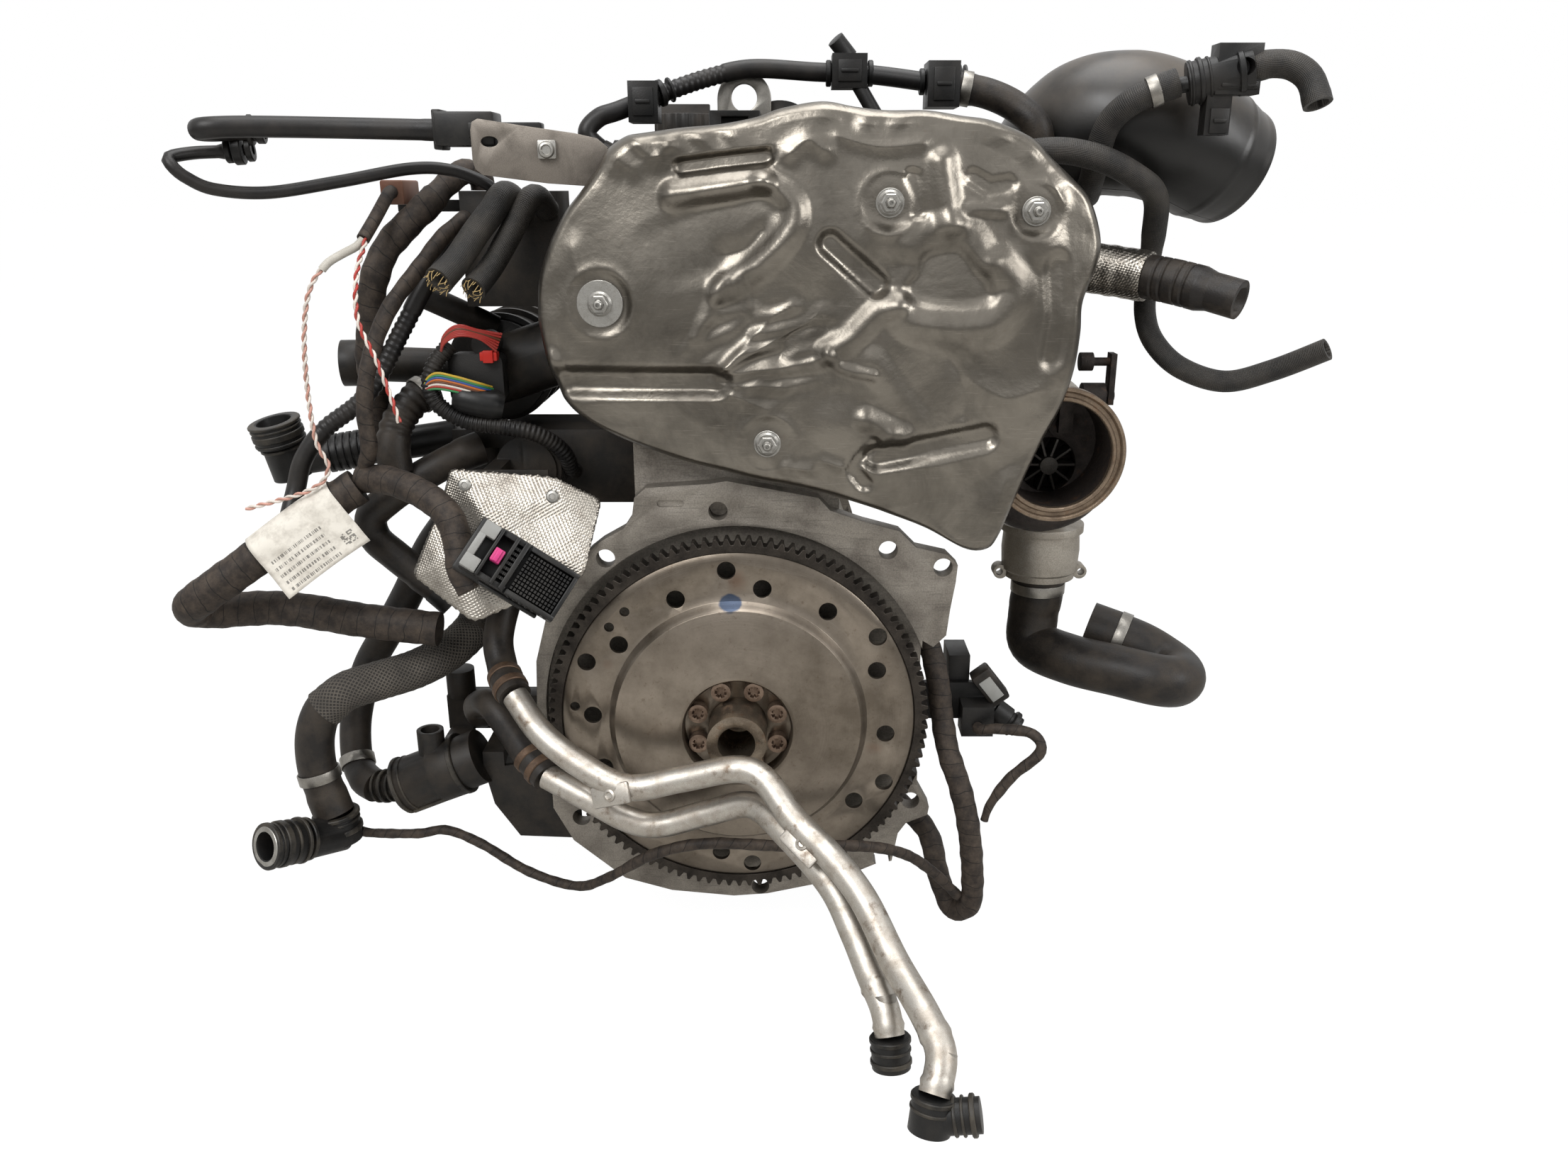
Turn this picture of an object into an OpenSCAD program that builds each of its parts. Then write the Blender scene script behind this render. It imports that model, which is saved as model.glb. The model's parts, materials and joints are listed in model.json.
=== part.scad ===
// Four-cylinder turbocharged petrol engine for lengthways fitting, out of its car, with the
// hoses, pipes and wiring of its gearbox end still on it.
// Y runs along the crankshaft, away from the gearbox face at Y = 0. +X is the exhaust side
// and +Z is up. The origin is on the crank axis. Millimetres throughout.

/* [Cylinders] */
// Cylinder bore
bore_d = 82.5; // [78:0.5:84]
// Piston stroke
stroke = 92.8; // [86:0.4:93.2]
// Distance between neighbouring cylinders
bore_pitch = 88; // [88:0.5:94]
// From the gearbox face to the nearest cylinder
first_bore = 76; // [74:0.5:84]
// Height of the block deck over the crank axis
deck_z = 220; // [218:1:232]
// Running clearance of a piston, on the radius
piston_gap = 0.05; // [0.02:0.01:0.1]

/* [Crankshaft] */
// Main journal diameter
main_d = 48; // [44:0.5:52]
// Crank pin diameter
pin_d = 47.8; // [42:0.2:48]
// Width of a main bearing
main_w = 22; // [18:0.5:24]
// Width of a crank pin
pin_w = 24; // [20:0.5:26]
// Diameter of the flange that carries the drive plate
crank_flange_d = 76; // [74:0.5:84]
// Outside diameter of the pilot spigot
pilot_d = 42; // [38:0.5:44]
// Bore of the pilot spigot
pilot_bore = 26; // [20:0.5:30]
// How far the pilot spigot stands out of the gearbox face
pilot_reach = 55; // [48:0.5:60]
// Clearance of turning shafts in their bearings, on the radius
run_gap = 0.05; // [0.02:0.01:0.1]

/* [Drive plate] */
// Outside diameter of the drive plate
plate_d = 255; // [250:0.5:256]
// Bolt circle of the crank bolts
crank_pcd = 61; // [58:0.5:62]
// Shank diameter of a crank bolt
crank_bolt_d = 10; // [8:0.5:10]
// Height of the ring gear's teeth and band over the plate's rim
gear_rise = 9.9; // [9:0.1:11]
// Teeth on the ring gear
gear_teeth = 110; // [100:1:120]
// Width of the ring gear along the crank
gear_w = 11; // [9:0.5:12]

/* [Castings] */
// Thickness of the flange that meets the gearbox
plate_t = 14; // [12:0.5:18]
// Clearance of the flange recess round the ring gear
recess_gap = 4.6; // [3:0.1:6]
// Diameter of the gearbox bolt holes
flange_hole_d = 13.5; // [10:0.5:14]
// Half width of the cylinder bank
bank_w = 72; // [70:0.5:78]
// Depth of the crankcase under the crank axis
skirt_z = 60; // [58:0.5:64]
// Height of the cylinder head up to the cam axes
head_h = 110; // [108:1:116]
// Half distance between the two camshafts
cam_x = 45; // [44:0.5:48]
// Camshaft journal diameter
cam_journal_d = 26; // [24:0.5:28]
// Height of the cam cover
cover_h = 65; // [60:0.5:72]
// Wall of the cam cover and the pans
cover_t = 4; // [3:0.5:5]
// Depth of the upper oil pan
upper_pan_h = 50; // [46:1:60]
// Depth of the lower oil pan
lower_pan_h = 90; // [70:1:110]
// Depth of the timing cover along the crank
timing_d = 40; // [38:0.5:46]

/* [Turbocharger] */
// Turbo shaft place across the engine
turbo_x = 228; // [226:0.5:234]
// Turbo shaft height
turbo_z = 172; // [168:0.5:176]
// Turbine wheel diameter
turbine_d = 40; // [36:0.5:42]
// Compressor wheel diameter
compressor_d = 44; // [40:0.5:48]
// Bore of the exhaust outlet
outlet_d = 76; // [72:0.5:78]
// Outside diameter of the exhaust outlet flange
outlet_flange_d = 94; // [90:0.5:98]

/* [Intake] */
// Bore of the throttle body
throttle_d = 57; // [52:0.5:60]
// Diameter of the plenum
plenum_d = 72; // [68:1:78]

/* [Heat shield] */
// Thickness of the shield sheet
shield_t = 1.2; // [0.8:0.1:2]
// How far the shield stands in front of the gearbox face
shield_y = 30; // [28:0.5:34]

/* [Hoses and pipes] */
// Outside diameter of the two aluminium pipes
alu_d = 18.6; // [16:0.2:20]
// Outside diameter of the lower coolant hose
lower_hose_d = 28; // [24:0.5:30]
// Outside diameter of the charge air hose
charge_hose_d = 42; // [38:0.5:44]
// Outside diameter of the vent hose
vent_hose_d = 15; // [12:0.5:16]
// Outside diameter of the main wiring trunk
trunk_d = 20; // [18:0.5:22]
// Outside diameter of the folded loom
loop_d = 25; // [22:0.5:26]

/* [Hidden] */
$fn = 48;
eps = 0.02;

// Places along the crank
bores = [for (i = [0:3]) first_bore + i * bore_pitch];
mains = [for (i = [0:4]) first_bore + (i - 0.5) * bore_pitch];
block_len = first_bore + 3.5 * bore_pitch + 16;
chamber_w = bore_pitch - main_w;
crank_r = stroke / 2;
sweep_r = crank_r + pin_d / 2 + 0.2;
chamber_r = sweep_r + 1.5;
web_gap = 0.5;
seal_y = plate_t - 0.5;
flange_front = 10;

// Heights
cam_z = deck_z + head_h;
cover_z = cam_z + cover_h;
pan_z = -skirt_z - upper_pan_h;
sump_z = pan_z - lower_pan_h;
gallery_z = cam_z - 34;

// Sides of the head
head_x0 = -92;
head_x1 = 96;

// Camshafts and valves
cam_base_r = 15;
lobe_lift = 10;
lobe_w = 12;
valve_dy = 18;
valve_x = 19;
valve_tilt = atan((cam_x - valve_x) / (head_h - 4));
valve_len = norm([cam_x - valve_x, head_h - 4]);
well_r = 13.2;

// Drive plate profile
seat_y = 22;
dome_y = 35;
rim_y = 18;
hub_r = 42;

// Timing drive
chain_y = block_len + 5;
chain_w = 12;
crank_sprocket_r = 18;
cam_sprocket_r = 36;
chain_t = 5;
nose_r = 16;

// Turbocharger
outlet_x = turbo_x - 4;
outlet_z = turbo_z + 17;
outlet_y0 = 15;
wheel_y = 62;
turbine_y1 = 98;
bearing_y1 = 130;
compressor_y1 = 190;
wheel_gap = 0.6;
gate_x = turbo_x + 8;
gate_z = turbo_z + 31;
gate_pin_y = 50;
gate_pin_z = gate_z + 22;
gate_pin_r = 4;
silencer_x = 247;
silencer_y = 150;
silencer_r = 32;
silencer_z0 = 58;
silencer_z1 = 104;

// Intake
plenum_x = -180;
plenum_z = 238;
plenum_y0 = 90;
plenum_y1 = block_len - 30;
throttle_len = 34;

// Shield fixings: X, Z of each stud
shield_studs = [[-84, 296], [22, 206], [98.5, 357], [190, 352]];
stud_end = shield_y - 8.5;
gear_d = plate_d + 2 * gear_rise;
recess_r = gear_d / 2 + recess_gap;

// Gearbox bolt holes of the block, then of the upper pan
block_holes = [[-13, 152.6], [106.4, 124.1], [145.6, 111.3], [-93, 118]];
pan_holes = [[128.6, -73.7], [107.9, -123.2], [14.7, -148.3], [-121, -88]];

// Drive plate holes: radius, angle, diameter
plate_holes = [[115, 93.5, 13], [103, 80, 13], [103, 114.5, 13], [103, 144.5, 13],
    [105, 177, 13], [106, 53, 13], [107, 22, 13], [107, -5, 13], [106, -37, 13],
    [108, -97.5, 13], [105, -130, 13], [105, -160, 13], [117, 156.5, 13], [119, 33.5, 13],
    [117, -24.5, 13], [117, -85.5, 13], [116, 141, 7], [115.5, 133, 7], [118, 174, 7]];

// Outline of the gearbox flange, left side first, over the joint with the pan
flange_top = [[-142, -skirt_z], [-150, -20], [-147, 40], [-136, 80], [-118, 106], [-104, 124],
    [-95, 131], [-79, 140], [-73, 149], [-71, 162], [-63, 169], [-18, 172], [-7, 174],
    [57, 162], [65, 153], [88, 145], [114, 138], [126, 126], [148, 121], [156, 113],
    [155, 100], [152, 80], [150, 60], [141, 51], [133, 56], [133, -skirt_z]];
flange_bottom = [[133, -skirt_z], [143, -79], [142, -86], [126, -93], [120, -102], [116, -126],
    [103, -129], [73, -143], [20, -155], [-6, -157], [-54, -152], [-90, -141], [-128, -108],
    [-142, -80], [-142, -skirt_z]];

// Outline of the heat shield, clockwise from its left end, and the point inside it from
// which its rings of facets spread
shield_mid = [55, 292];
shield_outline = [[-126, 285], [-124, 309], [-116, 332], [-105, 351], [-94, 364], [-83, 378],
    [-77, 388], [-65, 396], [-54, 398], [-30, 401], [-6, 403], [16, 407], [31, 412], [56, 416],
    [76, 413], [95, 411], [120, 411], [142, 408], [162, 405], [187, 395], [200, 383],
    [214, 371], [226, 358], [234, 336], [233, 320], [225, 297], [225, 277], [223, 253],
    [217, 230], [207, 208], [197, 184], [188, 160], [180, 139], [173, 130], [158, 130],
    [130, 145], [102, 156], [80, 164], [58, 171], [36, 176], [15, 180], [-7, 186], [-31, 192],
    [-55, 200], [-78, 209], [-100, 221], [-113, 235], [-121, 255]];

// Routes of hoses, pipes and wiring, points chosen by hand
breather_path = [[-92, 66, 391], [-101, 63, 401], [-93, 66, 411], [-79, 69, 416], [-48, 78, 428],
    [-19, 88, 438], [11, 92, 444], [55, 93, 442], [93, 90, 440], [130, 84, 435]];
breather_big_path = [[152, 78, 431], [172, 76, 427], [190, 72, 419], [204, 66, 407],
    [208, 68, 392], [206, 84, 374], [206, 112, 362]];
vent_path = [[96.4, 72, 350], [108, 71, 352], [132, 60, 363], [169, 42, 381], [206, 30, 389],
    [237, 26, 385], [266, 32, 373], [284, 44, 360], [290, 60, 335], [290, 66, 305],
    [290, 62, 280], [295, 50, 262], [312, 40, 246], [340, 30, 238], [368, 20, 247],
    [395, 0, 264]];
purge_in_path = [[244.5, 75, 361], [243, 54, 374], [244, 46, 392], [248, 40, 407], [258, 32, 418],
    [272, 28, 425], [286, 26, 430]];
purge_out_path = [[331, 17.8, 438], [341, 14, 440], [352, 8, 438], [361, 2, 430],
    [365, -5, 415]];
coolant_right_path = [[97, 80, 312], [150, 80, 316], [200, 72, 320], [240, 62, 314],
    [270, 50, 310], [300, 28, 305], [333, 0, 296]];
fuel_path = [[-188.2, 16, 401], [-254, 6, 402], [-300, -8, 402], [-322, -16, 401],
    [-330, -12, 400], [-328, 2, 400], [-316, 12, 401], [-304, 14, 401]];
vacuum_path = [[-317, 16, 389], [-330, 14, 388], [-344, 6, 387], [-354, -5, 384],
    [-352, -8, 379], [-345, -6, 372], [-331, 0, 365], [-301, 10, 363], [-258, 24, 370],
    [-216, 38, 378], [-190, 44, 377], [-168, 50, 368], [-164, 57, 359], [-164, 63.6, 358]];
cut_path_a = [[-150, 63.8, 352], [-150, 57, 353], [-152, 46, 360], [-155, 34, 361],
    [-160, 26, 352], [-170, 16, 338], [-182, 8, 322], [-193, -2, 302]];
cut_path_b = [[-131, 63.8, 352], [-131, 58, 353], [-133, 49, 359], [-137, 41, 360],
    [-143, 35, 351], [-152, 28, 334], [-164, 20, 316], [-173, 8, 297]];
big_loop_path = [[-180, 86, 364.3], [-181, 85, 372], [-189, 78, 377], [-199, 69, 370],
    [-210, 58, 357], [-224, 50, 343], [-239, 42, 326], [-248, 36, 304], [-253, 38, 280],
    [-260, 46, 250], [-262, 58, 222], [-262, 63, 197]];
branch_path = [[-189, 63.8, 346], [-191, 56, 343], [-200, 44, 334], [-213, 24, 314],
    [-231, 8, 288], [-243, -4, 256], [-248, -9, 225], [-248, -8, 200], [-254, -2, 186]];
conduit_path = [[-200, 36, 262], [-209, 28, 250], [-213, 26, 236], [-208, 26, 222],
    [-190, 26, 211], [-165, 26, 207], [-146, 28, 203], [-133, 34, 195], [-125, 42, 184],
    [-123, 54, 170], [-123, 65.8, 166]];
black_tube_path = [[-193, 63.8, 330], [-212, 46, 307], [-231, 40, 275], [-258, 31, 230],
    [-288, 22, 206], [-304, 18, 186], [-311, 14, 164], [-315, 2, 142]];
elbow_path_a = [[-222, 62, 228], [-232, 52, 222], [-242, 40, 208], [-245, 32, 192],
    [-244, 30, 174]];
elbow_path_b = [[-190, 58, 185], [-203, 50, 181], [-218, 43, 174], [-236, 39, 164],
    [-254, 38, 152], [-269, 40, 138], [-268, 40, 122], [-254, 36, 110], [-238, 34, 97],
    [-224, 34, 86]];
trunk_path = [[-258, 0, 176], [-236, -8, 176], [-210, -18, 168], [-193, -27, 156],
    [-186, -34, 138], [-184, -40, 124], [-177, -44, 110]];
loop_path = [[-261, -1, 171], [-295, -12, 150], [-334, -24, 122], [-366, -29, 100],
    [-379, -22, 89], [-372, -6, 81], [-329, 8, 78], [-273, 10, 68], [-218, 10, 61]];
lower_path = [[-201.2, 63.8, 59.4], [-206, 60, 45], [-222, 45, 31], [-244, 30, 22], [-270, 18, 17], [-292, 10, 12],
    [-308, 5, 0], [-316, 2, -20], [-317, 0, -44], [-312, -2, -66], [-307, -4, -82]];
inlet_path = [[-190, 88, 183.2], [-193, 88, 172], [-212, 86, 140], [-240, 82, 104], [-262, 78, 64],
    [-280, 76, 34], [-296, 74, 8], [-306, 70, -20], [-310, 64, -44], [-306, 50, -66],
    [-296, 36, -74], [-284, 27, -76]];
alu_upper_path = [[-158, -26, 24], [-137, -45, 4], [-108, -60, -13], [-75, -70, -25],
    [-37, -73, -17], [1, -80, -6], [20, -88, -10], [39, -108, -28], [63, -130, -43],
    [83, -150, -61], [101, -180, -86], [117, -215, -99], [124, -235, -110], [119, -249, -126]];
alu_lower_path = [[-138, -31, -37], [-108, -44, -47], [-79, -50, -61], [-56, -53, -64],
    [-20, -57, -52], [11, -68, -40], [36, -96, -48], [64, -125, -68], [78, -150, -87],
    [87, -170, -102], [95, -188, -114], [98, -198, -127]];
feed_path_a = [[-150, 82, 141.8], [-150, 81, 132], [-156, 66, 112], [-170, 38, 84],
    [-177, 16, 54], [-172, 0, 36], [-166, -14, 30], [-158, -26, 24]];
feed_path_b = [[-204, 55.6, -24], [-204, 49, -23.5], [-202, 38, -12], [-188, 18, -2],
    [-172, 3, -13], [-154, -17, -27], [-138, -31, -37]];
crossing_path = [[-292, 3, -101], [-284, 6, -105], [-247, 0, -102], [-225, 0, -99], [-197, -8, -106],
    [-160, -18, -124], [-122, -30, -129], [-96, -42, -114], [-60, -56, -86], [-22, -60, -75],
    [33, -60, -77], [89, -52, -82], [121, -34, -99], [144, -18, -123], [166.6, -9, -150.5]];
right_path = [[101, 56, 60], [122, 38, 54], [140, 26, 44], [148, 18, 17], [151, 14, -6],
    [156, 4, -34], [165, -5, -60], [172, -10, -90], [177, -10, -130], [177, -6, -160],
    [166, 6, -172], [156, 18, -152], [146, 34, -118], [114, 50, -92]];
right_branch_path = [[180, 19.8, -22], [181, 13, -21], [194, 6, -17], [216, -4, -16],
    [222, -10, -28], [202, -8, -50], [188, -8, -72], [184, -8, -86]];
charge_path = [[247, 150, 57], [247, 150, 42], [245, 150, 20], [246, 142, -1],
    [271, 116, -5.5], [305, 95, -7], [333, 82, -9.5], [350, 86, -12], [357, 103, -12.5],
    [349, 121, -8], [329, 132, 1.5], [292, 148, 11.8]];
duct_path = [[turbo_x, compressor_y1 + 24.3, turbo_z], [228, 232, 176], [229, 250, 200],
    [228, 240, 260], [222, 200, 325], [225, 150, 376], [246, 110, 404], [276, 94, 408],
    [308, 92, 400], [336, 98, 387], [352, 104, 380]];
duct_radii = [33, 33, 33, 34, 36, 42, 47, 48, 46, 44, 40];
sleeve_path = [[-234, 51.8, 363], [-234, 44, 362], [-238, 24, 347], [-243, 10, 334]];
wire_path_a = [[-243.5, 12, 335], [-244, 8, 331], [-265, 5, 320], [-278, 0, 303], [-283, -6, 275],
    [-284, -10, 240], [-282, -12, 205], [-275, -14, 186], [-288, -18, 172], [-331, -22, 160]];
wire_path_b = [[-242, 12, 335.5], [-241, 6, 331], [-243, -10, 312], [-241, -22, 285], [-229, -30, 260],
    [-220, -36, 236], [-216, -38, 222]];

// Smooth route through the points: steps pieces between each pair
function spline(a, b, c, d, t) = 0.5 * (2 * b + (c - a) * t
    + (2 * a - 5 * b + 4 * c - d) * t * t + (3 * b - a - 3 * c + d) * t * t * t);
function smooth(p, steps) = let (n = len(p) - 1)
    [for (i = [0:n - 1]) for (s = [0:steps - 1])
        spline(p[max(i - 1, 0)], p[i], p[i + 1], p[min(i + 2, n)], s / steps), p[n]];
function unit(v) = v / norm(v);
function side_on(v, t) = unit(v - (v * t) * t);
function heading(p, i) = unit(p[min(i + 1, len(p) - 1)] - p[max(i - 1, 0)]);
function sides(p) = [for (i = 0, u = side_on([0.1, 1, 0.2], heading(p, 0)); i < len(p);
    i = i + 1, u = side_on(u, heading(p, min(i, len(p) - 1)))) u];

// Solid tube swept along a route, with one radius or a radius for each point
module tube(p, r, n = 10) {
    u = sides(p);
    radii = is_list(r) ? r : [for (q = p) r];
    pts = [for (i = [0:len(p) - 1]) let (t = heading(p, i), v = cross(t, u[i]))
        for (k = [0:n - 1]) p[i] + radii[i] * (cos(360 * k / n) * u[i] + sin(360 * k / n) * v)];
    walls = [for (i = [0:len(p) - 2]) for (k = [0:n - 1]) let (a = i * n + k,
        b = i * n + (k + 1) % n) each [[a, b, b + n], [a, b + n, a + n]]];
    last = (len(p) - 1) * n;
    ends = [[for (k = [n - 1:-1:0]) k], [for (k = [0:n - 1]) last + k]];
    polyhedron(pts, [for (f = concat(walls, ends)) [for (k = [len(f) - 1:-1:0]) f[k]]]);
}

// Flat shape pushed along Y or X, cylinders along Y and between two points
module along_y(y0, len) {
    translate([0, y0 + len, 0]) rotate([90, 0, 0]) linear_extrude(len) children();
}
module along_x(x0, len) {
    translate([x0, 0, 0]) rotate([90, 0, 90]) linear_extrude(len) children();
}
module cyl_y(at, r, len) {
    translate(at) rotate([-90, 0, 0]) cylinder(r = r, h = len);
}
module spun_y(at) {
    translate(at) rotate([-90, 0, 0]) rotate_extrude() children();
}
module rod(a, b, r) {
    d = b - a;
    translate(a) rotate([0, acos(d[2] / norm(d)), atan2(d[1], d[0])])
        cylinder(r = r, h = norm(d));
}
module box(a, b) {
    translate(a) cube(b - a);
}
// Children stood on a route at point i, their Z along it
module on_route(p, i) {
    t = heading(p, i);
    translate(p[i]) rotate([0, acos(t[2]), atan2(t[1], t[0])]) children();
}
// Ring round a route, such as a clamp
module band(p, i, r, w = 8, t = 1.5) {
    on_route(p, i) translate([0, 0, -w / 2]) difference() {
        cylinder(r = r + t, h = w);
        translate([0, 0, -1]) cylinder(r = r + 0.4, h = w + 2);
    }
}
module toothed(n, root, tip) {
    polygon([for (i = [0:n - 1]) for (k = [0:3])
        let (r = k == 1 || k == 2 ? tip : root, a = (i + [0.02, 0.26, 0.5, 0.74][k]) * 360 / n)
        [r * cos(a), r * sin(a)]]);
}

// ---- Block and crankcase ----

module engine_block() {
    section = [[-105, -skirt_z], [105, -skirt_z], [105, 20], [88, 70], [bank_w, 110],
        [bank_w, deck_z], [-bank_w, deck_z], [-bank_w, 110], [-88, 70], [-105, 20]];
    front = [[-72, -skirt_z], [72, -skirt_z], [80, 100], [88, deck_z], [-88, deck_z],
        [-80, 100]];
    color("#77746f")
    difference() {
        union() {
            along_y(plate_t - eps, block_len - plate_t + eps) polygon(section);
            along_y(0, plate_t) polygon(flange_top);
            along_y(block_len - 10, 10) polygon(front);
            stud_boss(1, plate_t);
            for (s = [-1, 1]) mount_pad(s);
            // Ribs of the crankcase sides
            for (y = mains, s = [-1, 1])
                along_y(y - 4, 8) polygon([[s * 86, 66], [s * 103, 20], [s * 103, -40],
                    [s * 112, -36], [s * 112, 22], [s * 94, 78]]);
        }
        cyl_y([0, -1, 0], recess_r, 9);
        cyl_y([0, 7, 0], crank_flange_d / 2 + run_gap, seal_y - 7);
        cyl_y([0, 0, 0], main_d / 2 + run_gap, block_len + 1);
        for (y = bores) {
            translate([0, y, 0]) cylinder(r = bore_d / 2, h = deck_z + 1);
            cyl_y([0, y - chamber_w / 2, 0], chamber_r, chamber_w);
            box([-chamber_r, y - chamber_w / 2, -skirt_z - 1],
                [chamber_r, y + chamber_w / 2, 0]);
        }
        for (y = mains) box([-50, y - main_w / 2, -skirt_z - 1], [50, y + main_w / 2, 0]);
        // Water jacket, open at the deck
        translate([0, 0, deck_z - 95]) linear_extrude(96) difference() {
            for (y = bores) translate([0, y]) circle(r = bore_d / 2 + 10);
            for (y = bores) translate([0, y]) circle(r = bore_d / 2 + 4.2);
        }
        for (h = block_holes) cyl_y([h[0], -1, h[1]], flange_hole_d / 2, plate_t + 2);
        for (s = [-1, 1]) mount_holes(s);
        // Head bolt threads
        for (y = mains, s = [-1, 1])
            translate([s * 59, y, deck_z - 40]) cylinder(r = 5, h = 41);
        // Shallow cast pocket in the flange face
        translate([-46, 2, 158]) rotate([90, 0, 0]) linear_extrude(3) union() {
            square([14, 5], center = true);
            for (s = [-1, 1]) translate([s * 7, 0]) circle(r = 2.5);
        }
    }
}
module stud_boss(i, back, r = 9) {
    cyl_y([shield_studs[i][0], -stud_end, shield_studs[i][1]], r, back + stud_end + eps);
}
module mount_pad(s) {
    translate([s > 0 ? 104 : -118, 180, -30]) cube([14, 90, 70]);
}
module mount_holes(s) {
    for (y = [195, 255], z = [-15, 25])
        translate([s * 119, y, z]) rotate([0, -s * 90, 0]) cylinder(r = 5, h = 20);
}

module main_caps() {
    color("#5d5b58")
    for (y = mains) difference() {
        union() {
            box([-49.9, y - main_w / 2, -skirt_z + 14], [49.9, y + main_w / 2, 0]);
            for (s = [-1, 1]) translate([s * 38, y, -skirt_z + 6]) cylinder(r = 8, h = 10);
        }
        cyl_y([0, y - main_w, 0], main_d / 2 + run_gap, 2 * main_w);
    }
}

module cylinder_head() {
    color("#9a9893")
    difference() {
        union() {
            difference() {
                box([head_x0, plate_t, deck_z], [head_x1, block_len, cam_z]);
                box([head_x0 + 8, plate_t + 8, gallery_z],
                    [head_x1 - 8, block_len - 9, cam_z + 1]);
            }
            for (y = mains, s = [-1, 1]) cam_block(s, y, gallery_z - 1, cam_z);
            for (y = bores) translate([0, y, gallery_z - 1])
                cylinder(r = 17, h = cam_z - gallery_z + 1);
            stud_boss(0, plate_t, 10);
            // Bracket that holds the shield's upper corner
            box([84, plate_t - 8, cam_z - 60], [112, plate_t + eps, cam_z - 4]);
            box([88, plate_t - 8, 344], [200, plate_t - 1, 364]);
            box([88, plate_t - 8, cam_z - 8], [110, plate_t - 1, 366]);
            stud_boss(2, plate_t - 3);
            stud_boss(3, plate_t - 3);
        }
        for (y = bores) {
            translate([0, y, deck_z - 1]) cylinder(r1 = 38, r2 = 20, h = 12);
            translate([0, y, deck_z]) cylinder(r = 10.5, h = head_h);
            translate([0, y, gallery_z]) cylinder(r = well_r, h = head_h);
            for (s = [-1, 1], dy = [-valve_dy, valve_dy]) {
                at_valve(s, y + dy) valve_room();
                rod([s * 25, y + dy, deck_z + 20], [s * 75, y + dy * 0.6, deck_z + 38], 11);
            }
            rod([-75, y, deck_z + 38], [head_x0 - 1, y, deck_z + 43], 22);
        }
        // Exhaust gallery cast into the head, with one outlet to the turbocharger
        cyl_y([72, bores[0] - 20, deck_z + 36], 16, 3 * bore_pitch + 40);
        rod([72, 80, deck_z + 32], [head_x1 + 1, 80, deck_z + 30], 12.5);
        for (s = [-1, 1]) cyl_y([s * cam_x, plate_t + 8, cam_z], cam_journal_d / 2 + run_gap,
            block_len);
    }
}
// Bearing block of one camshaft
module cam_block(s, y, z0, z1) {
    box([min(s * 20, s * 70), y - 7, z0], [max(s * 20, s * 70), y + 7, z1]);
}
// Children along a valve's axis, with the camshaft centre at their origin and Z down
module at_valve(s, y) {
    translate([s * cam_x, y, cam_z]) rotate([0, 180 + s * valve_tilt, 0]) children();
}
module valve_room() {
    translate([0, 0, cam_base_r + lobe_lift - 2]) cylinder(r = 12, h = 29);
    cylinder(r = 3.1, h = valve_len);
    translate([0, 0, valve_len - 5.2]) cylinder(r = 15.8, h = 14);
}

module head_cover() {
    function section(i) = [[head_x0 + i, cam_z - (i > 0 ? 1 : 0)],
        [head_x1 - i, cam_z - (i > 0 ? 1 : 0)], [head_x1 - i, cam_z + 36 - i / 2],
        [80 - i / 2, cover_z - i], [-76 + i / 2, cover_z - i], [head_x0 + i, cam_z + 36 - i / 2]];
    color("#2b2b2c")
    difference() {
        union() {
            difference() {
                along_y(plate_t, block_len - plate_t) polygon(section(0));
                along_y(plate_t + 6, block_len - plate_t - 15) polygon(section(cover_t));
            }
            for (y = mains, s = [-1, 1]) cam_block(s, y, cam_z, cover_z - cover_t + 1);
            for (y = bores) translate([0, y, cam_z]) cylinder(r = 17, h = cover_h);
            // Oil filler neck
            translate([-48, bores[2], cover_z - cover_t - 1]) cylinder(r = 22, h = 17);
            // Oil mist separator
            cyl_y([30, bores[0] + 32, cover_z], 30, 26);
            // Breather spigot
            rod([-70, 66, cover_z - 15], [-91.6, 66, 390.7], 7);
        }
        for (y = bores) translate([0, y, cam_z - 1]) cylinder(r = well_r, h = cover_h + 40);
        translate([-48, bores[2], cover_z - 20]) cylinder(r = 18, h = 40);
        for (s = [-1, 1]) cyl_y([s * cam_x, plate_t + 8, cam_z], cam_journal_d / 2 + run_gap,
            block_len);
    }
}

function timing_side(i, s) = [[s * (72 - i), -skirt_z + i], [s * (80 - i), 100],
    [s * (88 - i), deck_z], [s * (92 - i), cam_z - 20], [s * (92 - i), cam_z + 30],
    [s * (76 - i), cover_z - 10 - i]];
function timing_outline(i) = concat(timing_side(i, 1),
    [for (k = [5:-1:0]) timing_side(i, -1)[k]]);
module timing_cover() {
    color("#35363a")
    difference() {
        union() {
            along_y(block_len, timing_d) polygon(timing_outline(0));
            cyl_y([0, block_len + timing_d - eps, 0], 34, 4);
        }
        along_y(block_len - 1, timing_d - 4) polygon(timing_outline(5));
        cyl_y([0, block_len, 0], nose_r + run_gap, timing_d + 10);
    }
}

module oil_pan_upper() {
    color("#85827c")
    difference() {
        union() {
            box([-105, plate_t - eps, pan_z], [105, block_len, -skirt_z]);
            along_y(0, plate_t) polygon(flange_bottom);
            for (x = [-70, 0, 70]) along_x(x - 4, 8) polygon([[plate_t - eps, pan_z + 1],
                [80, pan_z + 1], [plate_t - eps, -146 + abs(x) / 4]]);
        }
        cyl_y([0, -1, 0], recess_r, 9);
        box([-98, plate_t + 8, pan_z + 8], [98, block_len - 8, -skirt_z + 1]);
        box([-90, 98, pan_z - 1], [90, block_len - 12, pan_z + 9]);
        for (h = pan_holes) cyl_y([h[0], -1, h[1]], flange_hole_d / 2, plate_t + 2);
    }
}

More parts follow.
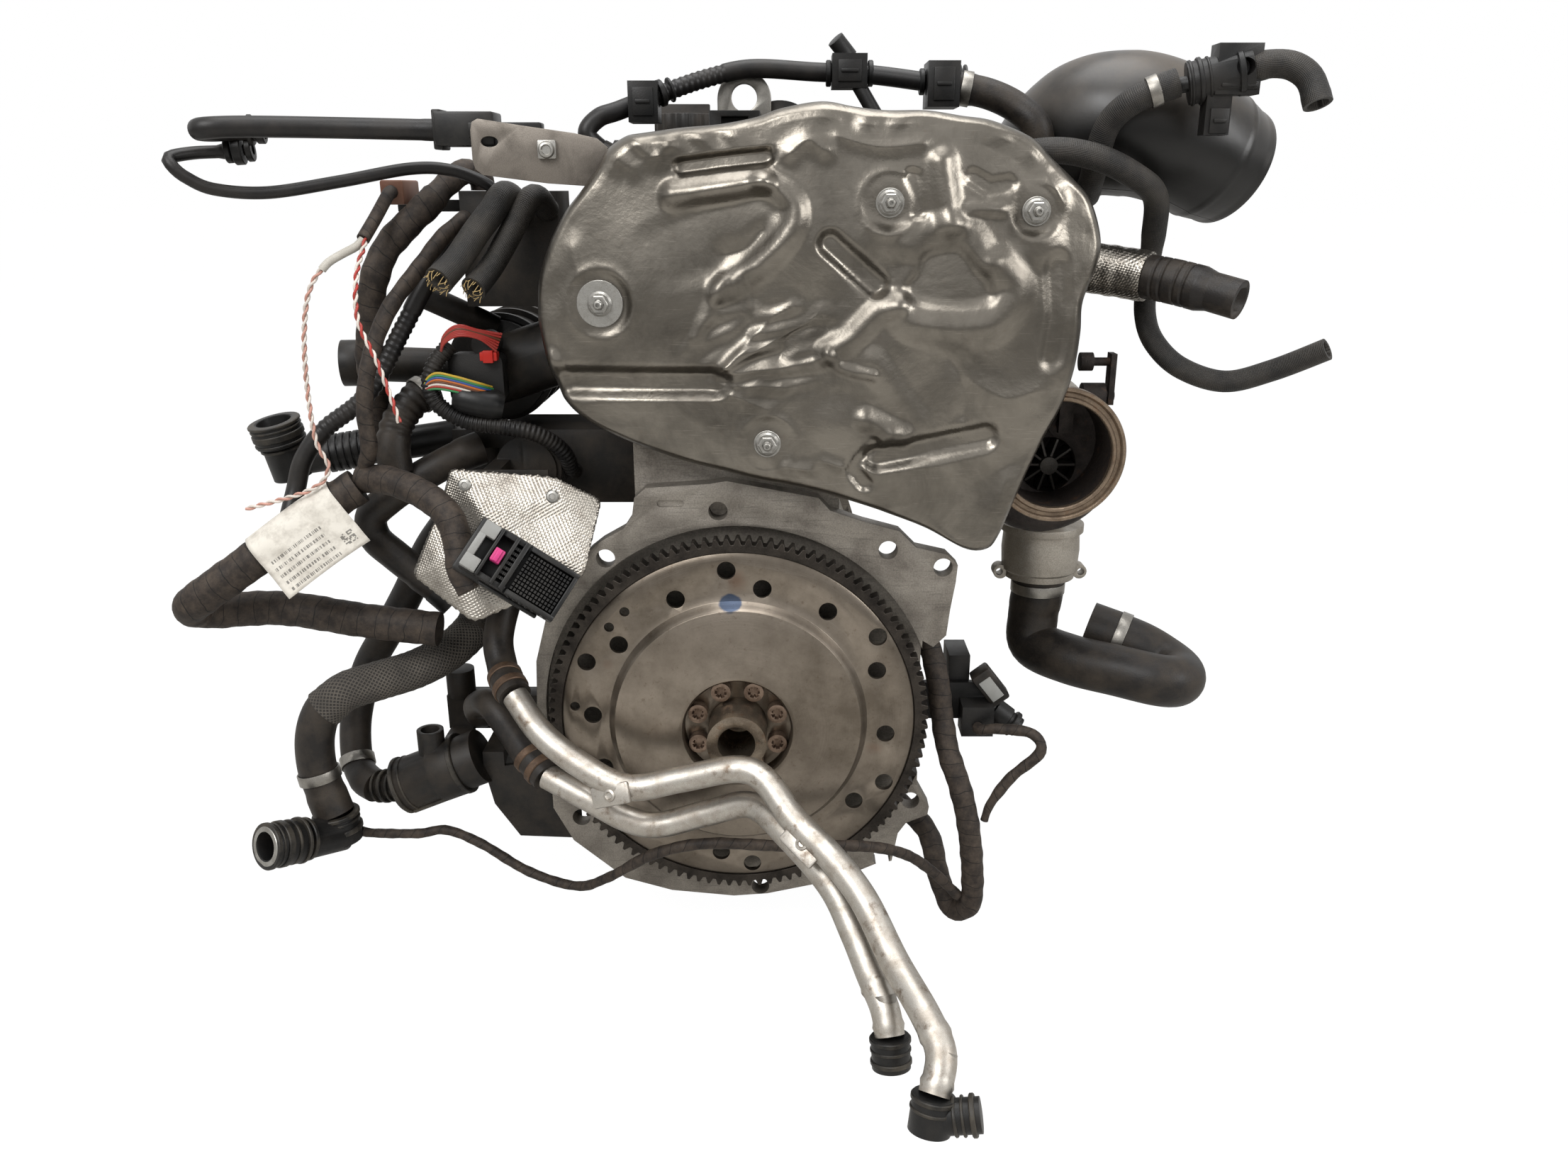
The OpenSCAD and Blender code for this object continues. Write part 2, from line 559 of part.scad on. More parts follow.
module oil_pan_lower() {
    color("#26272a")
    difference() {
        union() {
            box([-102, 86, pan_z - 8], [102, block_len - 4, pan_z]);
            box([-90, 98, sump_z], [90, block_len - 14, pan_z - 8 + eps]);
        }
        box([-90 + cover_t, 98 + cover_t, sump_z + cover_t],
            [90 - cover_t, block_len - 14 - cover_t, pan_z + 1]);
        translate([0, 330, sump_z - 1]) cylinder(r = 7, h = 10);
    }
}

// ---- Crank train ----

module crank_web(phase) {
    intersection() {
        circle(r = sweep_r - 0.2);
        union() {
            circle(r = 34);
            translate([0, phase * crank_r]) circle(r = 30);
            translate([-30, phase > 0 ? 0 : -crank_r]) square([60, crank_r]);
            translate([-72, phase > 0 ? -80 : 12]) square([144, 68]);
        }
    }
}
module crankshaft() {
    web = (chamber_w - pin_w) / 2 - web_gap;
    color("#6d655c")
    difference() {
        union() {
            for (y = mains) cyl_y([0, y - main_w / 2 - web_gap, 0], main_d / 2,
                main_w + 2 * web_gap);
            for (i = [0:3]) {
                phase = i == 0 || i == 3 ? 1 : -1;
                cyl_y([0, bores[i] - pin_w / 2 - eps, phase * crank_r], pin_d / 2,
                    pin_w + 2 * eps);
                for (s = [-1, 1]) along_y(bores[i] + (s > 0 ? pin_w / 2 : -pin_w / 2 - web),
                    web) crank_web(phase);
            }
            cyl_y([0, -flange_front, 0], crank_flange_d / 2, flange_front + seal_y - 0.5);
            cyl_y([0, seal_y - 1, 0], main_d / 2, mains[0] - seal_y);
            cyl_y([0, -pilot_reach, 0], pilot_d / 2, pilot_reach);
            cyl_y([0, mains[4], 0], nose_r, block_len + timing_d + 46 - mains[4]);
            along_y(chain_y, chain_w) toothed(20, crank_sprocket_r - 3, crank_sprocket_r);
        }
        cyl_y([0, -pilot_reach - 1, 0], pilot_bore / 2, pilot_reach - 6);
        for (i = [0:7]) rotate([0, i * 45 + 22.5, 0])
            cyl_y([crank_pcd / 2, -flange_front - 1, 0], crank_bolt_d / 2 + run_gap, 20);
    }
}

module crank_pulley() {
    y0 = block_len + timing_d + 5;
    color("#2e2d2c") {
        spun_y([0, y0, 0]) polygon([[nose_r + run_gap, 0], [30, 0], [32, 12], [60, 12], [60, 4],
            [74, 4], for (k = [0:5]) each [[75, 7 + k * 5], [71.5, 9.5 + k * 5]], [74, 36],
            [66, 38], [66, 22], [32, 22], [30, 36], [nose_r + run_gap, 36]]);
        cyl_y([0, y0 + 41, 0], 14, 10);
    }
}

module drive_plate() {
    rim_r = plate_d / 2;
    color("#8d847a")
    difference() {
        spun_y([0, 0, 0]) polygon([[pilot_d / 2 + run_gap, -flange_front], [hub_r, -flange_front],
            [hub_r, 3.5 - dome_y], [80, -25], [88, -24], [93.5, -16.5], [98, 3 - rim_y],
            [rim_r, 4.5 - rim_y], [rim_r, 2 - rim_y], [rim_r - 4.5, -rim_y], [98, -rim_y],
            [93, -rim_y - 1.5], [88, -27], [80, -28], [44, -dome_y], [39.5, -dome_y],
            [38, 2 - dome_y], [38, -seat_y], [pilot_d / 2 + run_gap, -seat_y]]);
        for (h = plate_holes) rotate([0, -h[1], 0]) cyl_y([h[0], -40, 0], h[2] / 2, 40);
        for (i = [0:7]) rotate([0, i * 45 + 22.5, 0])
            cyl_y([crank_pcd / 2, -40, 0], crank_bolt_d / 2 + run_gap, 40);
    }
}

module ring_gear() {
    color("#4d4741")
    difference() {
        along_y(-rim_y + 1, gear_w) toothed(gear_teeth, gear_d / 2 - 4.6, gear_d / 2);
        cyl_y([0, -rim_y, 0], plate_d / 2 + run_gap, gear_w + 2, $fn = 240);
    }
}

module crank_bolts() {
    color("#7c756c")
    for (i = [0:7]) rotate([0, i * 45 + 22.5, 0]) translate([crank_pcd / 2, 0, 0])
        difference() {
            union() {
                cyl_y([0, -seat_y - 8, 0], 7, 8);
                cyl_y([0, -seat_y - eps, 0], crank_bolt_d / 2, seat_y + 6);
            }
            along_y(-seat_y - 9, 6) for (a = [0, 60, 120]) rotate(a)
                square([8.4, 2.8], center = true);
        }
}

module piston(y, top) {
    r = bore_d / 2 - piston_gap;
    translate([0, y, top - 50]) difference() {
        cylinder(r = r, h = 50);
        difference() {
            translate([0, 0, -1]) cylinder(r = r - 5, h = 40);
            for (s = [-1, 1]) translate([-16, s > 0 ? 16 : -r, 6]) cube([32, r - 16, 34]);
        }
        translate([0, -50, 22]) rotate([-90, 0, 0]) cylinder(r = 11, h = 100);
        for (z = [32, 37, 42]) translate([0, 0, z]) difference() {
            cylinder(r = r + 1, h = 1.6);
            translate([0, 0, -1]) cylinder(r = r - 2.5, h = 4);
        }
    }
    cyl_y([0, y - 38, top - 28], 10.95, 76);
}
module outer_pistons() {
    color("#b3b0ab") for (i = [0, 3]) piston(bores[i], deck_z - 1);
}
module inner_pistons() {
    color("#b3b0ab") for (i = [1, 2]) piston(bores[i], deck_z - 1 - stroke);
}

// ---- Valve train ----

// Cam lobe outline, its nose turned by an angle
module lobe(turn) {
    nose = 7;
    reach = cam_base_r + lobe_lift - nose;
    tip = acos((cam_base_r - nose) / reach);
    rotate(turn) union() {
        circle(r = cam_base_r);
        translate([0, reach]) circle(r = nose);
        polygon([cam_base_r * [sin(tip), cos(tip)], [0, reach] + nose * [sin(tip), cos(tip)],
            [0, reach] + nose * [-sin(tip), cos(tip)], cam_base_r * [-sin(tip), cos(tip)]]);
    }
}
module camshaft(x, turns) {
    color("#716c66")
    translate([x, 0, cam_z]) {
        cyl_y([0, mains[0] - 7, 0], 11, block_len + 2 - mains[0] + 7);
        for (i = [0:3]) cyl_y([0, mains[i] - 6.5, 0], cam_journal_d / 2, 13);
        cyl_y([0, mains[4] - 6.5, 0], cam_journal_d / 2, block_len + 1.5 - mains[4] + 6.5);
        for (i = [0:3], dy = [-valve_dy, valve_dy])
            along_y(bores[i] + dy - lobe_w / 2, lobe_w) lobe(turns[i]);
        along_y(chain_y, chain_w) toothed(40, cam_sprocket_r - 3, cam_sprocket_r);
        cyl_y([0, block_len + 1, 0], 14, chain_y - block_len);
        cyl_y([0, chain_y + chain_w - eps, 0], 11, 7);
    }
}
module intake_camshaft() { camshaft(-cam_x, [70, -20, 160, -110]); }
module exhaust_camshaft() { camshaft(cam_x, [-70, -160, 20, 110]); }

module valves() {
    top = cam_base_r + lobe_lift + 1;
    color("#8b8680")
    for (y = bores, s = [-1, 1], dy = [-valve_dy, valve_dy]) at_valve(s, y + dy) {
        translate([0, 0, top]) cylinder(r = 3, h = valve_len - top - 2);
        translate([0, 0, valve_len - 5]) cylinder(r1 = 12, r2 = 15.5, h = 3);
        translate([0, 0, valve_len - 2.02]) cylinder(r = 15.5, h = 2);
        translate([0, 0, top]) cylinder(r = 10.5, h = 3);
        // Spring, its coils closed up to a ribbed sleeve
        translate([0, 0, top + 3]) rotate_extrude() polygon([[7.5, 0],
            for (k = [0:5]) each [[10, k * 4], [11, k * 4 + 2]], [10, 23], [7.5, 23]]);
    }
}

module chain_loop(r_add) {
    hull() {
        circle(r = crank_sprocket_r + r_add);
        for (s = [-1, 1]) translate([s * cam_x, cam_z]) circle(r = cam_sprocket_r + r_add);
    }
}
module timing_chain() {
    color("#4b4a49")
    along_y(chain_y + 1, chain_w - 2) difference() {
        chain_loop(chain_t - 0.5);
        chain_loop(0.4);
    }
}

module ignition_coils() {
    color("#1d1d1f")
    for (y = bores) {
        translate([0, y, gallery_z + 4]) cylinder(r = 12, h = cover_z - gallery_z - 4);
        difference() {
            box([-17, y - 25, cover_z], [17, y + 25, cover_z + 20]);
            box([-9, y - 26, cover_z + 5], [9, y - 16, cover_z + 16]);
        }
        translate([0, y, deck_z + 8]) cylinder(r = 10.3, h = gallery_z - 4 - deck_z);
        translate([0, y, deck_z + 3]) cylinder(r = 3, h = 6);
    }
}

module oil_filler_cap() {
    color("#1b1b1c")
    translate([-48, bores[2], cover_z + 12.3]) difference() {
        union() {
            linear_extrude(16) toothed(16, 24.5, 26);
            translate([0, 0, -12]) cylinder(r = 17.9, h = 13);
            box([-20, -4, 15], [20, 4, 24]);
        }
        translate([0, 0, -13]) cylinder(r = 14, h = 20);
    }
}

module lifting_eye() {
    y = bores[0] + 27;
    color("#a9a7a2")
    difference() {
        union() {
            box([-14, y - 1.5, cover_z], [24, y + 1.5, cover_z + 30]);
            cyl_y([5, y - 1.5, cover_z + 30], 19, 3);
            box([-14, y - 1.5, cover_z], [-4, y + 4.5, cover_z + 3]);
        }
        cyl_y([5, y - 5, cover_z + 31], 9, 10);
    }
}

// ---- Intake side ----

module intake_manifold() {
    color("#222326")
    difference() {
        union() {
            box([head_x0 - 10, bores[0] - 34, deck_z + 16], [head_x0, bores[3] + 34, deck_z + 70]);
            for (y = bores) rod([head_x0 - 9, y, deck_z + 43], [plenum_x, y, plenum_z], 24);
            cyl_y([plenum_x, plenum_y0, plenum_z], plenum_d / 2, plenum_y1 - plenum_y0);
            for (y = [for (k = [0:7]) plenum_y0 + 10 + k * 35])
                cyl_y([plenum_x, y, plenum_z], plenum_d / 2 + 4, 5);
            cyl_y([plenum_x, plenum_y1 - 8, plenum_z], plenum_d / 2 + 6, 8);
            // Flap drive and vacuum box at the gearbox end
            box([-192, 64, 286], [-124, 112, 364]);
            box([-130, 64, 262], [head_x0 - 6, 82, 300]);
            rod([-224, 74, 292], [-180, 92, 268], 9);
            rod([-216, 104, plenum_z], [-288, 94, plenum_z + 4], 13);
            rod([-284, 94.6, plenum_z + 4], [-296, 93, plenum_z + 4], 17);
        }
        for (y = bores) rod([head_x0 + 1, y, deck_z + 43], [plenum_x, y, plenum_z], 20);
        cyl_y([plenum_x, plenum_y0 + 4, plenum_z], plenum_d / 2 - 4, plenum_y1);
    }
}

module throttle_body() {
    color("#7e7f80")
    difference() {
        union() {
            cyl_y([plenum_x, plenum_y1, plenum_z], plenum_d / 2, throttle_len);
            box([plenum_x - 44, plenum_y1, plenum_z - 26],
                [plenum_x - 20, plenum_y1 + throttle_len, plenum_z + 26]);
            cyl_y([plenum_x, plenum_y1 + throttle_len - eps, plenum_z], throttle_d / 2 + 5, 26);
        }
        cyl_y([plenum_x, plenum_y1 - 1, plenum_z], throttle_d / 2, throttle_len + 40);
        translate([plenum_x, plenum_y1 + 17, plenum_z - 34])
            cylinder(r = 4 + run_gap, h = 68);
    }
}
module throttle_plate() {
    color("#b59a55")
    translate([plenum_x, plenum_y1 + 17, plenum_z]) {
        cyl_y([0, -1, 0], throttle_d / 2 - 0.4, 2);
        translate([0, 0, -33]) cylinder(r = 4, h = 66);
    }
}

// ---- Exhaust side ----

module turbine_housing() {
    ring = outlet_flange_d / 2;
    bore = outlet_d / 2;
    color("#6a4f3c")
    difference() {
        union() {
            spun_y([outlet_x, 0, outlet_z]) polygon([[0, outlet_y0], [ring, outlet_y0],
                [ring, outlet_y0 + 6], [bore + 5, outlet_y0 + 9], [bore + 5, wheel_y + 6],
                [0, wheel_y + 6]]);
            cyl_y([turbo_x, wheel_y - 2, turbo_z], 46, turbine_y1 - wheel_y + 2);
            spun_y([turbo_x, 80, turbo_z]) translate([38, 0]) circle(r = 18);
            rod([head_x1 + 8, 80, deck_z + 30], [turbo_x - 12, 80, turbo_z + 34], 18);
            box([head_x1, 46, deck_z - 4], [head_x1 + 10, 114, deck_z + 66]);
            // Boss of the wastegate shaft and the bracket over the outlet
            translate([gate_x + 10, gate_pin_y, gate_pin_z]) rotate([0, 90, 0])
                cylinder(r = 9, h = 16);
            box([gate_x + 10, gate_pin_y - 9, gate_pin_z - 14],
                [gate_x + 26, gate_pin_y + 9, gate_pin_z]);
        }
        cyl_y([outlet_x, outlet_y0 - 1, outlet_z], bore, wheel_y - outlet_y0);
        cyl_y([turbo_x, wheel_y - 6, turbo_z], turbine_d / 2 + wheel_gap, 24);
        cyl_y([turbo_x, wheel_y, turbo_z], 7, 40);
        spun_y([turbo_x, 80, turbo_z]) translate([36, 0]) circle(r = 13);
        spun_y([turbo_x, 78, turbo_z]) translate([18, -3]) square([20, 7]);
        rod([head_x1 - 1, 80, deck_z + 30], [turbo_x - 8, 80, turbo_z + 34], 12.5);
        cyl_y([gate_x, wheel_y - 6, gate_z], 8, 24);
        // Pocket and bore of the wastegate shaft
        box([gate_x - 9, gate_pin_y - 10, gate_z + 4], [gate_x + 9, wheel_y - 1, gate_pin_z + 9]);
        translate([gate_x - 10, gate_pin_y, gate_pin_z]) rotate([0, 90, 0])
            cylinder(r = gate_pin_r + run_gap, h = 40);
    }
}

module wastegate_lever() {
    color("#7a6350") {
        translate([gate_x - 7, gate_pin_y, gate_pin_z]) rotate([0, 90, 0])
            cylinder(r = gate_pin_r, h = 40);
        box([gate_x - 5, gate_pin_y - 3, gate_z + 2], [gate_x + 5, gate_pin_y + 3, gate_pin_z]);
        box([gate_x - 5, gate_pin_y - 3, gate_z - 5], [gate_x + 5, gate_pin_y + 3, gate_z + 3]);
        cyl_y([gate_x, gate_pin_y + 2, gate_z], 5, wheel_y - 4 - gate_pin_y);
        cyl_y([gate_x, wheel_y - 4.3, gate_z], 10.5, 3);
        // Outer arm and its ball stud
        box([gate_x + 28, gate_pin_y - 6, gate_pin_z - 6],
            [gate_x + 32, gate_pin_y + 6, gate_pin_z + 30]);
        translate([gate_x + 8, gate_pin_y, gate_pin_z + 24]) rotate([0, 90, 0])
            cylinder(r = 3, h = 22);
        translate([gate_x + 7, gate_pin_y, gate_pin_z + 24]) rotate([0, 90, 0])
            cylinder(r = 6.5, h = 9);
    }
}

module bearing_housing() {
    color("#7c7771")
    difference() {
        union() {
            cyl_y([turbo_x, turbine_y1, turbo_z], 40, 5);
            cyl_y([turbo_x, turbine_y1, turbo_z], 27, bearing_y1 - turbine_y1);
            cyl_y([turbo_x, bearing_y1 - 5, turbo_z], 44, 5);
            translate([turbo_x, 114, turbo_z - 40]) cylinder(r = 10, h = 25);
            translate([turbo_x, 114, turbo_z + 12]) cylinder(r = 9, h = 22);
        }
        cyl_y([turbo_x, turbine_y1 - 1, turbo_z], 4 + run_gap, 60);
    }
}

module compressor_housing() {
    mid = (bearing_y1 + compressor_y1) / 2 - 8;
    color("#a3a29e")
    difference() {
        union() {
            cyl_y([turbo_x, bearing_y1, turbo_z], 46, 36);
            spun_y([turbo_x, mid, turbo_z]) translate([42, 0]) circle(r = 17);
            cyl_y([turbo_x, bearing_y1 + 30, turbo_z], 30, compressor_y1 - bearing_y1 - 6);
            rod([turbo_x + 26, mid, turbo_z - 22], [silencer_x, silencer_y, silencer_z1 + 14], 18);
            translate([silencer_x, silencer_y, silencer_z1]) cylinder(r = 19, h = 18);
        }
        spun_y([turbo_x, mid, turbo_z]) translate([42, 0]) circle(r = 13);
        spun_y([turbo_x, mid, turbo_z]) translate([20, -2]) square([20, 5]);
        cyl_y([turbo_x, bearing_y1 + 6, turbo_z], compressor_d / 2 + wheel_gap, 100);
        cyl_y([turbo_x, bearing_y1 - 1, turbo_z], 7, 20);
        rod([turbo_x + 26, mid, turbo_z - 22], [silencer_x, silencer_y, silencer_z1 + 14], 14);
        translate([silencer_x, silencer_y, silencer_z1 - 1]) cylinder(r = 15, h = 18);
    }
}

module turbo_rotor() {
    color("#8f8a84")
    translate([turbo_x, 0, turbo_z]) {
        cyl_y([0, wheel_y - 2, 0], 4, 110);
        cyl_y([0, wheel_y - 6, 0], 6.5, 22);
        for (i = [0:9]) rotate([0, i * 36, 0])
            box([5.5, wheel_y - 2, -0.8], [turbine_d / 2, wheel_y + 15, 0.8]);
        cyl_y([0, bearing_y1 + 8, 0], 8, 26);
        for (i = [0:11]) rotate([0, i * 30, 0])
            box([7, bearing_y1 + 9, -0.6], [compressor_d / 2, bearing_y1 + 32, 0.6]);
    }
}

module charge_silencer() {
    color("#c9c9c6")
    translate([silencer_x, silencer_y, 0]) difference() {
        union() {
            rotate_extrude() polygon([[0, silencer_z0], [29, silencer_z0], [29, silencer_z0 + 5],
                [31, silencer_z0 + 7], [silencer_r, silencer_z0 + 24], [31, silencer_z1 - 7],
                [34, silencer_z1 - 6], [34, silencer_z1], [0, silencer_z1]]);
            for (s = [-1, 1]) translate([s * 33, -6, silencer_z0 + 4]) rotate([-90, 0, 0])
                cylinder(r = 6, h = 12);
            translate([0, 0, silencer_z0 - 14]) cylinder(r = 19, h = 20);
        }
        translate([0, 0, silencer_z0 - 20]) cylinder(r = 16, h = 120);
        for (s = [-1, 1]) translate([s * 34, -10, silencer_z0 + 4]) rotate([-90, 0, 0])
            cylinder(r = 3, h = 20);
    }
}

charge_route = smooth(charge_path, 3);
module charge_hose() {
    color("#1c1c1c") difference() {
        tube(charge_route, charge_hose_d / 2, 12);
        translate([silencer_x, silencer_y, silencer_z0 - 16]) cylinder(r = 19.05, h = 30);
        tube([charge_path[9], charge_path[10], charge_path[11] + [-20, 10, 4]],
            charge_hose_d / 2 - 4, 12);
    }
}

duct_route = smooth(duct_path, 3);
function smooth_r(r, steps) = [for (i = [0:len(r) - 2]) for (s = [0:steps - 1])
    r[i] + (r[i + 1] - r[i]) * s / steps, r[len(r) - 1]];
module air_duct() {
    color("#18191b") difference() {
        tube(duct_route, smooth_r(duct_radii, 3), 12);
        on_route(duct_path, 0) translate([0, 0, -1]) cylinder(r = 30.1, h = 12, $fn = 24);
        tube([duct_path[8], duct_path[9], duct_path[9] + [16, 6, -7]], 36, 12);
    }
}

// ---- Shield ----

// Depth of the shield at a place: bolt pads, long ribs and a broad swell
function near(x, z, c, r) = let (d = norm([x - c[0], z - c[1]]) / r)
    d < 1 ? pow(1 - d * d, 2) : 0;
function rib(x, z, a, b, w) = let (d = b - a, q = [x, z] - a,
    t = max(0, min(1, (q * d) / (d * d)))) near(x, z, a + t * d, w);
function shield_depth(x, z) = -shield_y
    + 9 * pow(min(1, norm([(x - 55) / 190, (z - 290) / 135])), 4)
    - 5 * near(x, z, [45, 335], 45) - 5 * near(x, z, [150, 300], 50)
    + 4 * rib(x, z, [-10, 350], [60, 300], 20) + 4 * rib(x, z, [120, 260], [80, 220], 20)
    - 4 * rib(x, z, [-105, 240], [0, 240], 10) - 4 * rib(x, z, [105, 195], [175, 208], 10);
module heat_shield() {
    rings = [0.0, 0.16, 0.32, 0.48, 0.64, 0.8, 0.93, 1];
    n = len(shield_outline);
    m = len(rings);
    function at(k, j) = let (p = shield_mid + (shield_outline[k] - shield_mid) * rings[j])
        [p[0], shield_depth(p[0], p[1]) + (j == m - 1 ? 5 : 0), p[1]];
    front = [for (j = [1:m - 1]) for (k = [0:n - 1]) at(k, j)];
    back = [for (p = front) p + [0, shield_t, 0]];
    total = len(front);
    hub = [shield_mid[0], shield_depth(shield_mid[0], shield_mid[1]), shield_mid[1]];
    pts = concat(front, back, [hub, hub + [0, shield_t, 0]]);
    face = concat(
        [for (k = [0:n - 1]) [2 * total, (k + 1) % n, k]],
        [for (j = [0:m - 3]) for (k = [0:n - 1]) let (a = j * n + k, b = j * n + (k + 1) % n)
            each [[a, b, b + n], [a, b + n, a + n]]]);
    rear = [for (f = face) [for (k = [2:-1:0]) f[k] == 2 * total ? f[k] + 1 : f[k] + total]];
    rim = [for (k = [0:n - 1]) let (a = total - n + k, b = total - n + (k + 1) % n)
        each [[a, b, b + total], [a, b + total, a + total]]];
    color("#9c958c")
    difference() {
        polyhedron(pts, concat(face, rear, rim));
        for (s = shield_studs) cyl_y([s[0], -60, s[1]], 3.3, 60);
    }
}

module shield_fasteners() {
    color("#b9b6b0")
    for (i = [0:3]) let (at = shield_studs[i], washer = i == 0 ? 15 : 9,
        seat = shield_depth(at[0], at[1]) - 1.4) translate([at[0], 0, at[1]]) {
        // Washer, nut and stud as one seated group in front of the sheet
        difference() {
            union() {
                cyl_y([0, seat - 1.5, 0], washer, 1.5);
                along_y(seat - 7.5, 6 + eps) circle(r = 6.4, $fn = 6);
                cyl_y([0, seat - 11.5, 0], 3, -stud_end - seat + 11.5);
            }
            cyl_y([0, seat - 12.5, 0], 1.4, 3);
        }
    }
}

// ---- Top hoses ----

breather_route = smooth(breather_path, 3);
breather_big_route = smooth(breather_big_path, 3);
module breather_hose() {
    color("#1b1b1c") {
        tube(breather_route, 6.2, 10);
        tube(breather_big_route, 10, 12);
    }
}
module vent_hose() {
    color("#262626") tube(vent_path, vent_hose_d / 2, 10);
}
module purge_valve() {
    color("#161616") {
        difference() {
            union() {
                rod([292, 25, 429], [330, 18, 437], 13);
                rod([284, 26, 428], [292, 25, 429], 5);
                box([306, 12, 422], [334, 28, 452]);
                rod([330, 18, 437], [338, 16, 438], 5);
                box([302, 14, 398], [318, 26, 424]);
            }
            cyl_y([322, 0, 438], 5.5, 16);
            box([305, 16, 390], [315, 24, 406]);
        }
    }
}
purge_in_route = smooth(purge_in_path, 2);
purge_out_route = smooth(purge_out_path, 3);
module purge_hoses() {
    color("#242424") {
        tube(purge_in_route, 8.5, 10);
        tube(purge_out_route, 8.5, 10);
    }
}
coolant_right_route = smooth(coolant_right_path, 2);
module coolant_hose_right() {
    n = len(coolant_right_route) - 1;
    color("#201f1f") difference() {
        tube(coolant_right_route, [for (i = [0:n]) i < n - 2 ? 15 : 13], 12);
        tube([coolant_right_route[n - 1], coolant_right_path[6], coolant_right_path[6]
            + [20, -16, -6]], 9, 12);
    }
}
module foil_sleeve() {
    part = [for (i = [4:8]) coolant_right_route[i]];
    color("#b7b3ab") difference() {
        tube(part, 17.4, 16);
        tube(concat([2 * part[0] - part[1]], part, [2 * part[4] - part[3]]), 15.8, 16);
    }
}

// ---- Left top lines ----

module line_bracket() {
    outline = [[-164, 402], [-164, 378], [-160, 374], [-117, 368.5], [-94, 367], [-78, 368],
        [-78, 390], [-85, 395.5], [-99, 398.5], [-132, 403], [-159, 407]];
    color("#7d7c79")
    difference() {
        union() {
            along_y(-1, 2) polygon(outline);
            box([-91, -1, 370], [-79, plate_t, 388]);
            along_y(-7, 6) translate([-116, 388.5]) circle(r = 7, $fn = 4);
            box([-188, 0.9, 390], [-150, 26, 412]);
        }
        along_y(-4, 8) hull() {
            translate([-155, 393.5]) circle(r = 3, $fn = 16);
            translate([-150, 393.5]) circle(r = 3, $fn = 16);
        }
    }
}
fuel_route = smooth(fuel_path, 2);
module fuel_hose() {
    color("#232322") {
        tube(fuel_route, 6.5, 10);
        difference() {
            box([-316, 6, 382], [-300, 26, 410]);
            rod([-330, 14, 401], [-290, 14, 401], 6.7);
        }
    }
}
module vacuum_hose() { color("#1e1e1e") tube(vacuum_path, 4, 8); }
module cut_hoses() {
    color("#1c1b1a") {
        tube(smooth(cut_path_a, 2), 9, 10);
        tube(smooth(cut_path_b, 2), 8, 10);
    }
}

// ---- Left cluster ----

module coolant_housing() {
    color("#2a2a2b")
    difference() {
        union() {
            box([-178, 66, 142], [-bank_w, 130, 197]);
            box([-212, 66, 183.5], [-170, 104, 197]);
            rod([-172, 82, 150], [-201, 64, 60], 13);
            // Corrugated front of the housing
            for (k = [0:3]) rod([-150 - k, 62 - k * 4, 172], [-150 - k, 58.5 - k * 4, 172], 24);
            rod([-150, 70, 172], [-153, 46, 172], 21);
            // Carrier of the heat mat
            box([-194, 12.05, 173], [-132, 14, 179]);
            box([-178, 12.05, 166], [-166, 68, 179]);
        }
        rod([-201, 80, 190], [-230, 80, 190], 6);
    }
}
elbow_route_a = smooth(elbow_path_a, 3);
elbow_route_b = smooth(elbow_path_b, 3);
module elbow_hose() {
    color("#2a2827") {
        tube(elbow_route_a, 12, 12);
        tube(elbow_route_b, 11.5, 12);
        tube(smooth(big_loop_path, 2), 9.5, 10);
        tube(smooth(black_tube_path, 2), 6.5, 10);
    }
}
lower_route = smooth(lower_path, 3);
inlet_route = smooth(inlet_path, 2);
module lower_hose() {
    color("#2d2b29") {
        tube(lower_route, lower_hose_d / 2, 12);
        tube(inlet_route, 12, 10);
        tube(smooth(feed_path_a, 2), 11, 10);
        tube(smooth(feed_path_b, 2), 11, 10);
    }
}
module hose_couplings() {
    neck = [-330, 60, 164];
    up = unit([-1, -1, 6]);
    color("#141414") {
        // Quick connector under the lower hose
        difference() {
            union() {
                rod([-306, -4.5, -83], [-304, -5, -104], 16);
                rod([-302, -6, -97], [-322, -34, -89], 14);
                rod([-322, -34, -89], [-337, -56, -80], 15.5);
            }
            rod([-302, -6, -97], [-345, -68, -75], 10.5);
        }
        // Corrugated neck and its open coupling on the left
        difference() {
            union() {
                rod([-212.3, 80, 190], [-330, 60, 176], 12);
                for (k = [0:5]) rod([-276 - k * 5, 69.2 - k * 0.85, 183.3 - k * 0.7],
                    [-279 - k * 5, 68.7 - k * 0.85, 182.9 - k * 0.7], 14);
                rod(neck, neck + 36 * up, 14.5);
                rod(neck + 26 * up, neck + 43 * up, 17.5);
            }
            rod(neck + 12 * up, neck + 50 * up, 12.5);
        }
        // Elbows at the ends of the aluminium pipes
        rod([119, -249, -126], [116, -255, -146], 12.5);
        rod([116, -253, -139], [145, -257, -133], 10);
        rod([98, -198, -127], [99, -203, -146], 12);
        // Coupling block, branch and clip on the breather line
        box([130.2, 66, 418], [151.8, 96, 447]);
        difference() {
            box([66, 81, 431], [90, 103, 453]);
            rod([50, 93.2, 442.2], [100, 89.8, 439.8], 6.6);
        }
        rod([78, 90, 451], [68, 86, 462], 6);
        rod([84, 88, 434], [96, 80, 414], 5);
        difference() {
            box([-72, 60, 408], [-52, 86, 434]);
            rod([-85, 66.5, 413.5], [-40, 80.5, 431], 6.8);
        }
        // Ribbed end of the elbow hose
        rod([-223.8, 34, 85.8], [-212, 34, 74], 13);
    }
}

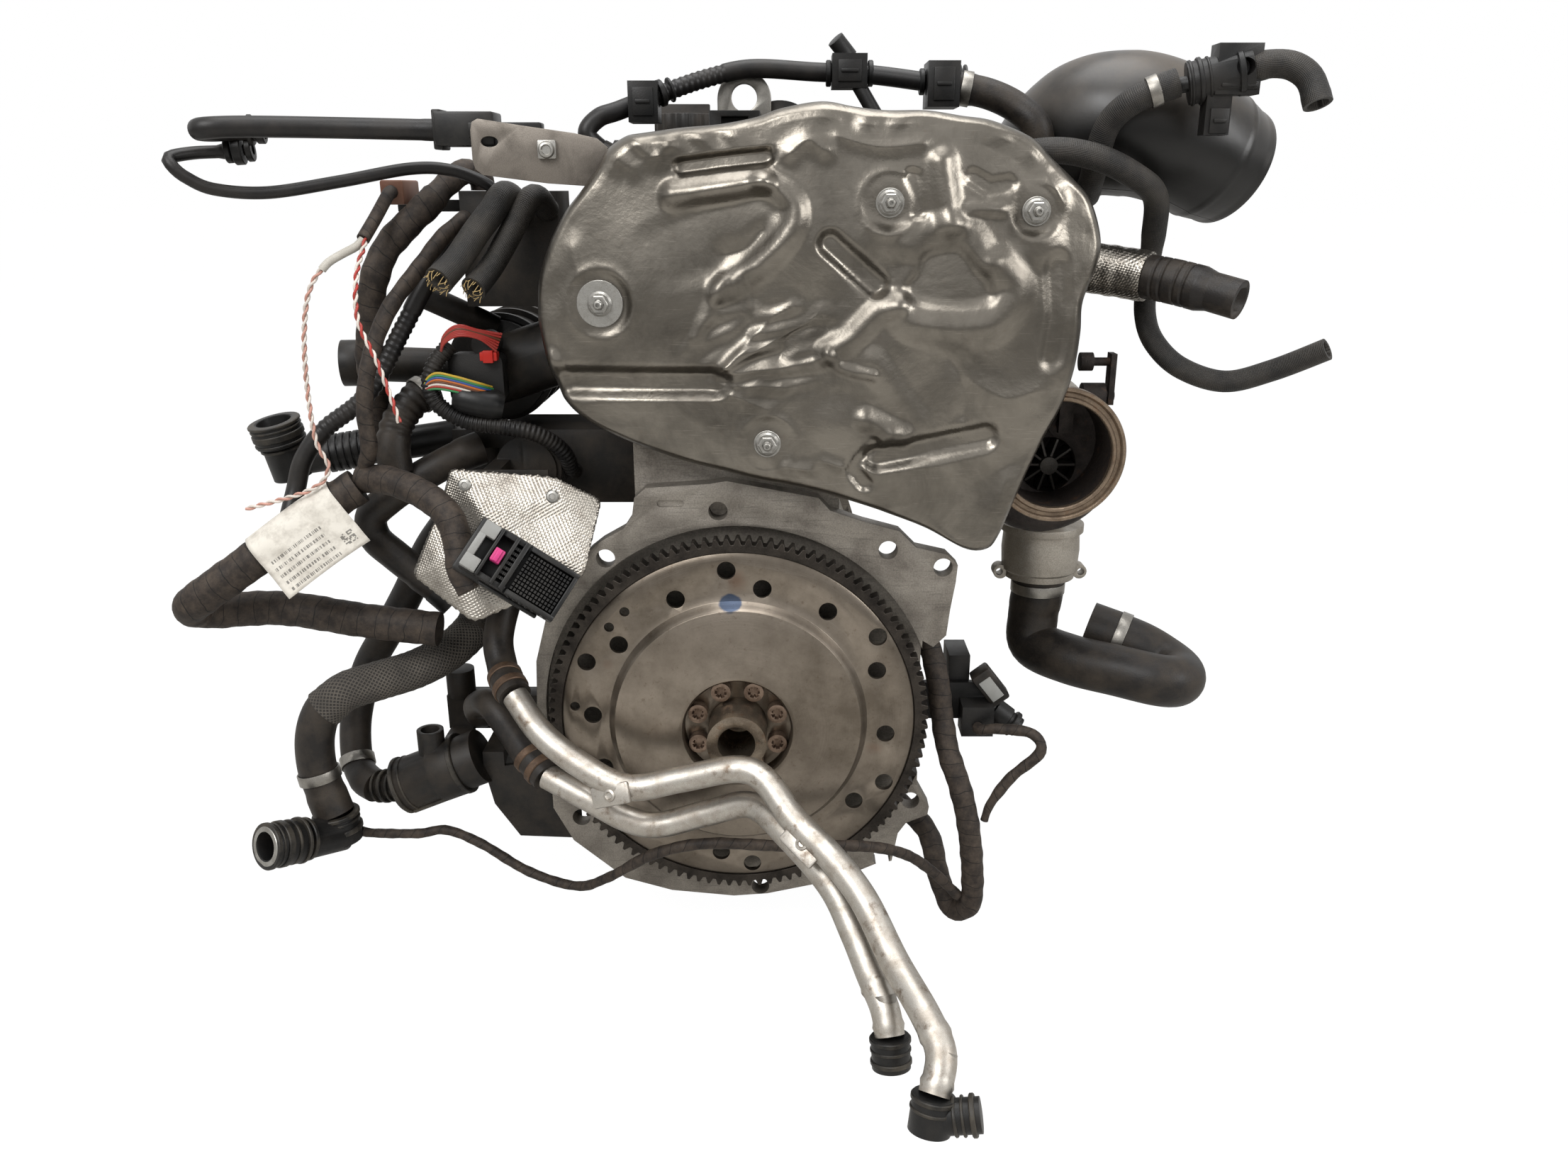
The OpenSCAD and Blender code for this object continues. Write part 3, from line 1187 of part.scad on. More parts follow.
module coolant_pump() {
    color("#1f1f20")
    difference() {
        union() {
            rod([-262, 20, -72], [-198, 20, -46], 21);
            rod([-284, 27, -76], [-260, 20, -71], 10);
            rod([-236, 20, -62], [-236, 20, -24], 10);
            rod([-232, 20, -60], [-214, 20, -53], 23);
            // Cast arm to the crankcase and the black plate in front of it
            box([-230, 30, -60], [-212, 58, -38]);
            box([-232, 56, -40], [-105, 74, -12]);
            rod([-222, 64, -14], [-222, 64, 8], 11);
            along_y(plate_t, 4) polygon([[-196, -54], [-168, -50], [-124, -90], [-124, -114],
                [-172, -112], [-190, -84]]);
            box([-196, plate_t, -66], [-180, 58, -40]);
        }
        rod([-236, 20, -40], [-236, 20, -20], 7);
    }
}

module heat_mat() {
    color("#c2bfb8")
    polyhedron([[-200, 12, 180], [-127, 12, 174], [-95, 8, 158], [-105, -22, 112],
        [-182, -26, 80], [-226, -14, 110], [-200, 10, 180], [-127, 10, 174], [-95, 6, 158],
        [-105, -24, 112], [-182, -28, 80], [-226, -16, 110]],
        [[0, 5, 4], [0, 4, 3], [0, 3, 1], [1, 3, 2], [6, 10, 11], [6, 9, 10], [6, 7, 9],
        [7, 8, 9], [0, 1, 7], [0, 7, 6], [1, 2, 8], [1, 8, 7], [2, 3, 9], [2, 9, 8], [3, 4, 10],
        [3, 10, 9], [4, 5, 11], [4, 11, 10], [5, 0, 6], [5, 6, 11]]);
}

// ---- Wiring ----

module harness_trunk() {
    color("#1f1e1d") {
        tube(trunk_path, trunk_d / 2, 10);
        tube(loop_path, loop_d / 2, 10);
        tube(branch_path, 5.5, 8);
        tube(smooth(conduit_path, 2), 6, 8);
    }
}
// Children in the frame of the plug: its X runs along the pin field, Z out of its face
module at_plug() {
    translate([-151, -48, 128]) rotate([0, 34, 0]) rotate([62, 0, 0]) children();
}
module ecu_connector() {
    color("#151515")
    at_plug() difference() {
        union() {
            box([-26, -18, 0], [44, 18, 20]);
            box([-30, -20, -14], [4, 20, 0.02]);
        }
        for (x = [10, 26]) box([x, -14, 6], [x + 14, 14, 22]);
        box([-12, -5, 12], [-4, 5, 30]);
    }
}
module connector_lock() {
    color("#b0276f")
    at_plug() union() {
        box([-11.7, -4.7, 12.3], [-4.3, 4.7, 24]);
    }
}
module pipe_upper() {
    color("#bdbab4") {
        tube(smooth(alu_upper_path, 2), alu_d / 2, 12);
    }
}
module pipe_lower() {
    color("#b6b3ad") {
        tube(smooth(alu_lower_path, 2), alu_d / 2, 12);
    }
}
module crossing_cable() { color("#1c1a19") tube(crossing_path, 3.6, 8); }
module right_harness() {
    color("#201f1e") {
        tube(right_path, 8.5, 8);
        tube(right_branch_path, 4, 8);
    }
}
module sensor_plugs() {
    color("#171717") {
        // Bracket and plugs low on the exhaust side
        box([105, 40, -24], [190, 46, 6]);
        box([168, 20, -30], [192, 40, -6]);
        box([160, 46, 2], [176, 80, 26]);
        rod([186, 43, -10], [214, 36, -30], 8);
        // Plugs on the intake side
        along_y(36, 15.8) {
            translate([-196, 222]) square([26, 34]);
            translate([-202, 228]) square([38, 22]);
            for (x = [-196, -170], z = [228, 250]) translate([x, z]) circle(r = 6);
        }
        cyl_y([-176, 38, 262], 9, 19);
        box([-241, 52, 356], [-227, 88, 370]);
        box([-241, 84, 350], [-191.9, 88, 358]);
    }
}
module wire_pairs() {
    color("#c98f86") {
        tube(wire_path_a, 1.8, 8);
        tube(wire_path_b, 1.8, 8);
        tube(sleeve_path, 4.5, 8);
    }
}

module hose_clamps() {
    color("#8f8c86") {
        band(breather_big_route, 1, 10, 7);
        band(purge_in_route, 10, 8.5, 7);
        band(lower_route, 25, lower_hose_d / 2, 8);
        band(charge_route, 2, charge_hose_d / 2, 9);
        band(charge_route, 31, charge_hose_d / 2, 9);
        band(inlet_route, 18, 12, 8);
        band(elbow_route_a, 2, 12, 6);
    }
}

engine_block();
main_caps();
cylinder_head();
head_cover();
timing_cover();
oil_pan_upper();
oil_pan_lower();
crankshaft();
crank_pulley();
drive_plate();
ring_gear();
crank_bolts();
outer_pistons();
inner_pistons();
intake_camshaft();
exhaust_camshaft();
valves();
timing_chain();
ignition_coils();
oil_filler_cap();
lifting_eye();
intake_manifold();
throttle_body();
throttle_plate();
heat_shield();
shield_fasteners();
turbine_housing();
bearing_housing();
compressor_housing();
turbo_rotor();
wastegate_lever();
charge_silencer();
charge_hose();
hose_clamps();
air_duct();
breather_hose();
vent_hose();
purge_valve();
purge_hoses();
coolant_hose_right();
foil_sleeve();
line_bracket();
fuel_hose();
vacuum_hose();
cut_hoses();
coolant_housing();
elbow_hose();
lower_hose();
hose_couplings();
coolant_pump();
heat_mat();
harness_trunk();
ecu_connector();
connector_lock();
pipe_upper();
pipe_lower();
crossing_cable();
right_harness();
sensor_plugs();
wire_pairs();
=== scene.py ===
"""Looks of a car engine that stands free with its gearbox end to the front: the dressed pieces,
their finishes, and the camera and lamps, in metres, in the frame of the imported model."""
import json
from math import cos, exp, hypot, pi, radians, sin, tau
import bmesh
import bpy
import numpy as np
from mathutils import Matrix, Vector

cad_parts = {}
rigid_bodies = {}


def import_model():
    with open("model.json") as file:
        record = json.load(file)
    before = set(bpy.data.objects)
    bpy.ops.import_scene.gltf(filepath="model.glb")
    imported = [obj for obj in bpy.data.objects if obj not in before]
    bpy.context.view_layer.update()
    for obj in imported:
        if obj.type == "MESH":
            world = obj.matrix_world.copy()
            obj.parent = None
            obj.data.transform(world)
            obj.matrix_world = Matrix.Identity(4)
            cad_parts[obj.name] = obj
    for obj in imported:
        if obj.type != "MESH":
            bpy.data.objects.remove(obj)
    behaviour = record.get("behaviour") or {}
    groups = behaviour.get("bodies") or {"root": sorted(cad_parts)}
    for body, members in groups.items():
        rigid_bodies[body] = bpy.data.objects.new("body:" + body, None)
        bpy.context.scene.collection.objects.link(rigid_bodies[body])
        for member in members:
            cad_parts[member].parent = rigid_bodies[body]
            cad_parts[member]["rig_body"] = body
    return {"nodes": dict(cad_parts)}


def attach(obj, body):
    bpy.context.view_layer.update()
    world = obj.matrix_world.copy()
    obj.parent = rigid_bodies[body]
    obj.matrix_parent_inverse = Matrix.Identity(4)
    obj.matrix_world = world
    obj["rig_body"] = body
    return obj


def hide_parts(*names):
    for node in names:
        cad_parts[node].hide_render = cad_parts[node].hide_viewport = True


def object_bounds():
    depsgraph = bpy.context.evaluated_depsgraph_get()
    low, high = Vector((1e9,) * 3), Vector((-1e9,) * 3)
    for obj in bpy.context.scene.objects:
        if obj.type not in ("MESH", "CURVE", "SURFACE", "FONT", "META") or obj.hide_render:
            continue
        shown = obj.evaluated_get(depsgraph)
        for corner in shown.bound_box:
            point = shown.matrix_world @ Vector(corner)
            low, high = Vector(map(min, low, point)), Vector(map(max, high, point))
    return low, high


for leftover in list(bpy.data.objects):
    bpy.data.objects.remove(leftover)
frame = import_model()
cad_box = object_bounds()
bpy.ops.object.select_all(action="DESELECT")


# ---- Camera, lamps and floor
# A plain studio: a white backdrop that metal also reflects, a pale floor that keeps a soft
# shadow, a large soft lamp over the left shoulder, a narrow one from the right, one overhead.
def linear(code):
    """The linear colour that a socket takes, from an sRGB hex code."""
    parts = [int(code[i:i + 2], 16) / 255 for i in (1, 3, 5)]
    return tuple(c / 12.92 if c <= 0.04045 else ((c + 0.055) / 1.055) ** 2.4 for c in parts) + (1,)


def add(tree, kind, inputs={}, **settings):
    """Adds a node to a tree: its settings, then its inputs, each a value or a socket to link."""
    node = tree.nodes.new("ShaderNode" + kind)
    for name, value in settings.items():
        setattr(node, name, value)
    for name, value in inputs.items():
        if isinstance(value, bpy.types.NodeSocket):
            tree.links.new(value, node.inputs[name])
        else:
            node.inputs[name].default_value = value
    return node


bpy.ops.object.camera_add(location=(0.033, -0.799, 0.365), rotation=(radians(71.4), 0, 0))
camera = bpy.context.object
camera.data.lens = 27.2
camera.data.sensor_width = 36
bpy.context.scene.camera = camera
bpy.context.scene.view_settings.view_transform = "Standard"

lamps = {"key_lamp": ((-0.9, -1.5, 1.7), 1.1, 42), "side_lamp": ((1.5, -0.9, 0.9), 0.7, 15),
         "top_lamp": ((0.1, 0.05, 1.9), 1.3, 29)}
for name, (place, width, watts) in lamps.items():
    bpy.ops.object.light_add(type="AREA", location=place)
    lamp = bpy.context.object
    lamp.name = name
    lamp.data.size = width
    lamp.data.energy = watts
    lamp.rotation_euler = (Vector((0, 0, 0.12)) - lamp.location).to_track_quat("-Z", "Y").to_euler()

world = bpy.data.worlds.new("studio")
bpy.context.scene.world = world
world.use_nodes = True
world.node_tree.nodes.clear()
rays = add(world.node_tree, "LightPath")
seen = add(world.node_tree, "Math", {0: rays.outputs["Is Camera Ray"],
                                     1: rays.outputs["Is Glossy Ray"]}, operation="MAXIMUM")
seen = add(world.node_tree, "Math", {0: seen.outputs[0],
                                     1: rays.outputs["Is Transmission Ray"]}, operation="MAXIMUM")
level = add(world.node_tree, "MapRange", {"Value": seen.outputs[0], "To Min": 0.34, "To Max": 1.0})
sky = add(world.node_tree, "Background", {"Color": (1, 1, 1, 1), "Strength": level.outputs[0]})
add(world.node_tree, "OutputWorld", {"Surface": sky.outputs[0]})

floor_material = bpy.data.materials.new("pale_matt_floor")
floor_material.use_nodes = True
floor_tree = floor_material.node_tree
floor_tree.nodes.clear()
rays = add(floor_tree, "LightPath")
share = add(floor_tree, "Math", {0: rays.outputs["Is Camera Ray"], 1: 0.9}, operation="MULTIPLY")
paint = add(floor_tree, "BsdfDiffuse", {"Color": linear("#d2d0cc")})
glow = add(floor_tree, "Emission", {"Color": (1, 1, 1, 1), "Strength": 1.09})
both = add(floor_tree, "MixShader", {0: share.outputs[0], 1: paint.outputs[0], 2: glow.outputs[0]})
add(floor_tree, "OutputMaterial", {"Surface": both.outputs[0]})
bpy.ops.mesh.primitive_plane_add(size=60, location=(0, 0, cad_box[0].z - 0.0005))
floor = bpy.context.object
floor.name = "studio_floor"
floor.data.materials.append(floor_material)


# ---- Wiring loom on the intake side
# Copper wires inside a spiral of black cloth-backed tape, folded back on itself in a loop, with
# one leg in ribbed nylon conduit. It hangs from its clips and ends in the control unit's plug.
def smoothed(route, spacing):
    """Points at an even spacing on the smooth curve through a route."""
    knots = [Vector(p) for p in route]
    fine = []
    for i in range(len(knots) - 1):
        a, b, c, d = (knots[max(i - 1, 0)], knots[i], knots[i + 1], knots[min(i + 2, len(knots) - 1)])
        for t in np.linspace(0, 1, 24, endpoint=False):
            fine.append(0.5 * (2 * b + (c - a) * t + (2 * a - 5 * b + 4 * c - d) * t ** 2
                               + (3 * b - a - 3 * c + d) * t ** 3))
    fine = np.array([*fine, knots[-1]])
    reach = np.concatenate([[0], np.cumsum(np.linalg.norm(np.diff(fine, axis=0), axis=1))])
    even = np.linspace(0, reach[-1], max(3, round(reach[-1] / spacing) + 1))
    return [Vector([np.interp(s, reach, fine[:, k]) for k in range(3)]) for s in even]


def select_only(piece):
    """Selects one piece and nothing else, for the operators that follow."""
    bpy.ops.object.select_all(action="DESELECT")
    piece.select_set(True)
    bpy.context.view_layer.objects.active = piece


def new_piece(name, data):
    """A piece round a mesh or a curve, in the scene and alone in the selection."""
    piece = bpy.data.objects.new(name, data)
    bpy.context.scene.collection.objects.link(piece)
    select_only(piece)
    return piece


def hose(name, route, radius, swell=None, spacing=0.003, sides=24):
    """A round tube along a route. swell gives its radius over the plain one, from the metres
    passed and the metres left. Its UV map holds metres along it and turns round it."""
    points = smoothed(route, spacing)
    curve = bpy.data.curves.new(name, "CURVE")
    curve.dimensions = "3D"
    curve.bevel_depth = radius
    curve.bevel_resolution = sides // 2 - 2
    curve.use_fill_caps = True
    spline = curve.splines.new("POLY")
    spline.points.add(len(points) - 1)
    step = (points[1] - points[0]).length
    for i, (place, point) in enumerate(zip(points, spline.points)):
        point.co = (*place, 1)
        point.radius = swell(i * step, (len(points) - 1 - i) * step) if swell else 1
    new_piece(name, curve)
    bpy.ops.object.convert(target="MESH")
    piece = bpy.context.object
    uv = piece.data.uv_layers.active.data
    flat = np.zeros(len(uv) * 2)
    uv.foreach_get("uv", flat)
    flat[0::2] *= step * (len(points) - 1)
    uv.foreach_set("uv", flat)
    bpy.ops.object.shade_smooth_by_angle(angle=radians(50))
    piece["route"] = [c for p in points for c in p]
    return piece


def route_of(piece):
    """The points that a hose follows, in metres."""
    return [tuple(piece["route"][i:i + 3]) for i in range(0, len(piece["route"]), 3)]


def set_in(piece, body, slot, material, *nodes):
    """Gives a piece its finish, the body it rides on, and the CAD nodes that it stands for."""
    piece.data.materials.clear()
    piece.data.materials.append(material)
    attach(piece, body)
    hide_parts(*nodes)
    return piece


def new_material(name):
    """An empty material and its node tree."""
    material = bpy.data.materials.new(name)
    material.use_nodes = True
    material.node_tree.nodes.clear()
    return material, material.node_tree


def metres(*points):
    """Points that are written in millimetres, as the part's source has them."""
    return [tuple(c / 1000 for c in p) for p in points]


def fitted(name, route, radius, material, *nodes, **shape):
    """A hose or a loom on the engine with its finish, and the CAD nodes that it stands for."""
    return set_in(hose(name, route, radius, **shape), "engine", "rubber", material, *nodes)


def wound_tape(name, cloth, worn, turn_mm, ridge=0.0006):
    """Black cloth-backed adhesive tape wound in a spiral: each edge stands up a little over a
    dark line, and dust sits in the weave."""
    material, tree = new_material(name)
    place = add(tree, "UVMap", uv_map="UVMap")
    split = add(tree, "SeparateXYZ", {0: place.outputs[0]})
    turns = add(tree, "Math", {0: split.outputs[0], 1: 1000 / turn_mm}, operation="MULTIPLY")
    lap = add(tree, "Math", {0: turns.outputs[0], 1: split.outputs[1]}, operation="ADD")
    wobble = add(tree, "TexCoord")
    drift = add(tree, "TexNoise", {"Vector": wobble.outputs["Object"], "Scale": 45.0, "Detail": 2.0})
    lap = add(tree, "Math", {0: drift.outputs["Fac"], 1: 0.9, 2: lap.outputs[0]},
              operation="MULTIPLY_ADD")
    saw = add(tree, "Math", {0: lap.outputs[0]}, operation="FRACT")
    edge = add(tree, "MapRange", {"Value": saw.outputs[0], "From Min": 0.93, "From Max": 0.98})
    dust = add(tree, "TexNoise", {"Vector": wobble.outputs["Object"], "Scale": 120.0,
                                  "Detail": 5.0, "Roughness": 0.7})
    wear = add(tree, "MapRange", {"Value": dust.outputs["Fac"], "From Min": 0.38, "From Max": 0.72})
    colour = add(tree, "MixRGB", {0: wear.outputs[0], 1: linear(cloth), 2: linear(worn)})
    colour = add(tree, "MixRGB", {0: edge.outputs[0], 1: colour.outputs[0], 2: linear("#0f0e0d")})
    weave = add(tree, "TexNoise", {"Vector": wobble.outputs["Object"], "Scale": 1500.0})
    raised = add(tree, "Math", {0: weave.outputs["Fac"], 1: 0.25, 2: saw.outputs[0]},
                 operation="MULTIPLY_ADD")
    bump = add(tree, "Bump", {"Height": raised.outputs[0], "Distance": ridge, "Strength": 0.8})
    skin = add(tree, "BsdfPrincipled", {"Base Color": colour.outputs[0], "Roughness": 0.62,
                                        "Specular IOR Level": 0.2, "Normal": bump.outputs[0]})
    add(tree, "OutputMaterial", {"Surface": skin.outputs[0]})
    return material


def moulded(name, base, dusty, rough=0.5, dust=0.5, grain_mm=0.6, relief=0.00012):
    """Nylon or polypropylene from a mould, or plain rubber: an even fine grain, with a film of
    dust that lies in soft patches and dulls it there."""
    material, tree = new_material(name)
    place = add(tree, "TexCoord")
    film = add(tree, "TexNoise", {"Vector": place.outputs["Object"], "Scale": 38.0, "Detail": 7.0,
                                  "Roughness": 0.65})
    film = add(tree, "MapRange", {"Value": film.outputs["Fac"], "From Min": 0.40,
                                  "From Max": 0.72, "To Max": dust})
    colour = add(tree, "MixRGB", {0: film.outputs[0], 1: linear(base), 2: linear(dusty)})
    dull = add(tree, "MapRange", {"Value": film.outputs[0], "To Min": rough,
                                  "To Max": min(1, rough + 0.3)})
    grain = add(tree, "TexNoise", {"Vector": place.outputs["Object"], "Scale": 1000 / grain_mm,
                                   "Detail": 2.0})
    bump = add(tree, "Bump", {"Height": grain.outputs["Fac"], "Distance": relief, "Strength": 0.6})
    skin = add(tree, "BsdfPrincipled", {"Base Color": colour.outputs[0], "Roughness": dull.outputs[0],
                                        "Specular IOR Level": 0.26, "Normal": bump.outputs[0]})
    add(tree, "OutputMaterial", {"Surface": skin.outputs[0]})
    return material


# Cloth-backed PVC tape, 11 mm to a turn: matt, warm dark grey, with a dark line at each edge.
loom_tape = wound_tape("cloth_backed_tape", "#26211e", "#463d35", 11)
# Ribbed polyamide conduit: satin black, with pale dust between its ribs.
conduit_nylon = moulded("ribbed_polyamide_conduit", "#100f0f", "#37322c", 0.42, 0.5)

trunk_width = 0.020
loop_width = 0.025
branch_width = 0.011
conduit_width = 0.012
rib_pitch = 0.0032

trunk = fitted("loom_trunk", metres(
    (-258, 0, 176), (-236, -8, 176), (-210, -18, 168), (-193, -27, 156), (-186, -34, 138),
    (-184, -40, 124), (-177, -44, 110)), trunk_width / 2, loom_tape, "harness_trunk",
    swell=lambda s, left: 1 + 0.03 * sin(s * 500) * sin(s * 171))

loop = fitted("loom_loop", metres(
    (-261, -1, 171), (-295, -12, 150), (-334, -24, 122), (-366, -29, 100), (-379, -22, 89),
    (-372, -6, 81), (-329, 8, 78), (-273, 10, 68), (-218, 10, 61)), loop_width / 2, loom_tape,
    "harness_trunk", swell=lambda s, left: 1 + 0.03 * sin(s * 420) * sin(s * 133))

branch = fitted("loom_branch", metres(
    (-189, 63.8, 346), (-191, 56, 343), (-200, 44, 334), (-213, 24, 314), (-231, 8, 288),
    (-243, -4, 256), (-248, -9, 225), (-248, -8, 200), (-254, -2, 186)), branch_width / 2,
    loom_tape, "harness_trunk", swell=lambda s, left: 1 + 0.05 * sin(s * 300) * sin(s * 97))

conduit = fitted("loom_conduit", metres(
    (-200, 36, 262), (-209, 28, 250), (-213, 26, 236), (-208, 26, 222), (-190, 26, 211),
    (-165, 26, 207), (-146, 28, 203), (-133, 34, 195), (-125, 42, 184), (-123, 54, 170),
    (-123, 65.8, 166)), conduit_width / 2, conduit_nylon, "harness_trunk", spacing=rib_pitch / 6,
    sides=16, swell=lambda s, left: 1 - 0.11 * (cos(s * tau / rib_pitch) < -0.2))


# ---- Cable across the front and loom on the exhaust side
# Leads to the sensors low on the engine, all under the same tape: a thin cable that crosses
# under the drive plate, a loom that hangs down the exhaust side and turns up at its end, and a
# lead that joins this loom halfway.
cable_width = 0.0072
crossing = fitted("crossing_cable_jacket", metres(
    (-292, 3, -101), (-284, 6, -105), (-247, 0, -102), (-225, 0, -99), (-197, -8, -106),
    (-160, -18, -124), (-122, -30, -129), (-96, -42, -114), (-60, -56, -86), (-22, -60, -75),
    (33, -60, -77), (89, -52, -82), (121, -34, -99), (144, -18, -123), (166.6, -9, -150.5)),
    cable_width / 2, loom_tape, "crossing_cable", sides=16,
    swell=lambda s, left: 1 + 0.07 * sin(s * 430) * sin(s * 167) + 0.12 * (s > 0.24))

right_width = 0.017
right_loom = fitted("exhaust_side_loom", metres(
    (101, 56, 60), (122, 38, 54), (140, 26, 44), (148, 18, 17), (151, 14, -6), (156, 4, -34),
    (165, -5, -60), (172, -10, -90), (177, -10, -130), (177, -6, -160), (166, 6, -172),
    (156, 18, -152), (146, 34, -118), (114, 50, -92)), right_width / 2, loom_tape, "right_harness",
    swell=lambda s, left: 1 + 0.05 * sin(s * 380) * sin(s * 121))

lead_width = 0.008
right_lead = fitted("exhaust_side_lead", metres(
    (180, 19.8, -22), (181, 13, -21), (194, 6, -17), (216, -4, -16), (222, -10, -28),
    (202, -8, -50), (188, -8, -72), (184, -8, -86)), lead_width / 2, loom_tape, "right_harness",
    sides=16,
    swell=lambda s, left: 1.02 + 0.08 * sin(s * 310) * sin(s * 127) - 0.3 * max(0, 1 - left / 0.03))


# ---- Paper label on the loom's loop
# A glued paper label, laid over the tape from behind, down the front, and on as a flag that
# hangs free. It carries made-up marks: rows of grey dashes and a block of small squares.
label_width = 0.067
label_length = 0.075
label_radius = 0.0137
flag_length = 0.035
paper_wall = 0.0003


def apply_modifier(piece, kind, **settings):
    """Gives the active piece a modifier with its settings, and applies it."""
    modifier = piece.modifiers.new(kind.lower(), kind)
    for name, value in settings.items():
        setattr(modifier, name, value)
    bpy.ops.object.modifier_apply(modifier=modifier.name)


along = Vector((-39, -12, -28)).normalized()
fall = Vector((0.56, 0, -0.83)).normalized()
ahead = along.cross(fall).normalized()
axis = [Vector(p) for p in route_of(loop)]
axis = [p for p in axis[:len(axis) // 2] if -0.327 < p.x < -0.272]
across = []
for angle in np.linspace(15, 180, 15):
    across.append((-sin(radians(angle)), -cos(radians(angle)), 0))
across += [(0, 1, s / 1000) for s in np.linspace(2.5, 1000 * flag_length, 14)]
grid = []
for i, centre in enumerate(axis):
    for j, (up, out, drop) in enumerate(across):
        crease = 0.0006 * sin(i * 0.9 + j * 0.35) * sin(j * 0.5) + 0.0009 * sin(i * 0.23) * (j > 16)
        curl = 0.006 * (drop / flag_length) ** 2 * (i / len(axis) - 0.35)
        grid.append(centre + fall * (up * label_radius + drop)
                    + ahead * (out * label_radius + crease + curl))
wide = len(across)
faces = [(i * wide + j, i * wide + j + 1, (i + 1) * wide + j + 1, (i + 1) * wide + j)
         for i in range(len(axis) - 1) for j in range(wide - 1)]
label_mesh = bpy.data.meshes.new("loom_label")
label_mesh.from_pydata([tuple(p) for p in grid], [], faces)
uv = label_mesh.uv_layers.new(name="UVMap")
for corner in label_mesh.loops:
    i, j = divmod(corner.vertex_index, wide)
    uv.data[corner.index].uv = (i / (len(axis) - 1) * label_width, j / (wide - 1) * label_length)
label = new_piece("loom_label", label_mesh)
bpy.ops.object.shade_smooth()
apply_modifier(label, "SOLIDIFY", thickness=paper_wall)


def kept_within(tree, mask, place, *limits):
    """A mask that is left only where each coordinate of a place is over or under its limit."""
    for side, limit, kind in limits:
        inside = add(tree, "Math", {0: place.outputs[side], 1: limit}, operation=kind)
        mask = add(tree, "Math", {0: mask.outputs[0], 1: inside.outputs[0]}, operation="MULTIPLY")
    return mask


# Label paper: off-white, matt, scuffed grey-brown; print on its lower half only.
paper, tree = new_material("printed_label_paper")
place = add(tree, "UVMap", uv_map="UVMap")
split = add(tree, "SeparateXYZ", {0: place.outputs[0]})
scuff = add(tree, "TexNoise", {"Vector": place.outputs[0], "Scale": 70.0, "Detail": 9.0,
                               "Roughness": 0.7})
scuff = add(tree, "MapRange", {"Value": scuff.outputs["Fac"], "From Min": 0.45, "From Max": 0.75,
                               "To Max": 0.8})
tone = add(tree, "MixRGB", {0: scuff.outputs[0], 1: linear("#cfcac0"), 2: linear("#8d857a")})
line_pitch = 0.0058
row = add(tree, "Math", {0: split.outputs[1], 1: 1 / line_pitch}, operation="MULTIPLY")
which = add(tree, "Math", {0: row.outputs[0]}, operation="FLOOR")
row = add(tree, "Math", {0: row.outputs[0]}, operation="FRACT")
row = add(tree, "Math", {0: row.outputs[0], 1: 0.42}, operation="LESS_THAN")
glyph = add(tree, "CombineXYZ", {0: split.outputs[0], 1: which.outputs[0]})
glyph = add(tree, "TexNoise", {"Vector": glyph.outputs[0], "Scale": 900.0, "Detail": 1.0})
glyph = add(tree, "Math", {0: glyph.outputs["Fac"], 1: 0.5}, operation="GREATER_THAN")
ink = add(tree, "Math", {0: row.outputs[0], 1: glyph.outputs[0]}, operation="MULTIPLY")
ink = kept_within(tree, ink, split, (1, 0.046, "GREATER_THAN"), (0, 0.020, "GREATER_THAN"),
                  (0, 0.062, "LESS_THAN"))
cells = add(tree, "VectorMath", {0: place.outputs[0], 1: (1000, 1000, 1000)}, operation="MULTIPLY")
cells = add(tree, "VectorMath", {0: cells.outputs[0]}, operation="FLOOR")
cells = add(tree, "TexWhiteNoise", {"Vector": cells.outputs[0]}, noise_dimensions="2D")
squares = add(tree, "Math", {0: cells.outputs[0], 1: 0.5}, operation="GREATER_THAN")
squares = kept_within(tree, squares, split, (0, 0.005, "GREATER_THAN"), (0, 0.014, "LESS_THAN"),
                      (1, 0.060, "GREATER_THAN"), (1, 0.069, "LESS_THAN"))
ink = add(tree, "Math", {0: ink.outputs[0], 1: squares.outputs[0]}, operation="MAXIMUM")
ink = add(tree, "Math", {0: ink.outputs[0], 1: 0.75}, operation="MULTIPLY")
tone = add(tree, "MixRGB", {0: ink.outputs[0], 1: tone.outputs[0], 2: linear("#3a3836")})
skin = add(tree, "BsdfPrincipled", {"Base Color": tone.outputs[0], "Roughness": 0.75})
add(tree, "OutputMaterial", {"Surface": skin.outputs[0]})
label.data.materials.append(paper)
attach(label, "engine")


# ---- Twisted wire pairs of the intake side
# Thin copper leads in coloured PVC, two twisted pairs out of a short black sleeve: one pink and
# white, the other red and white. Both end bare, where they were cut.
wire_radius = 0.0009
wire_step = 0.0015
sleeve_width = 0.0086


def wire_skin(name, hex_code):
    """Smooth PVC insulation in one colour, with a film of dust in soft patches."""
    return moulded(name, hex_code, "#6b6258", 0.38, 0.35, 0.5, 0.00003)


red_pvc = wire_skin("red_pvc_insulation", "#9c2f28")
white_pvc = wire_skin("white_pvc_insulation", "#cfc6bd")
pink_pvc = wire_skin("pink_pvc_insulation", "#b98a7c")


def wound_round(route, radius, pitch, start=0.0):
    """A route that winds round another one like a strand of a rope."""
    points = smoothed(route, wire_step)
    strand = []
    side = Vector((0.1, 1, 0.2))
    for i, point in enumerate(points):
        heading = (points[min(i + 1, len(points) - 1)] - points[max(i - 1, 0)]).normalized()
        side = (side - heading * side.dot(heading)).normalized()
        turn = tau * i * wire_step / pitch + start
        strand.append(point + radius * (side * cos(turn) + heading.cross(side) * sin(turn)))
    return [tuple(p) for p in strand]


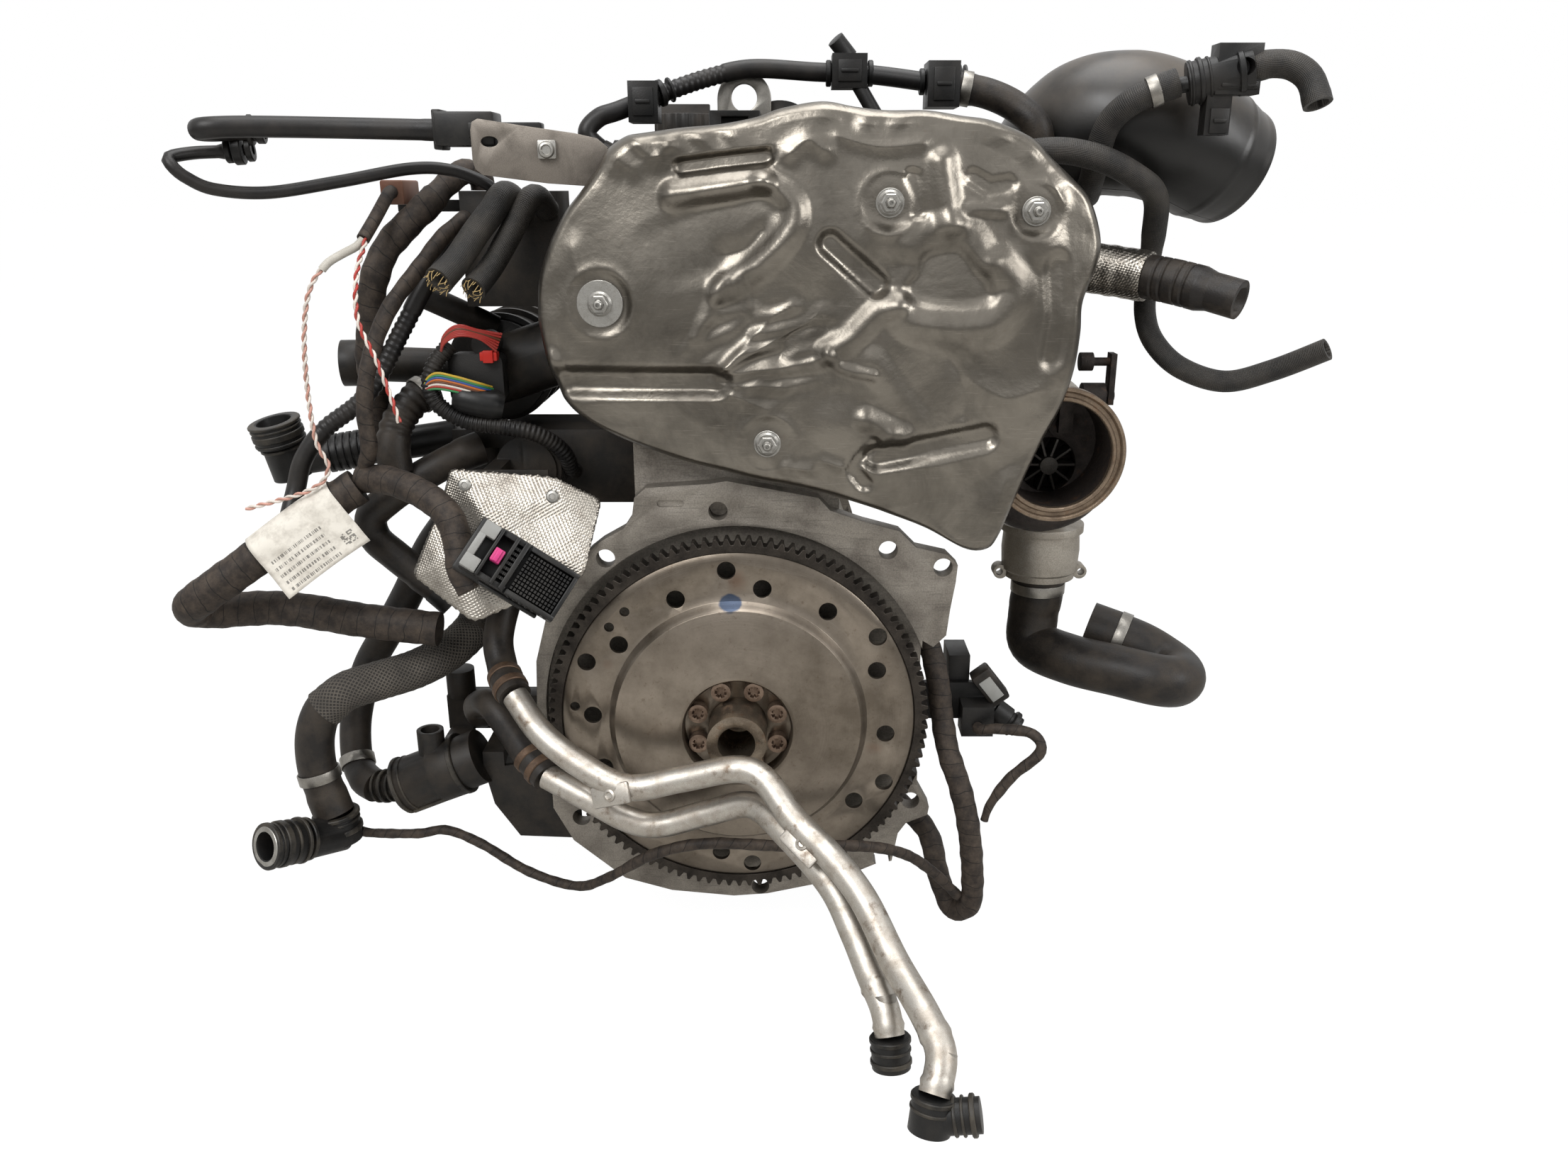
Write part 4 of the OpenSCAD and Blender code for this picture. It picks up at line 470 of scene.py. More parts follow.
sleeve_route = metres((-234, 51.8, 363), (-234, 44, 362), (-238, 24, 347), (-243, 10, 334))
wire_sleeve = fitted("wire_sleeve", sleeve_route, sleeve_width / 2, loom_tape, "wire_pairs",
                     sides=16)
for letter, route in (
        ("a", metres((-243.5, 12, 335), (-244, 8, 331), (-265, 5, 320), (-278, 0, 303),
                     (-283, -6, 275), (-284, -10, 240), (-282, -12, 205), (-275, -14, 186),
                     (-288, -18, 172), (-331, -22, 160))),
        ("b", metres((-242, 12, 335.5), (-241, 6, 331), (-243, -10, 312), (-241, -22, 285),
                     (-229, -30, 260), (-220, -36, 236), (-216, -38, 222)))):
    for k, skin_of in enumerate((red_pvc if letter == "b" else pink_pvc, white_pvc)):
        strand = hose(f"wire_{letter}_{k + 1}", wound_round(route, 0.00095, 0.013, pi * k),
                      wire_radius, spacing=wire_step, sides=10)
        set_in(strand, "engine", "wire_red", skin_of, "wire_pairs")


# ---- Heat shield
# One thin aluminised steel sheet, deep drawn: beads and channels stiffen it, round seats take
# the nuts, its edge is folded back, and heat and hands have creased it near the middle.
sheet_wall = 0.0012
shield_front = 0.030
shield_middle = np.array([55.0, 292.0])
shield_edge = np.array([
    (-126, 285), (-124, 309), (-116, 332), (-105, 351), (-94, 364), (-83, 378), (-77, 388),
    (-65, 396), (-54, 398), (-30, 401), (-6, 403), (16, 407), (31, 412), (56, 416), (76, 413),
    (95, 411), (120, 411), (142, 408), (162, 405), (187, 395), (200, 383), (214, 371),
    (226, 358), (234, 336), (233, 320), (225, 297), (225, 277), (223, 253), (217, 230),
    (207, 208), (197, 184), (188, 160), (180, 139), (173, 130), (158, 130), (130, 145),
    (102, 156), (80, 164), (58, 171), (36, 176), (15, 180), (-7, 186), (-31, 192), (-55, 200),
    (-78, 209), (-100, 221), (-113, 235), (-121, 255)])
# Seats of the nuts: the centre, the radius of the flat, the reach of its rim, and how far it
# stands out.
nut_seats = [(-84, 296, 16, 22, -2.6), (22, 206, 10.5, 19, -1.6), (98.5, 357, 10.5, 19, -0.8),
             (190, 352, 10, 17, -4.6)]

# Pressed forms in millimetres: the line each follows, its half width, and how far it stands out
# of the sheet towards the front. A channel goes the other way.
beads = [
    (((-36, 362), (-20, 364), (0, 367), (20, 370)), 8, 4.6),
    (((20, 370), (32, 365), (40, 356), (40, 345), (33, 334), (22, 323), (9, 313), (-8, 304)),
     8, 3.2),
    (((-6, 311), (-13, 295), (-23, 275)), 5, 1.6),
    (((104, 297), (92, 291), (84, 283), (74, 273), (61, 266)), 8, 3.0),
    (((108, 290), (116, 284), (142, 280), (166, 283), (178, 296), (180, 308), (170, 320)),
     11, 3.0),
    (((130, 381), (133, 362), (137, 345)), 9, 3.6),
    (((113, 331), (122, 340), (142, 344), (152, 336), (159, 323)), 9, 2.2),
    (((148, 354), (167, 353)), 5, 1.8),
    (((90, 260), (104, 241), (120, 221)), 9, 1.2), (((87, 222), (111, 211)), 8, 3.0),
    (((61, 266), (70, 256), (90, 251)), 4, 1.6), (((-118, 262), (-112, 244)), 5, 1.4)]
channels = [
    (((-112, 246), (-60, 246), (-10, 246)), 10.5, 6.0),
    (((95, 196), (130, 203), (166, 210)), 10, 5.5),
    (((62, 333), (91, 308)), 9, 5.0), (((-30, 378), (-6, 381), (22, 384)), 6, 4.4),
    (((92, 205), (84, 196), (79, 188), (87, 178)), 6, 3.0), (((112, 372), (116, 352)), 6, 2.4),
    (((150, 372), (160, 366), (172, 368)), 6, 2.0), (((205, 320), (209, 290), (206, 262)), 9, 2.2)]
# Creases run sharp along their line, outwards or, where the rise is negative, inwards.
creases = [
    (((-8, 253), (9, 268)), 3.5, 1.5), (((-8, 254), (22, 284), (38, 296)), 4, 1.6),
    (((-4, 256), (57, 290)), 4, 1.7), (((-4, 252), (30, 256), (57, 262)), 4, 1.8),
    (((-8, 244), (31, 244)), 4, 1.6), (((-6, 240), (22, 229)), 4, 1.5),
    (((8, 276), (14, 296), (10, 312)), 3.5, -1.2), (((30, 262), (38, 278), (60, 283)), 4, -1.5),
    (((60, 194), (72, 190)), 4, 1.8), (((36, 190), (50, 188)), 4, 1.6),
    (((92, 205), (104, 213)), 4, 1.7), (((-58, 392), (-46, 384), (-38, 390)), 5, 2.4),
    (((-69, 384), (-60, 378)), 5, 2.0), (((37, 386), (48, 394), (58, 388)), 5, 2.4),
    (((66, 396), (92, 390), (118, 392)), 4, 1.4), (((-100, 330), (-96, 312)), 6, 1.2),
    (((150, 250), (176, 236), (196, 240)), 6, 1.4), (((140, 262), (152, 240), (150, 224)), 5, -1.3),
    (((182, 180), (176, 160)), 5, 1.2), (((20, 340), (10, 330), (-4, 326)), 5, -1.4),
    (((196, 374), (204, 360)), 5, 1.8)]
# Low swellings: the centre, the reach and the rise of each.
swellings = [((45, 335), 48, 4.0), ((150, 300), 52, 5.0), ((98, 338), 22, 3.4),
             ((194, 332), 20, 3.2), ((70, 216), 26, 3.0), ((-50, 300), 60, 2.5),
             ((8, 345), 42, 3.0), ((95, 270), 55, 3.0), ((130, 180), 40, 3.0)]
# Pockets: the outline of each, the width of its walls, its depth, and the place and reach of the
# side where it runs out.
pockets = [
    (((-34, 358), (-20, 364), (0, 367), (17, 370), (28, 366), (37, 356), (37, 346), (30, 336),
      (20, 325), (8, 316), (-14, 306), (-50, 300), (-76, 318), (-60, 344)), 14, 3.5, (-70, 310), 62),
    (((112, 322), (122, 332), (142, 335), (154, 326), (166, 312), (170, 300), (160, 292),
      (140, 290), (114, 294), (106, 306)), 9, 4.0, (108, 320), 12)]


def distance_to(x, z, line):
    """How far each place lies from a line of straight pieces."""
    best = np.full(x.shape, 1e9)
    for (ax, az), (bx, bz) in zip(line, line[1:]):
        along = ((x - ax) * (bx - ax) + (z - az) * (bz - az)) / ((bx - ax) ** 2 + (bz - az) ** 2)
        along = np.clip(along, 0, 1)
        best = np.minimum(best, np.hypot(x - ax - along * (bx - ax), z - az - along * (bz - az)))
    return best


def rounded(line):
    """The same line with its corners drawn as a curve."""
    return [(p.x, p.y) for p in smoothed([(*p, 0) for p in line], 2.0)]


def pressed(x, z):
    """How far the sheet stands out of its plane to the front at a place, in millimetres."""
    # The whole sheet falls back 9 mm towards its rim
    out = -9 * np.minimum(1, np.hypot((x - 55) / 190, (z - 290) / 135)) ** 4
    for (cx, cz), reach, rise in swellings:
        out += rise * np.clip(1 - (np.hypot(x - cx, z - cz) / reach) ** 2, 0, 1) ** 2
    for line, half, rise in beads:
        near = np.clip(1 - (distance_to(x, z, rounded(line)) / half / 1.35) ** 2, 0, 1)
        out += 1.35 * rise * near ** 2
    for outline, wall, depth, open_side, reach in pockets:
        line = rounded([*outline, outline[0]])
        inside = np.zeros(x.shape, bool)
        for (ax, az), (bx, bz) in zip(line, line[1:]):
            if az != bz:
                inside ^= ((az > z) != (bz > z)) & (x < (bx - ax) * (z - az) / (bz - az) + ax)
        near = np.clip(distance_to(x, z, line) / wall, 0, 1) * inside
        shut = np.clip(np.hypot(x - open_side[0], z - open_side[1]) / reach, 0, 1)
        out -= depth * near * near * (3 - 2 * near) * shut * shut
    for line, half, depth in channels:
        near = np.clip((1.1 * half - distance_to(x, z, line)) / (0.62 * half), 0, 1)
        out -= 1.1 * depth * (0.75 * near + 0.25 * near * near * (3 - 2 * near))
    for line, half, rise in creases:
        near = np.clip(1 - distance_to(x, z, rounded(line)) / (2.6 * half), 0, 1)
        out += 1.5 * rise * near ** 1.8
    # Heat and hands have rumpled it near the middle
    rumple = np.clip(1 - np.hypot((x - 20) / 62, (z - 268) / 40) ** 2, 0, 1)
    swirl = 2.2 * np.sin(0.045 * x + 0.03 * z)
    out += rumple * (0.9 * np.sin(0.21 * x - 0.34 * z + swirl) * np.sin(0.09 * x + 0.12 * z)
                     + 0.35 * np.sin(0.36 * x - 0.52 * z + 2 * swirl))
    out += 0.35 * np.sin(0.055 * x + 1.3) * np.sin(0.071 * z)
    # The seats are flat, whatever runs up to them, with a small rise round each
    for cx, cz, seat, reach, stand in nut_seats:
        away = np.hypot(x - cx, z - cz)
        out += 0.9 * np.clip(1 - np.abs(away - reach) / 6, 0, 1) ** 2
        near = np.clip((reach - away) / (reach - seat), 0, 1)
        near = near * near * (3 - 2 * near)
        out = out * (1 - near) + stand * near
    return out


def disc_faces(spokes, rings):
    """The faces of a disc: rings of points from the inside out, and the hub as the last point."""
    hub = spokes * rings
    faces = [(hub, (k + 1) % spokes, k) for k in range(spokes)]
    for inner in range(0, hub - spokes, spokes):
        outer = inner + spokes
        faces += [(inner + k, inner + (k + 1) % spokes, outer + (k + 1) % spokes, outer + k)
                  for k in range(spokes)]
    return faces


spokes, rings = 376, 122
fine_edge = smoothed([(*p, 0) for p in [*shield_edge, shield_edge[0]]], 1.0)
fine_edge = np.array([(p.x, p.y) for p in fine_edge[:-1]])
rim = fine_edge[np.linspace(0, len(fine_edge), spokes, endpoint=False).astype(int)]
share = np.linspace(0, 1, rings + 1)[1:] ** 0.75
place = shield_middle + (rim[None] - shield_middle) * share[:, None, None]
x, z = place[..., 0], place[..., 1]
out = pressed(x, z)
# The folded edge: the last 5.5 mm roll back, and inside it the sheet gathers in small waves,
# most of all along the top.
inset = np.linalg.norm(rim[None] - place, axis=2)
roll = np.clip(1 - inset / 5.5, 0, 1) ** 2
gather = np.sin(0.17 * rim[:, 0] + 2.4 * np.sin(0.06 * rim[:, 0] + 1)) * (rim[:, 1] > 370)
gather = gather + 0.5 * np.sin(0.11 * rim[:, 0] - 0.19 * rim[:, 1])
fold = np.clip(1 - np.abs(inset - 9) / 9, 0, 1)
out = out - 5.5 * roll + fold * gather[None] + 0.9 * fold * (rim[None, :, 1] > 380)
hub_x, hub_z = shield_middle / 1000
hub_out = pressed(shield_middle[:1], shield_middle[1:])[0]
points = np.stack([x, -1000 * shield_front - out, z], -1).reshape(-1, 3) / 1000
points = np.vstack([points, [hub_x, -shield_front - hub_out / 1000, hub_z]])
shield_mesh = bpy.data.meshes.new("shield_sheet")
shield_mesh.from_pydata(points.tolist(), [], disc_faces(spokes, rings))
shield = new_piece("shield_sheet", shield_mesh)
bpy.ops.object.shade_smooth()
apply_modifier(shield, "SOLIDIFY", thickness=sheet_wall, offset=-1)

# Hot-dip aluminised steel, drawn and baked by the exhaust: warm grey satin with a soft spangle,
# cloudy brown heat stains, fine handling scratches, brighter where it was rubbed.
shield_metal, tree = new_material("aluminised_steel_sheet")
place = add(tree, "TexCoord")
cloud = add(tree, "TexNoise", {"Vector": place.outputs["Object"], "Scale": 21.0, "Detail": 8.0,
                               "Roughness": 0.62, "Distortion": 0.4})
stain = add(tree, "MapRange", {"Value": cloud.outputs["Fac"], "From Min": 0.40, "From Max": 0.70})
spangle = add(tree, "TexNoise", {"Vector": place.outputs["Object"], "Scale": 260.0, "Detail": 3.0})
speck = add(tree, "MapRange", {"Value": spangle.outputs["Fac"], "From Min": 0.60,
                               "From Max": 0.78, "To Max": 0.3})
tone = add(tree, "MixRGB", {0: stain.outputs[0], 1: linear("#767169"), 2: linear("#524e48")})
tone = add(tree, "MixRGB", {0: speck.outputs[0], 1: tone.outputs[0], 2: linear("#6a6158")})
slant = add(tree, "Mapping", {"Vector": place.outputs["Object"], "Rotation": (0, 0.5, 0),
                              "Scale": (1.0, 1.0, 22.0)})
scratch = add(tree, "TexNoise", {"Vector": slant.outputs[0], "Scale": 60.0, "Detail": 4.0})
scored = add(tree, "MapRange", {"Value": scratch.outputs["Fac"], "From Min": 0.62,
                                "From Max": 0.74, "To Max": 0.15})
tone = add(tree, "MixRGB", {0: scored.outputs[0], 1: tone.outputs[0], 2: linear("#b9b1a7")})
dull = add(tree, "MapRange", {"Value": cloud.outputs["Fac"], "From Min": 0.3, "From Max": 0.7,
                              "To Min": 0.25, "To Max": 0.4})
height = add(tree, "Math", {0: cloud.outputs["Fac"], 1: 6.0, 2: spangle.outputs["Fac"]},
             operation="MULTIPLY_ADD")
bump = add(tree, "Bump", {"Height": height.outputs[0], "Distance": 0.0004, "Strength": 0.35})
skin = add(tree, "BsdfPrincipled", {"Base Color": tone.outputs[0], "Metallic": 1.0,
                                    "Roughness": dull.outputs[0], "Normal": bump.outputs[0]})
add(tree, "OutputMaterial", {"Surface": skin.outputs[0]})
set_in(shield, "engine", "shield_metal", shield_metal, "heat_shield")


# ---- Engine block, head, bearing caps and covers
# The castings carry everything: sand-cast aluminium, machined where parts meet, oily in corners.
# Each is the part's own solid with its edges rounded as casting and machining leave them.
sharp = radians(32)


def weigh_edges(mesh, depth):
    """Marks for a bevel the sharp edges that lie in front of a depth in millimetres."""
    cut = bmesh.new()
    cut.from_mesh(mesh)
    weight = cut.edges.layers.float.new("bevel_weight_edge")
    for line in cut.edges:
        near = max(v.co.y for v in line.verts) < depth / 1000
        line[weight] = float(near and line.calc_face_angle(0) > sharp)
    cut.to_mesh(mesh)
    cut.free()


def dressed(node, edge_mm, slot, material, smooth=35, segments=2, depth=None, slack=0.0):
    """A merged copy of a CAD node with its sharp edges rounded, down to a depth if one is given,
    so that the bores behind it keep their size, and drawn in by a slack so that what turns or
    slides runs clear. It stands for that node. Sizes are in millimetres."""
    source = frame["nodes"][node]
    piece = new_piece(node + "_finished", source.data.copy())
    bpy.ops.object.mode_set(mode="EDIT")
    bpy.ops.mesh.customdata_custom_splitnormals_clear()
    bpy.ops.mesh.select_all(action="SELECT")
    bpy.ops.mesh.remove_doubles(threshold=0.00001)
    if edge_mm:
        bpy.ops.mesh.dissolve_limited(angle_limit=radians(0.5))
    bpy.ops.object.mode_set(mode="OBJECT")
    if slack:
        inward = [v.co - v.normal * slack / 1000 for v in piece.data.vertices]
        piece.data.vertices.foreach_set("co", [c for place in inward for c in place])
    if depth is not None:
        weigh_edges(piece.data, depth)
    if edge_mm:
        apply_modifier(piece, "BEVEL", width=edge_mm / 1000, segments=segments, angle_limit=sharp,
                       limit_method="ANGLE" if depth is None else "WEIGHT")
    bpy.ops.object.shade_smooth_by_angle(angle=radians(smooth))
    return set_in(piece, source["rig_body"], slot, material, node)


def worn_metal(name, clean, grimed, metallic=0.9, rough=0.45, grime=0.6, cloud_mm=30, grain_mm=0.8,
               relief=0.0002, stain=None, scored=0.0):
    """A bare metal part with oil and dust on it: clouds of grime at one size, a grain from the
    sand, the roll or the tool at another, and scores where things have rubbed along it."""
    material, tree = new_material(name)
    place = add(tree, "TexCoord")
    cloud = add(tree, "TexNoise", {"Vector": place.outputs["Object"], "Scale": 1000 / cloud_mm,
                                   "Detail": 8.0, "Roughness": 0.66, "Distortion": 0.3})
    dirt = add(tree, "MapRange", {"Value": cloud.outputs["Fac"], "From Min": 0.42,
                                  "From Max": 0.68, "To Max": grime})
    grain = add(tree, "TexNoise", {"Vector": place.outputs["Object"], "Scale": 1000 / grain_mm,
                                   "Detail": 3.0})
    pits = add(tree, "MapRange", {"Value": grain.outputs["Fac"], "From Min": 0.35,
                                  "From Max": 0.62, "To Min": 0.75, "To Max": 1.0})
    tone = add(tree, "MixRGB", {0: dirt.outputs[0], 1: linear(clean), 2: linear(grimed)})
    tone = add(tree, "MixRGB", {0: 1.0, 1: tone.outputs[0], 2: pits.outputs[0]},
               blend_type="MULTIPLY")
    if stain:
        spots = add(tree, "TexNoise", {"Vector": place.outputs["Object"], "Scale": 95.0,
                                       "Detail": 6.0, "Roughness": 0.7})
        spots = add(tree, "MapRange", {"Value": spots.outputs["Fac"], "From Min": 0.56,
                                       "From Max": 0.70, "To Max": 0.75})
        tone = add(tree, "MixRGB", {0: spots.outputs[0], 1: tone.outputs[0], 2: linear(stain)})
    if scored:
        slant = add(tree, "Mapping", {"Vector": place.outputs["Object"],
                                      "Rotation": (0.2, 0.8, 0.3), "Scale": (1, 1, 18)})
        marks = add(tree, "TexNoise", {"Vector": slant.outputs[0], "Scale": 45.0, "Detail": 3.0})
        marks = add(tree, "MapRange", {"Value": marks.outputs["Fac"], "From Min": 0.60,
                                       "From Max": 0.66, "To Max": scored})
        tone = add(tree, "MixRGB", {0: marks.outputs[0], 1: tone.outputs[0], 2: linear("#3b3835")})
    dull = add(tree, "MapRange", {"Value": cloud.outputs["Fac"], "From Min": 0.3, "From Max": 0.7,
                                  "To Min": rough - 0.08, "To Max": rough + 0.14})
    bump = add(tree, "Bump", {"Height": grain.outputs["Fac"], "Distance": relief, "Strength": 0.7})
    skin = add(tree, "BsdfPrincipled", {"Base Color": tone.outputs[0], "Metallic": metallic,
                                        "Roughness": dull.outputs[0], "Normal": bump.outputs[0]})
    add(tree, "OutputMaterial", {"Surface": skin.outputs[0]})
    return material


# Sand-cast aluminium with oil and road dust on it: mid grey, matt, dark scores on the flange.
cast_aluminium = worn_metal("sand_cast_aluminium", "#8b857c", "#575049", 0.6, 0.5, 0.75, 42, 1.1,
                            0.0003, scored=0.25)
# Grey cast iron of the bearing caps, dark and oily.
cast_iron = worn_metal("grey_cast_iron", "#55524e", "#332f2b", 0.7, 0.5, 0.6, 25, 0.9)
# Black stoved paint on the pressed pans: satin, with dust on the flats.
pan_paint = moulded("black_stoved_paint", "#161412", "#443c34", 0.38, 0.5, 1.0)
# Black glass-filled polyamide of the cam cover and the intake: satin, dusty.
cover_nylon = moulded("black_glass_filled_polyamide", "#161412", "#40382f", 0.46, 0.5, 0.9)

dressed("engine_block", 0.8, "cast_block", cast_aluminium, depth=24)
dressed("cylinder_head", 0.8, "cast_head", cast_aluminium)
dressed("main_caps", 0.8, "cast_iron_caps", cast_iron)


# ---- Nuts of the heat shield
# Each of the four studs takes a zinc-plated washer and a flanged hexagon nut, turned and
# threaded. The washer on the intake side is the wide one.
def turned(name, profile, place, facing, steps=48, smooth=30):
    """A piece turned round an axis from (radius, height) points in metres. Six steps make a
    hexagon."""
    mesh = bpy.data.meshes.new(name)
    mesh.from_pydata([(r, 0, h) for r, h in profile], [(i, i + 1) for i in range(len(profile) - 1)],
                     [])
    piece = new_piece(name, mesh)
    bpy.ops.object.mode_set(mode="EDIT")
    bpy.ops.mesh.select_all(action="SELECT")
    bpy.ops.mesh.spin(steps=steps, angle=tau, center=(0, 0, 0), axis=(0, 0, 1))
    bpy.ops.mesh.select_all(action="SELECT")
    bpy.ops.mesh.remove_doubles(threshold=0.000005)
    bpy.ops.mesh.normals_make_consistent(inside=False)
    bpy.ops.object.mode_set(mode="OBJECT")
    turn = Vector(facing).to_track_quat("Z", "Y").to_matrix().to_4x4()
    piece.data.transform(Matrix.Translation(Vector(place)) @ turn)
    bpy.ops.object.shade_smooth_by_angle(angle=radians(smooth))
    return piece


def joined(name, pieces):
    """Several pieces made one."""
    bpy.ops.object.select_all(action="DESELECT")
    for piece in pieces:
        piece.select_set(True)
    bpy.context.view_layer.objects.active = pieces[0]
    bpy.ops.object.join()
    bpy.context.object.name = name
    return bpy.context.object


def screw_profile(radius, start, end, pitch=0.001):
    """The zigzag profile of a screw thread, 0.4 mm deep, with a chamfered tip."""
    turns = int((end - start) / pitch)
    profile = []
    for k in range(turns):
        profile += [(radius, start + k * pitch), (radius - 0.0004, start + (k + 0.5) * pitch)]
    return [*profile, (radius - 0.0006, end - 0.0004), (radius - 0.0011, end)]


# Zinc-plated steel of nuts and washers: pale, slightly blue, dull where it has oxidised.
zinc_plate = worn_metal("zinc_plated_nut_steel", "#a5a39e", "#6f6b64", 0.9, 0.34, 0.6, 7, 0.4,
                        0.00008)
washer_radius = 0.009
wide_washer = 0.0148
for k, (x, z, seat, reach, stand) in enumerate(nut_seats):
    face = Vector((x, -1000 * shield_front - stand, z)) / 1000
    disc = wide_washer if k == 0 else washer_radius
    washer = turned(f"washer_{k + 1}", [
        (0, 0), (disc - 0.0003, 0), (disc, 0.0003), (disc, 0.0011), (disc - 0.0004, 0.0015),
        (0.0, 0.0015)], face, (0, -1, 0))
    collar = turned("collar", [(0, 0.0014), (0.0078, 0.0014), (0.0079, 0.002), (0.0066, 0.0033),
                               (0, 0.0033)], face, (0, -1, 0))
    nut = turned("nut", [(0, 0.003), (0.0063, 0.003), (0.0063, 0.0068), (0.0055, 0.0075),
                         (0.0036, 0.0075), (0.0031, 0.0069), (0, 0.0069)], face, (0, -1, 0), 6, 20)
    stud = turned("stud", [(0, 0.006), *screw_profile(0.003, 0.006, 0.0115), (0.0012, 0.0115),
                           (0.0012, 0.0095), (0, 0.0095)], face, (0, -1, 0), 28)
    fastener = joined(f"shield_nut_{k + 1}", [washer, collar, nut, stud])
    set_in(fastener, "engine", "bolt_steel", zinc_plate, "shield_fasteners")


# ---- Drive plate, ring gear and crankshaft
# The plate is pressed from steel and turned where it seats; the gear is a hardened ring shrunk
# on its rim. Both have stood unused: a brown film, rust at the holes, oil black in the teeth.
# Pressed and turned steel: brown grey, a ringed sheen from the tool, rust freckles near holes.
plate_steel, tree = new_material("pressed_and_turned_steel")
place = add(tree, "TexCoord")
split = add(tree, "SeparateXYZ", {0: place.outputs["Object"]})
across = add(tree, "Math", {0: split.outputs[0], 1: 2.0}, operation="POWER")
up = add(tree, "Math", {0: split.outputs[2], 1: 2.0}, operation="POWER")
radius = add(tree, "Math", {0: across.outputs[0], 1: up.outputs[0]}, operation="ADD")
radius = add(tree, "Math", {0: radius.outputs[0]}, operation="SQRT")
ringed = add(tree, "CombineXYZ", {0: radius.outputs[0]})
rings_cut = add(tree, "TexNoise", {"Vector": ringed.outputs[0], "Scale": 900.0, "Detail": 3.0})
cloud = add(tree, "TexNoise", {"Vector": place.outputs["Object"], "Scale": 16.0, "Detail": 9.0,
                               "Roughness": 0.68})
film = add(tree, "MapRange", {"Value": cloud.outputs["Fac"], "From Min": 0.38, "From Max": 0.66})
tone = add(tree, "MixRGB", {0: film.outputs[0], 1: linear("#837a6f"), 2: linear("#5f574d")})
fleck = add(tree, "TexNoise", {"Vector": place.outputs["Object"], "Scale": 210.0, "Detail": 7.0,
                               "Roughness": 0.75})
fleck = add(tree, "MapRange", {"Value": fleck.outputs["Fac"], "From Min": 0.57,
                               "From Max": 0.72, "To Max": 0.5})
tone = add(tree, "MixRGB", {0: fleck.outputs[0], 1: tone.outputs[0], 2: linear("#40301f")})
# Painted shade: the plate's colour is darkened towards its rim, next to the ring gear.
outer = add(tree, "MapRange", {"Value": radius.outputs[0], "From Min": 0.112,
                               "From Max": 0.134, "To Max": 0.7})
tone = add(tree, "MixRGB", {0: outer.outputs[0], 1: tone.outputs[0], 2: linear("#332d27")})
# Rust round three of the holes
for x, z, reach in ((0.0, 0.108, 0.008), (0.098, -0.02, 0.006), (-0.093, 0.046, 0.005)):
    spot = add(tree, "VectorMath", {0: place.outputs["Object"], 1: (x, -0.02, z)},
               operation="DISTANCE")
    rust = add(tree, "Math", {0: cloud.outputs["Fac"], 1: 0.03, 2: spot.outputs["Value"]},
               operation="MULTIPLY_ADD")
    rust = add(tree, "MapRange", {"Value": rust.outputs[0], "From Min": reach + 0.016,
                                  "From Max": reach + 0.006, "To Max": 0.6})
    tone = add(tree, "MixRGB", {0: rust.outputs[0], 1: tone.outputs[0], 2: linear("#5a3a26")})
# One dab of blue marking paint
dab = add(tree, "VectorMath", {0: place.outputs["Object"], 1: (-0.0043, -0.02, 0.0905)},
          operation="DISTANCE")
dab = add(tree, "Math", {0: cloud.outputs["Fac"], 1: 0.012, 2: dab.outputs["Value"]},
          operation="MULTIPLY_ADD")
dab = add(tree, "MapRange", {"Value": dab.outputs[0], "From Min": 0.0132, "From Max": 0.0118,
                             "To Max": 0.8})
tone = add(tree, "MixRGB", {0: dab.outputs[0], 1: tone.outputs[0], 2: linear("#0c2f4d")})
dull = add(tree, "MapRange", {"Value": cloud.outputs["Fac"], "From Min": 0.3, "From Max": 0.7,
                              "To Min": 0.26, "To Max": 0.40})
bump = add(tree, "Bump", {"Height": rings_cut.outputs["Fac"], "Distance": 0.0002, "Strength": 0.5})
skin = add(tree, "BsdfPrincipled", {"Base Color": tone.outputs[0], "Metallic": 0.92,
                                    "Roughness": dull.outputs[0], "Normal": bump.outputs[0]})
add(tree, "OutputMaterial", {"Surface": skin.outputs[0]})
# Induction-hardened gear steel, black with old oil between the teeth.
gear_steel = worn_metal("hardened_gear_steel", "#3c3732", "#171412", 0.85, 0.42, 0.85, 18, 0.8)
# Forged and ground steel of the crank, camshafts and bolts, filmed with brown oil.
forged_steel = worn_metal("forged_and_ground_steel", "#857a6c", "#4d3f33", 0.9, 0.3, 0.7, 16, 0.6,
                          0.0001, stain="#6a4a33")
# Phosphated bolt steel, dark grey and matt.
bolt_steel = worn_metal("phosphated_bolt_steel", "#8a7768", "#4e3d32", 0.85, 0.36, 0.7, 9, 0.5,
                        0.0001)

dressed("drive_plate", 0.5, "plate_steel", plate_steel, smooth=30)
dressed("ring_gear", 0.25, "gear_steel", gear_steel, smooth=30, segments=1)
dressed("crankshaft", 0.6, "forged_steel", forged_steel, slack=0.2)
dressed("crank_bolts", 0.5, "bolt_steel", bolt_steel)


# ---- Two coolant pipes across the front
# Drawn aluminium tube, bent, with its brackets crimped flat and brazed on: bright and satin,
# brown where road salt has bitten. Each end is turned to take a hose.
pipe_alloy = worn_metal("drawn_aluminium_tube", "#b3aea6", "#7d7061", 1.0, 0.4, 0.55, 14, 0.35,
                        0.0001, stain="#5b4734")
pipe_width = 0.0186


def bead_at(*places):
    """A swell for a pipe: a rounded bead 6 mm wide, 0.8 mm high, at each distance from its end."""
    return lambda s, left: 1 + 0.09 * sum(max(0, 1 - ((left - p) / 0.003) ** 2) for p in places)


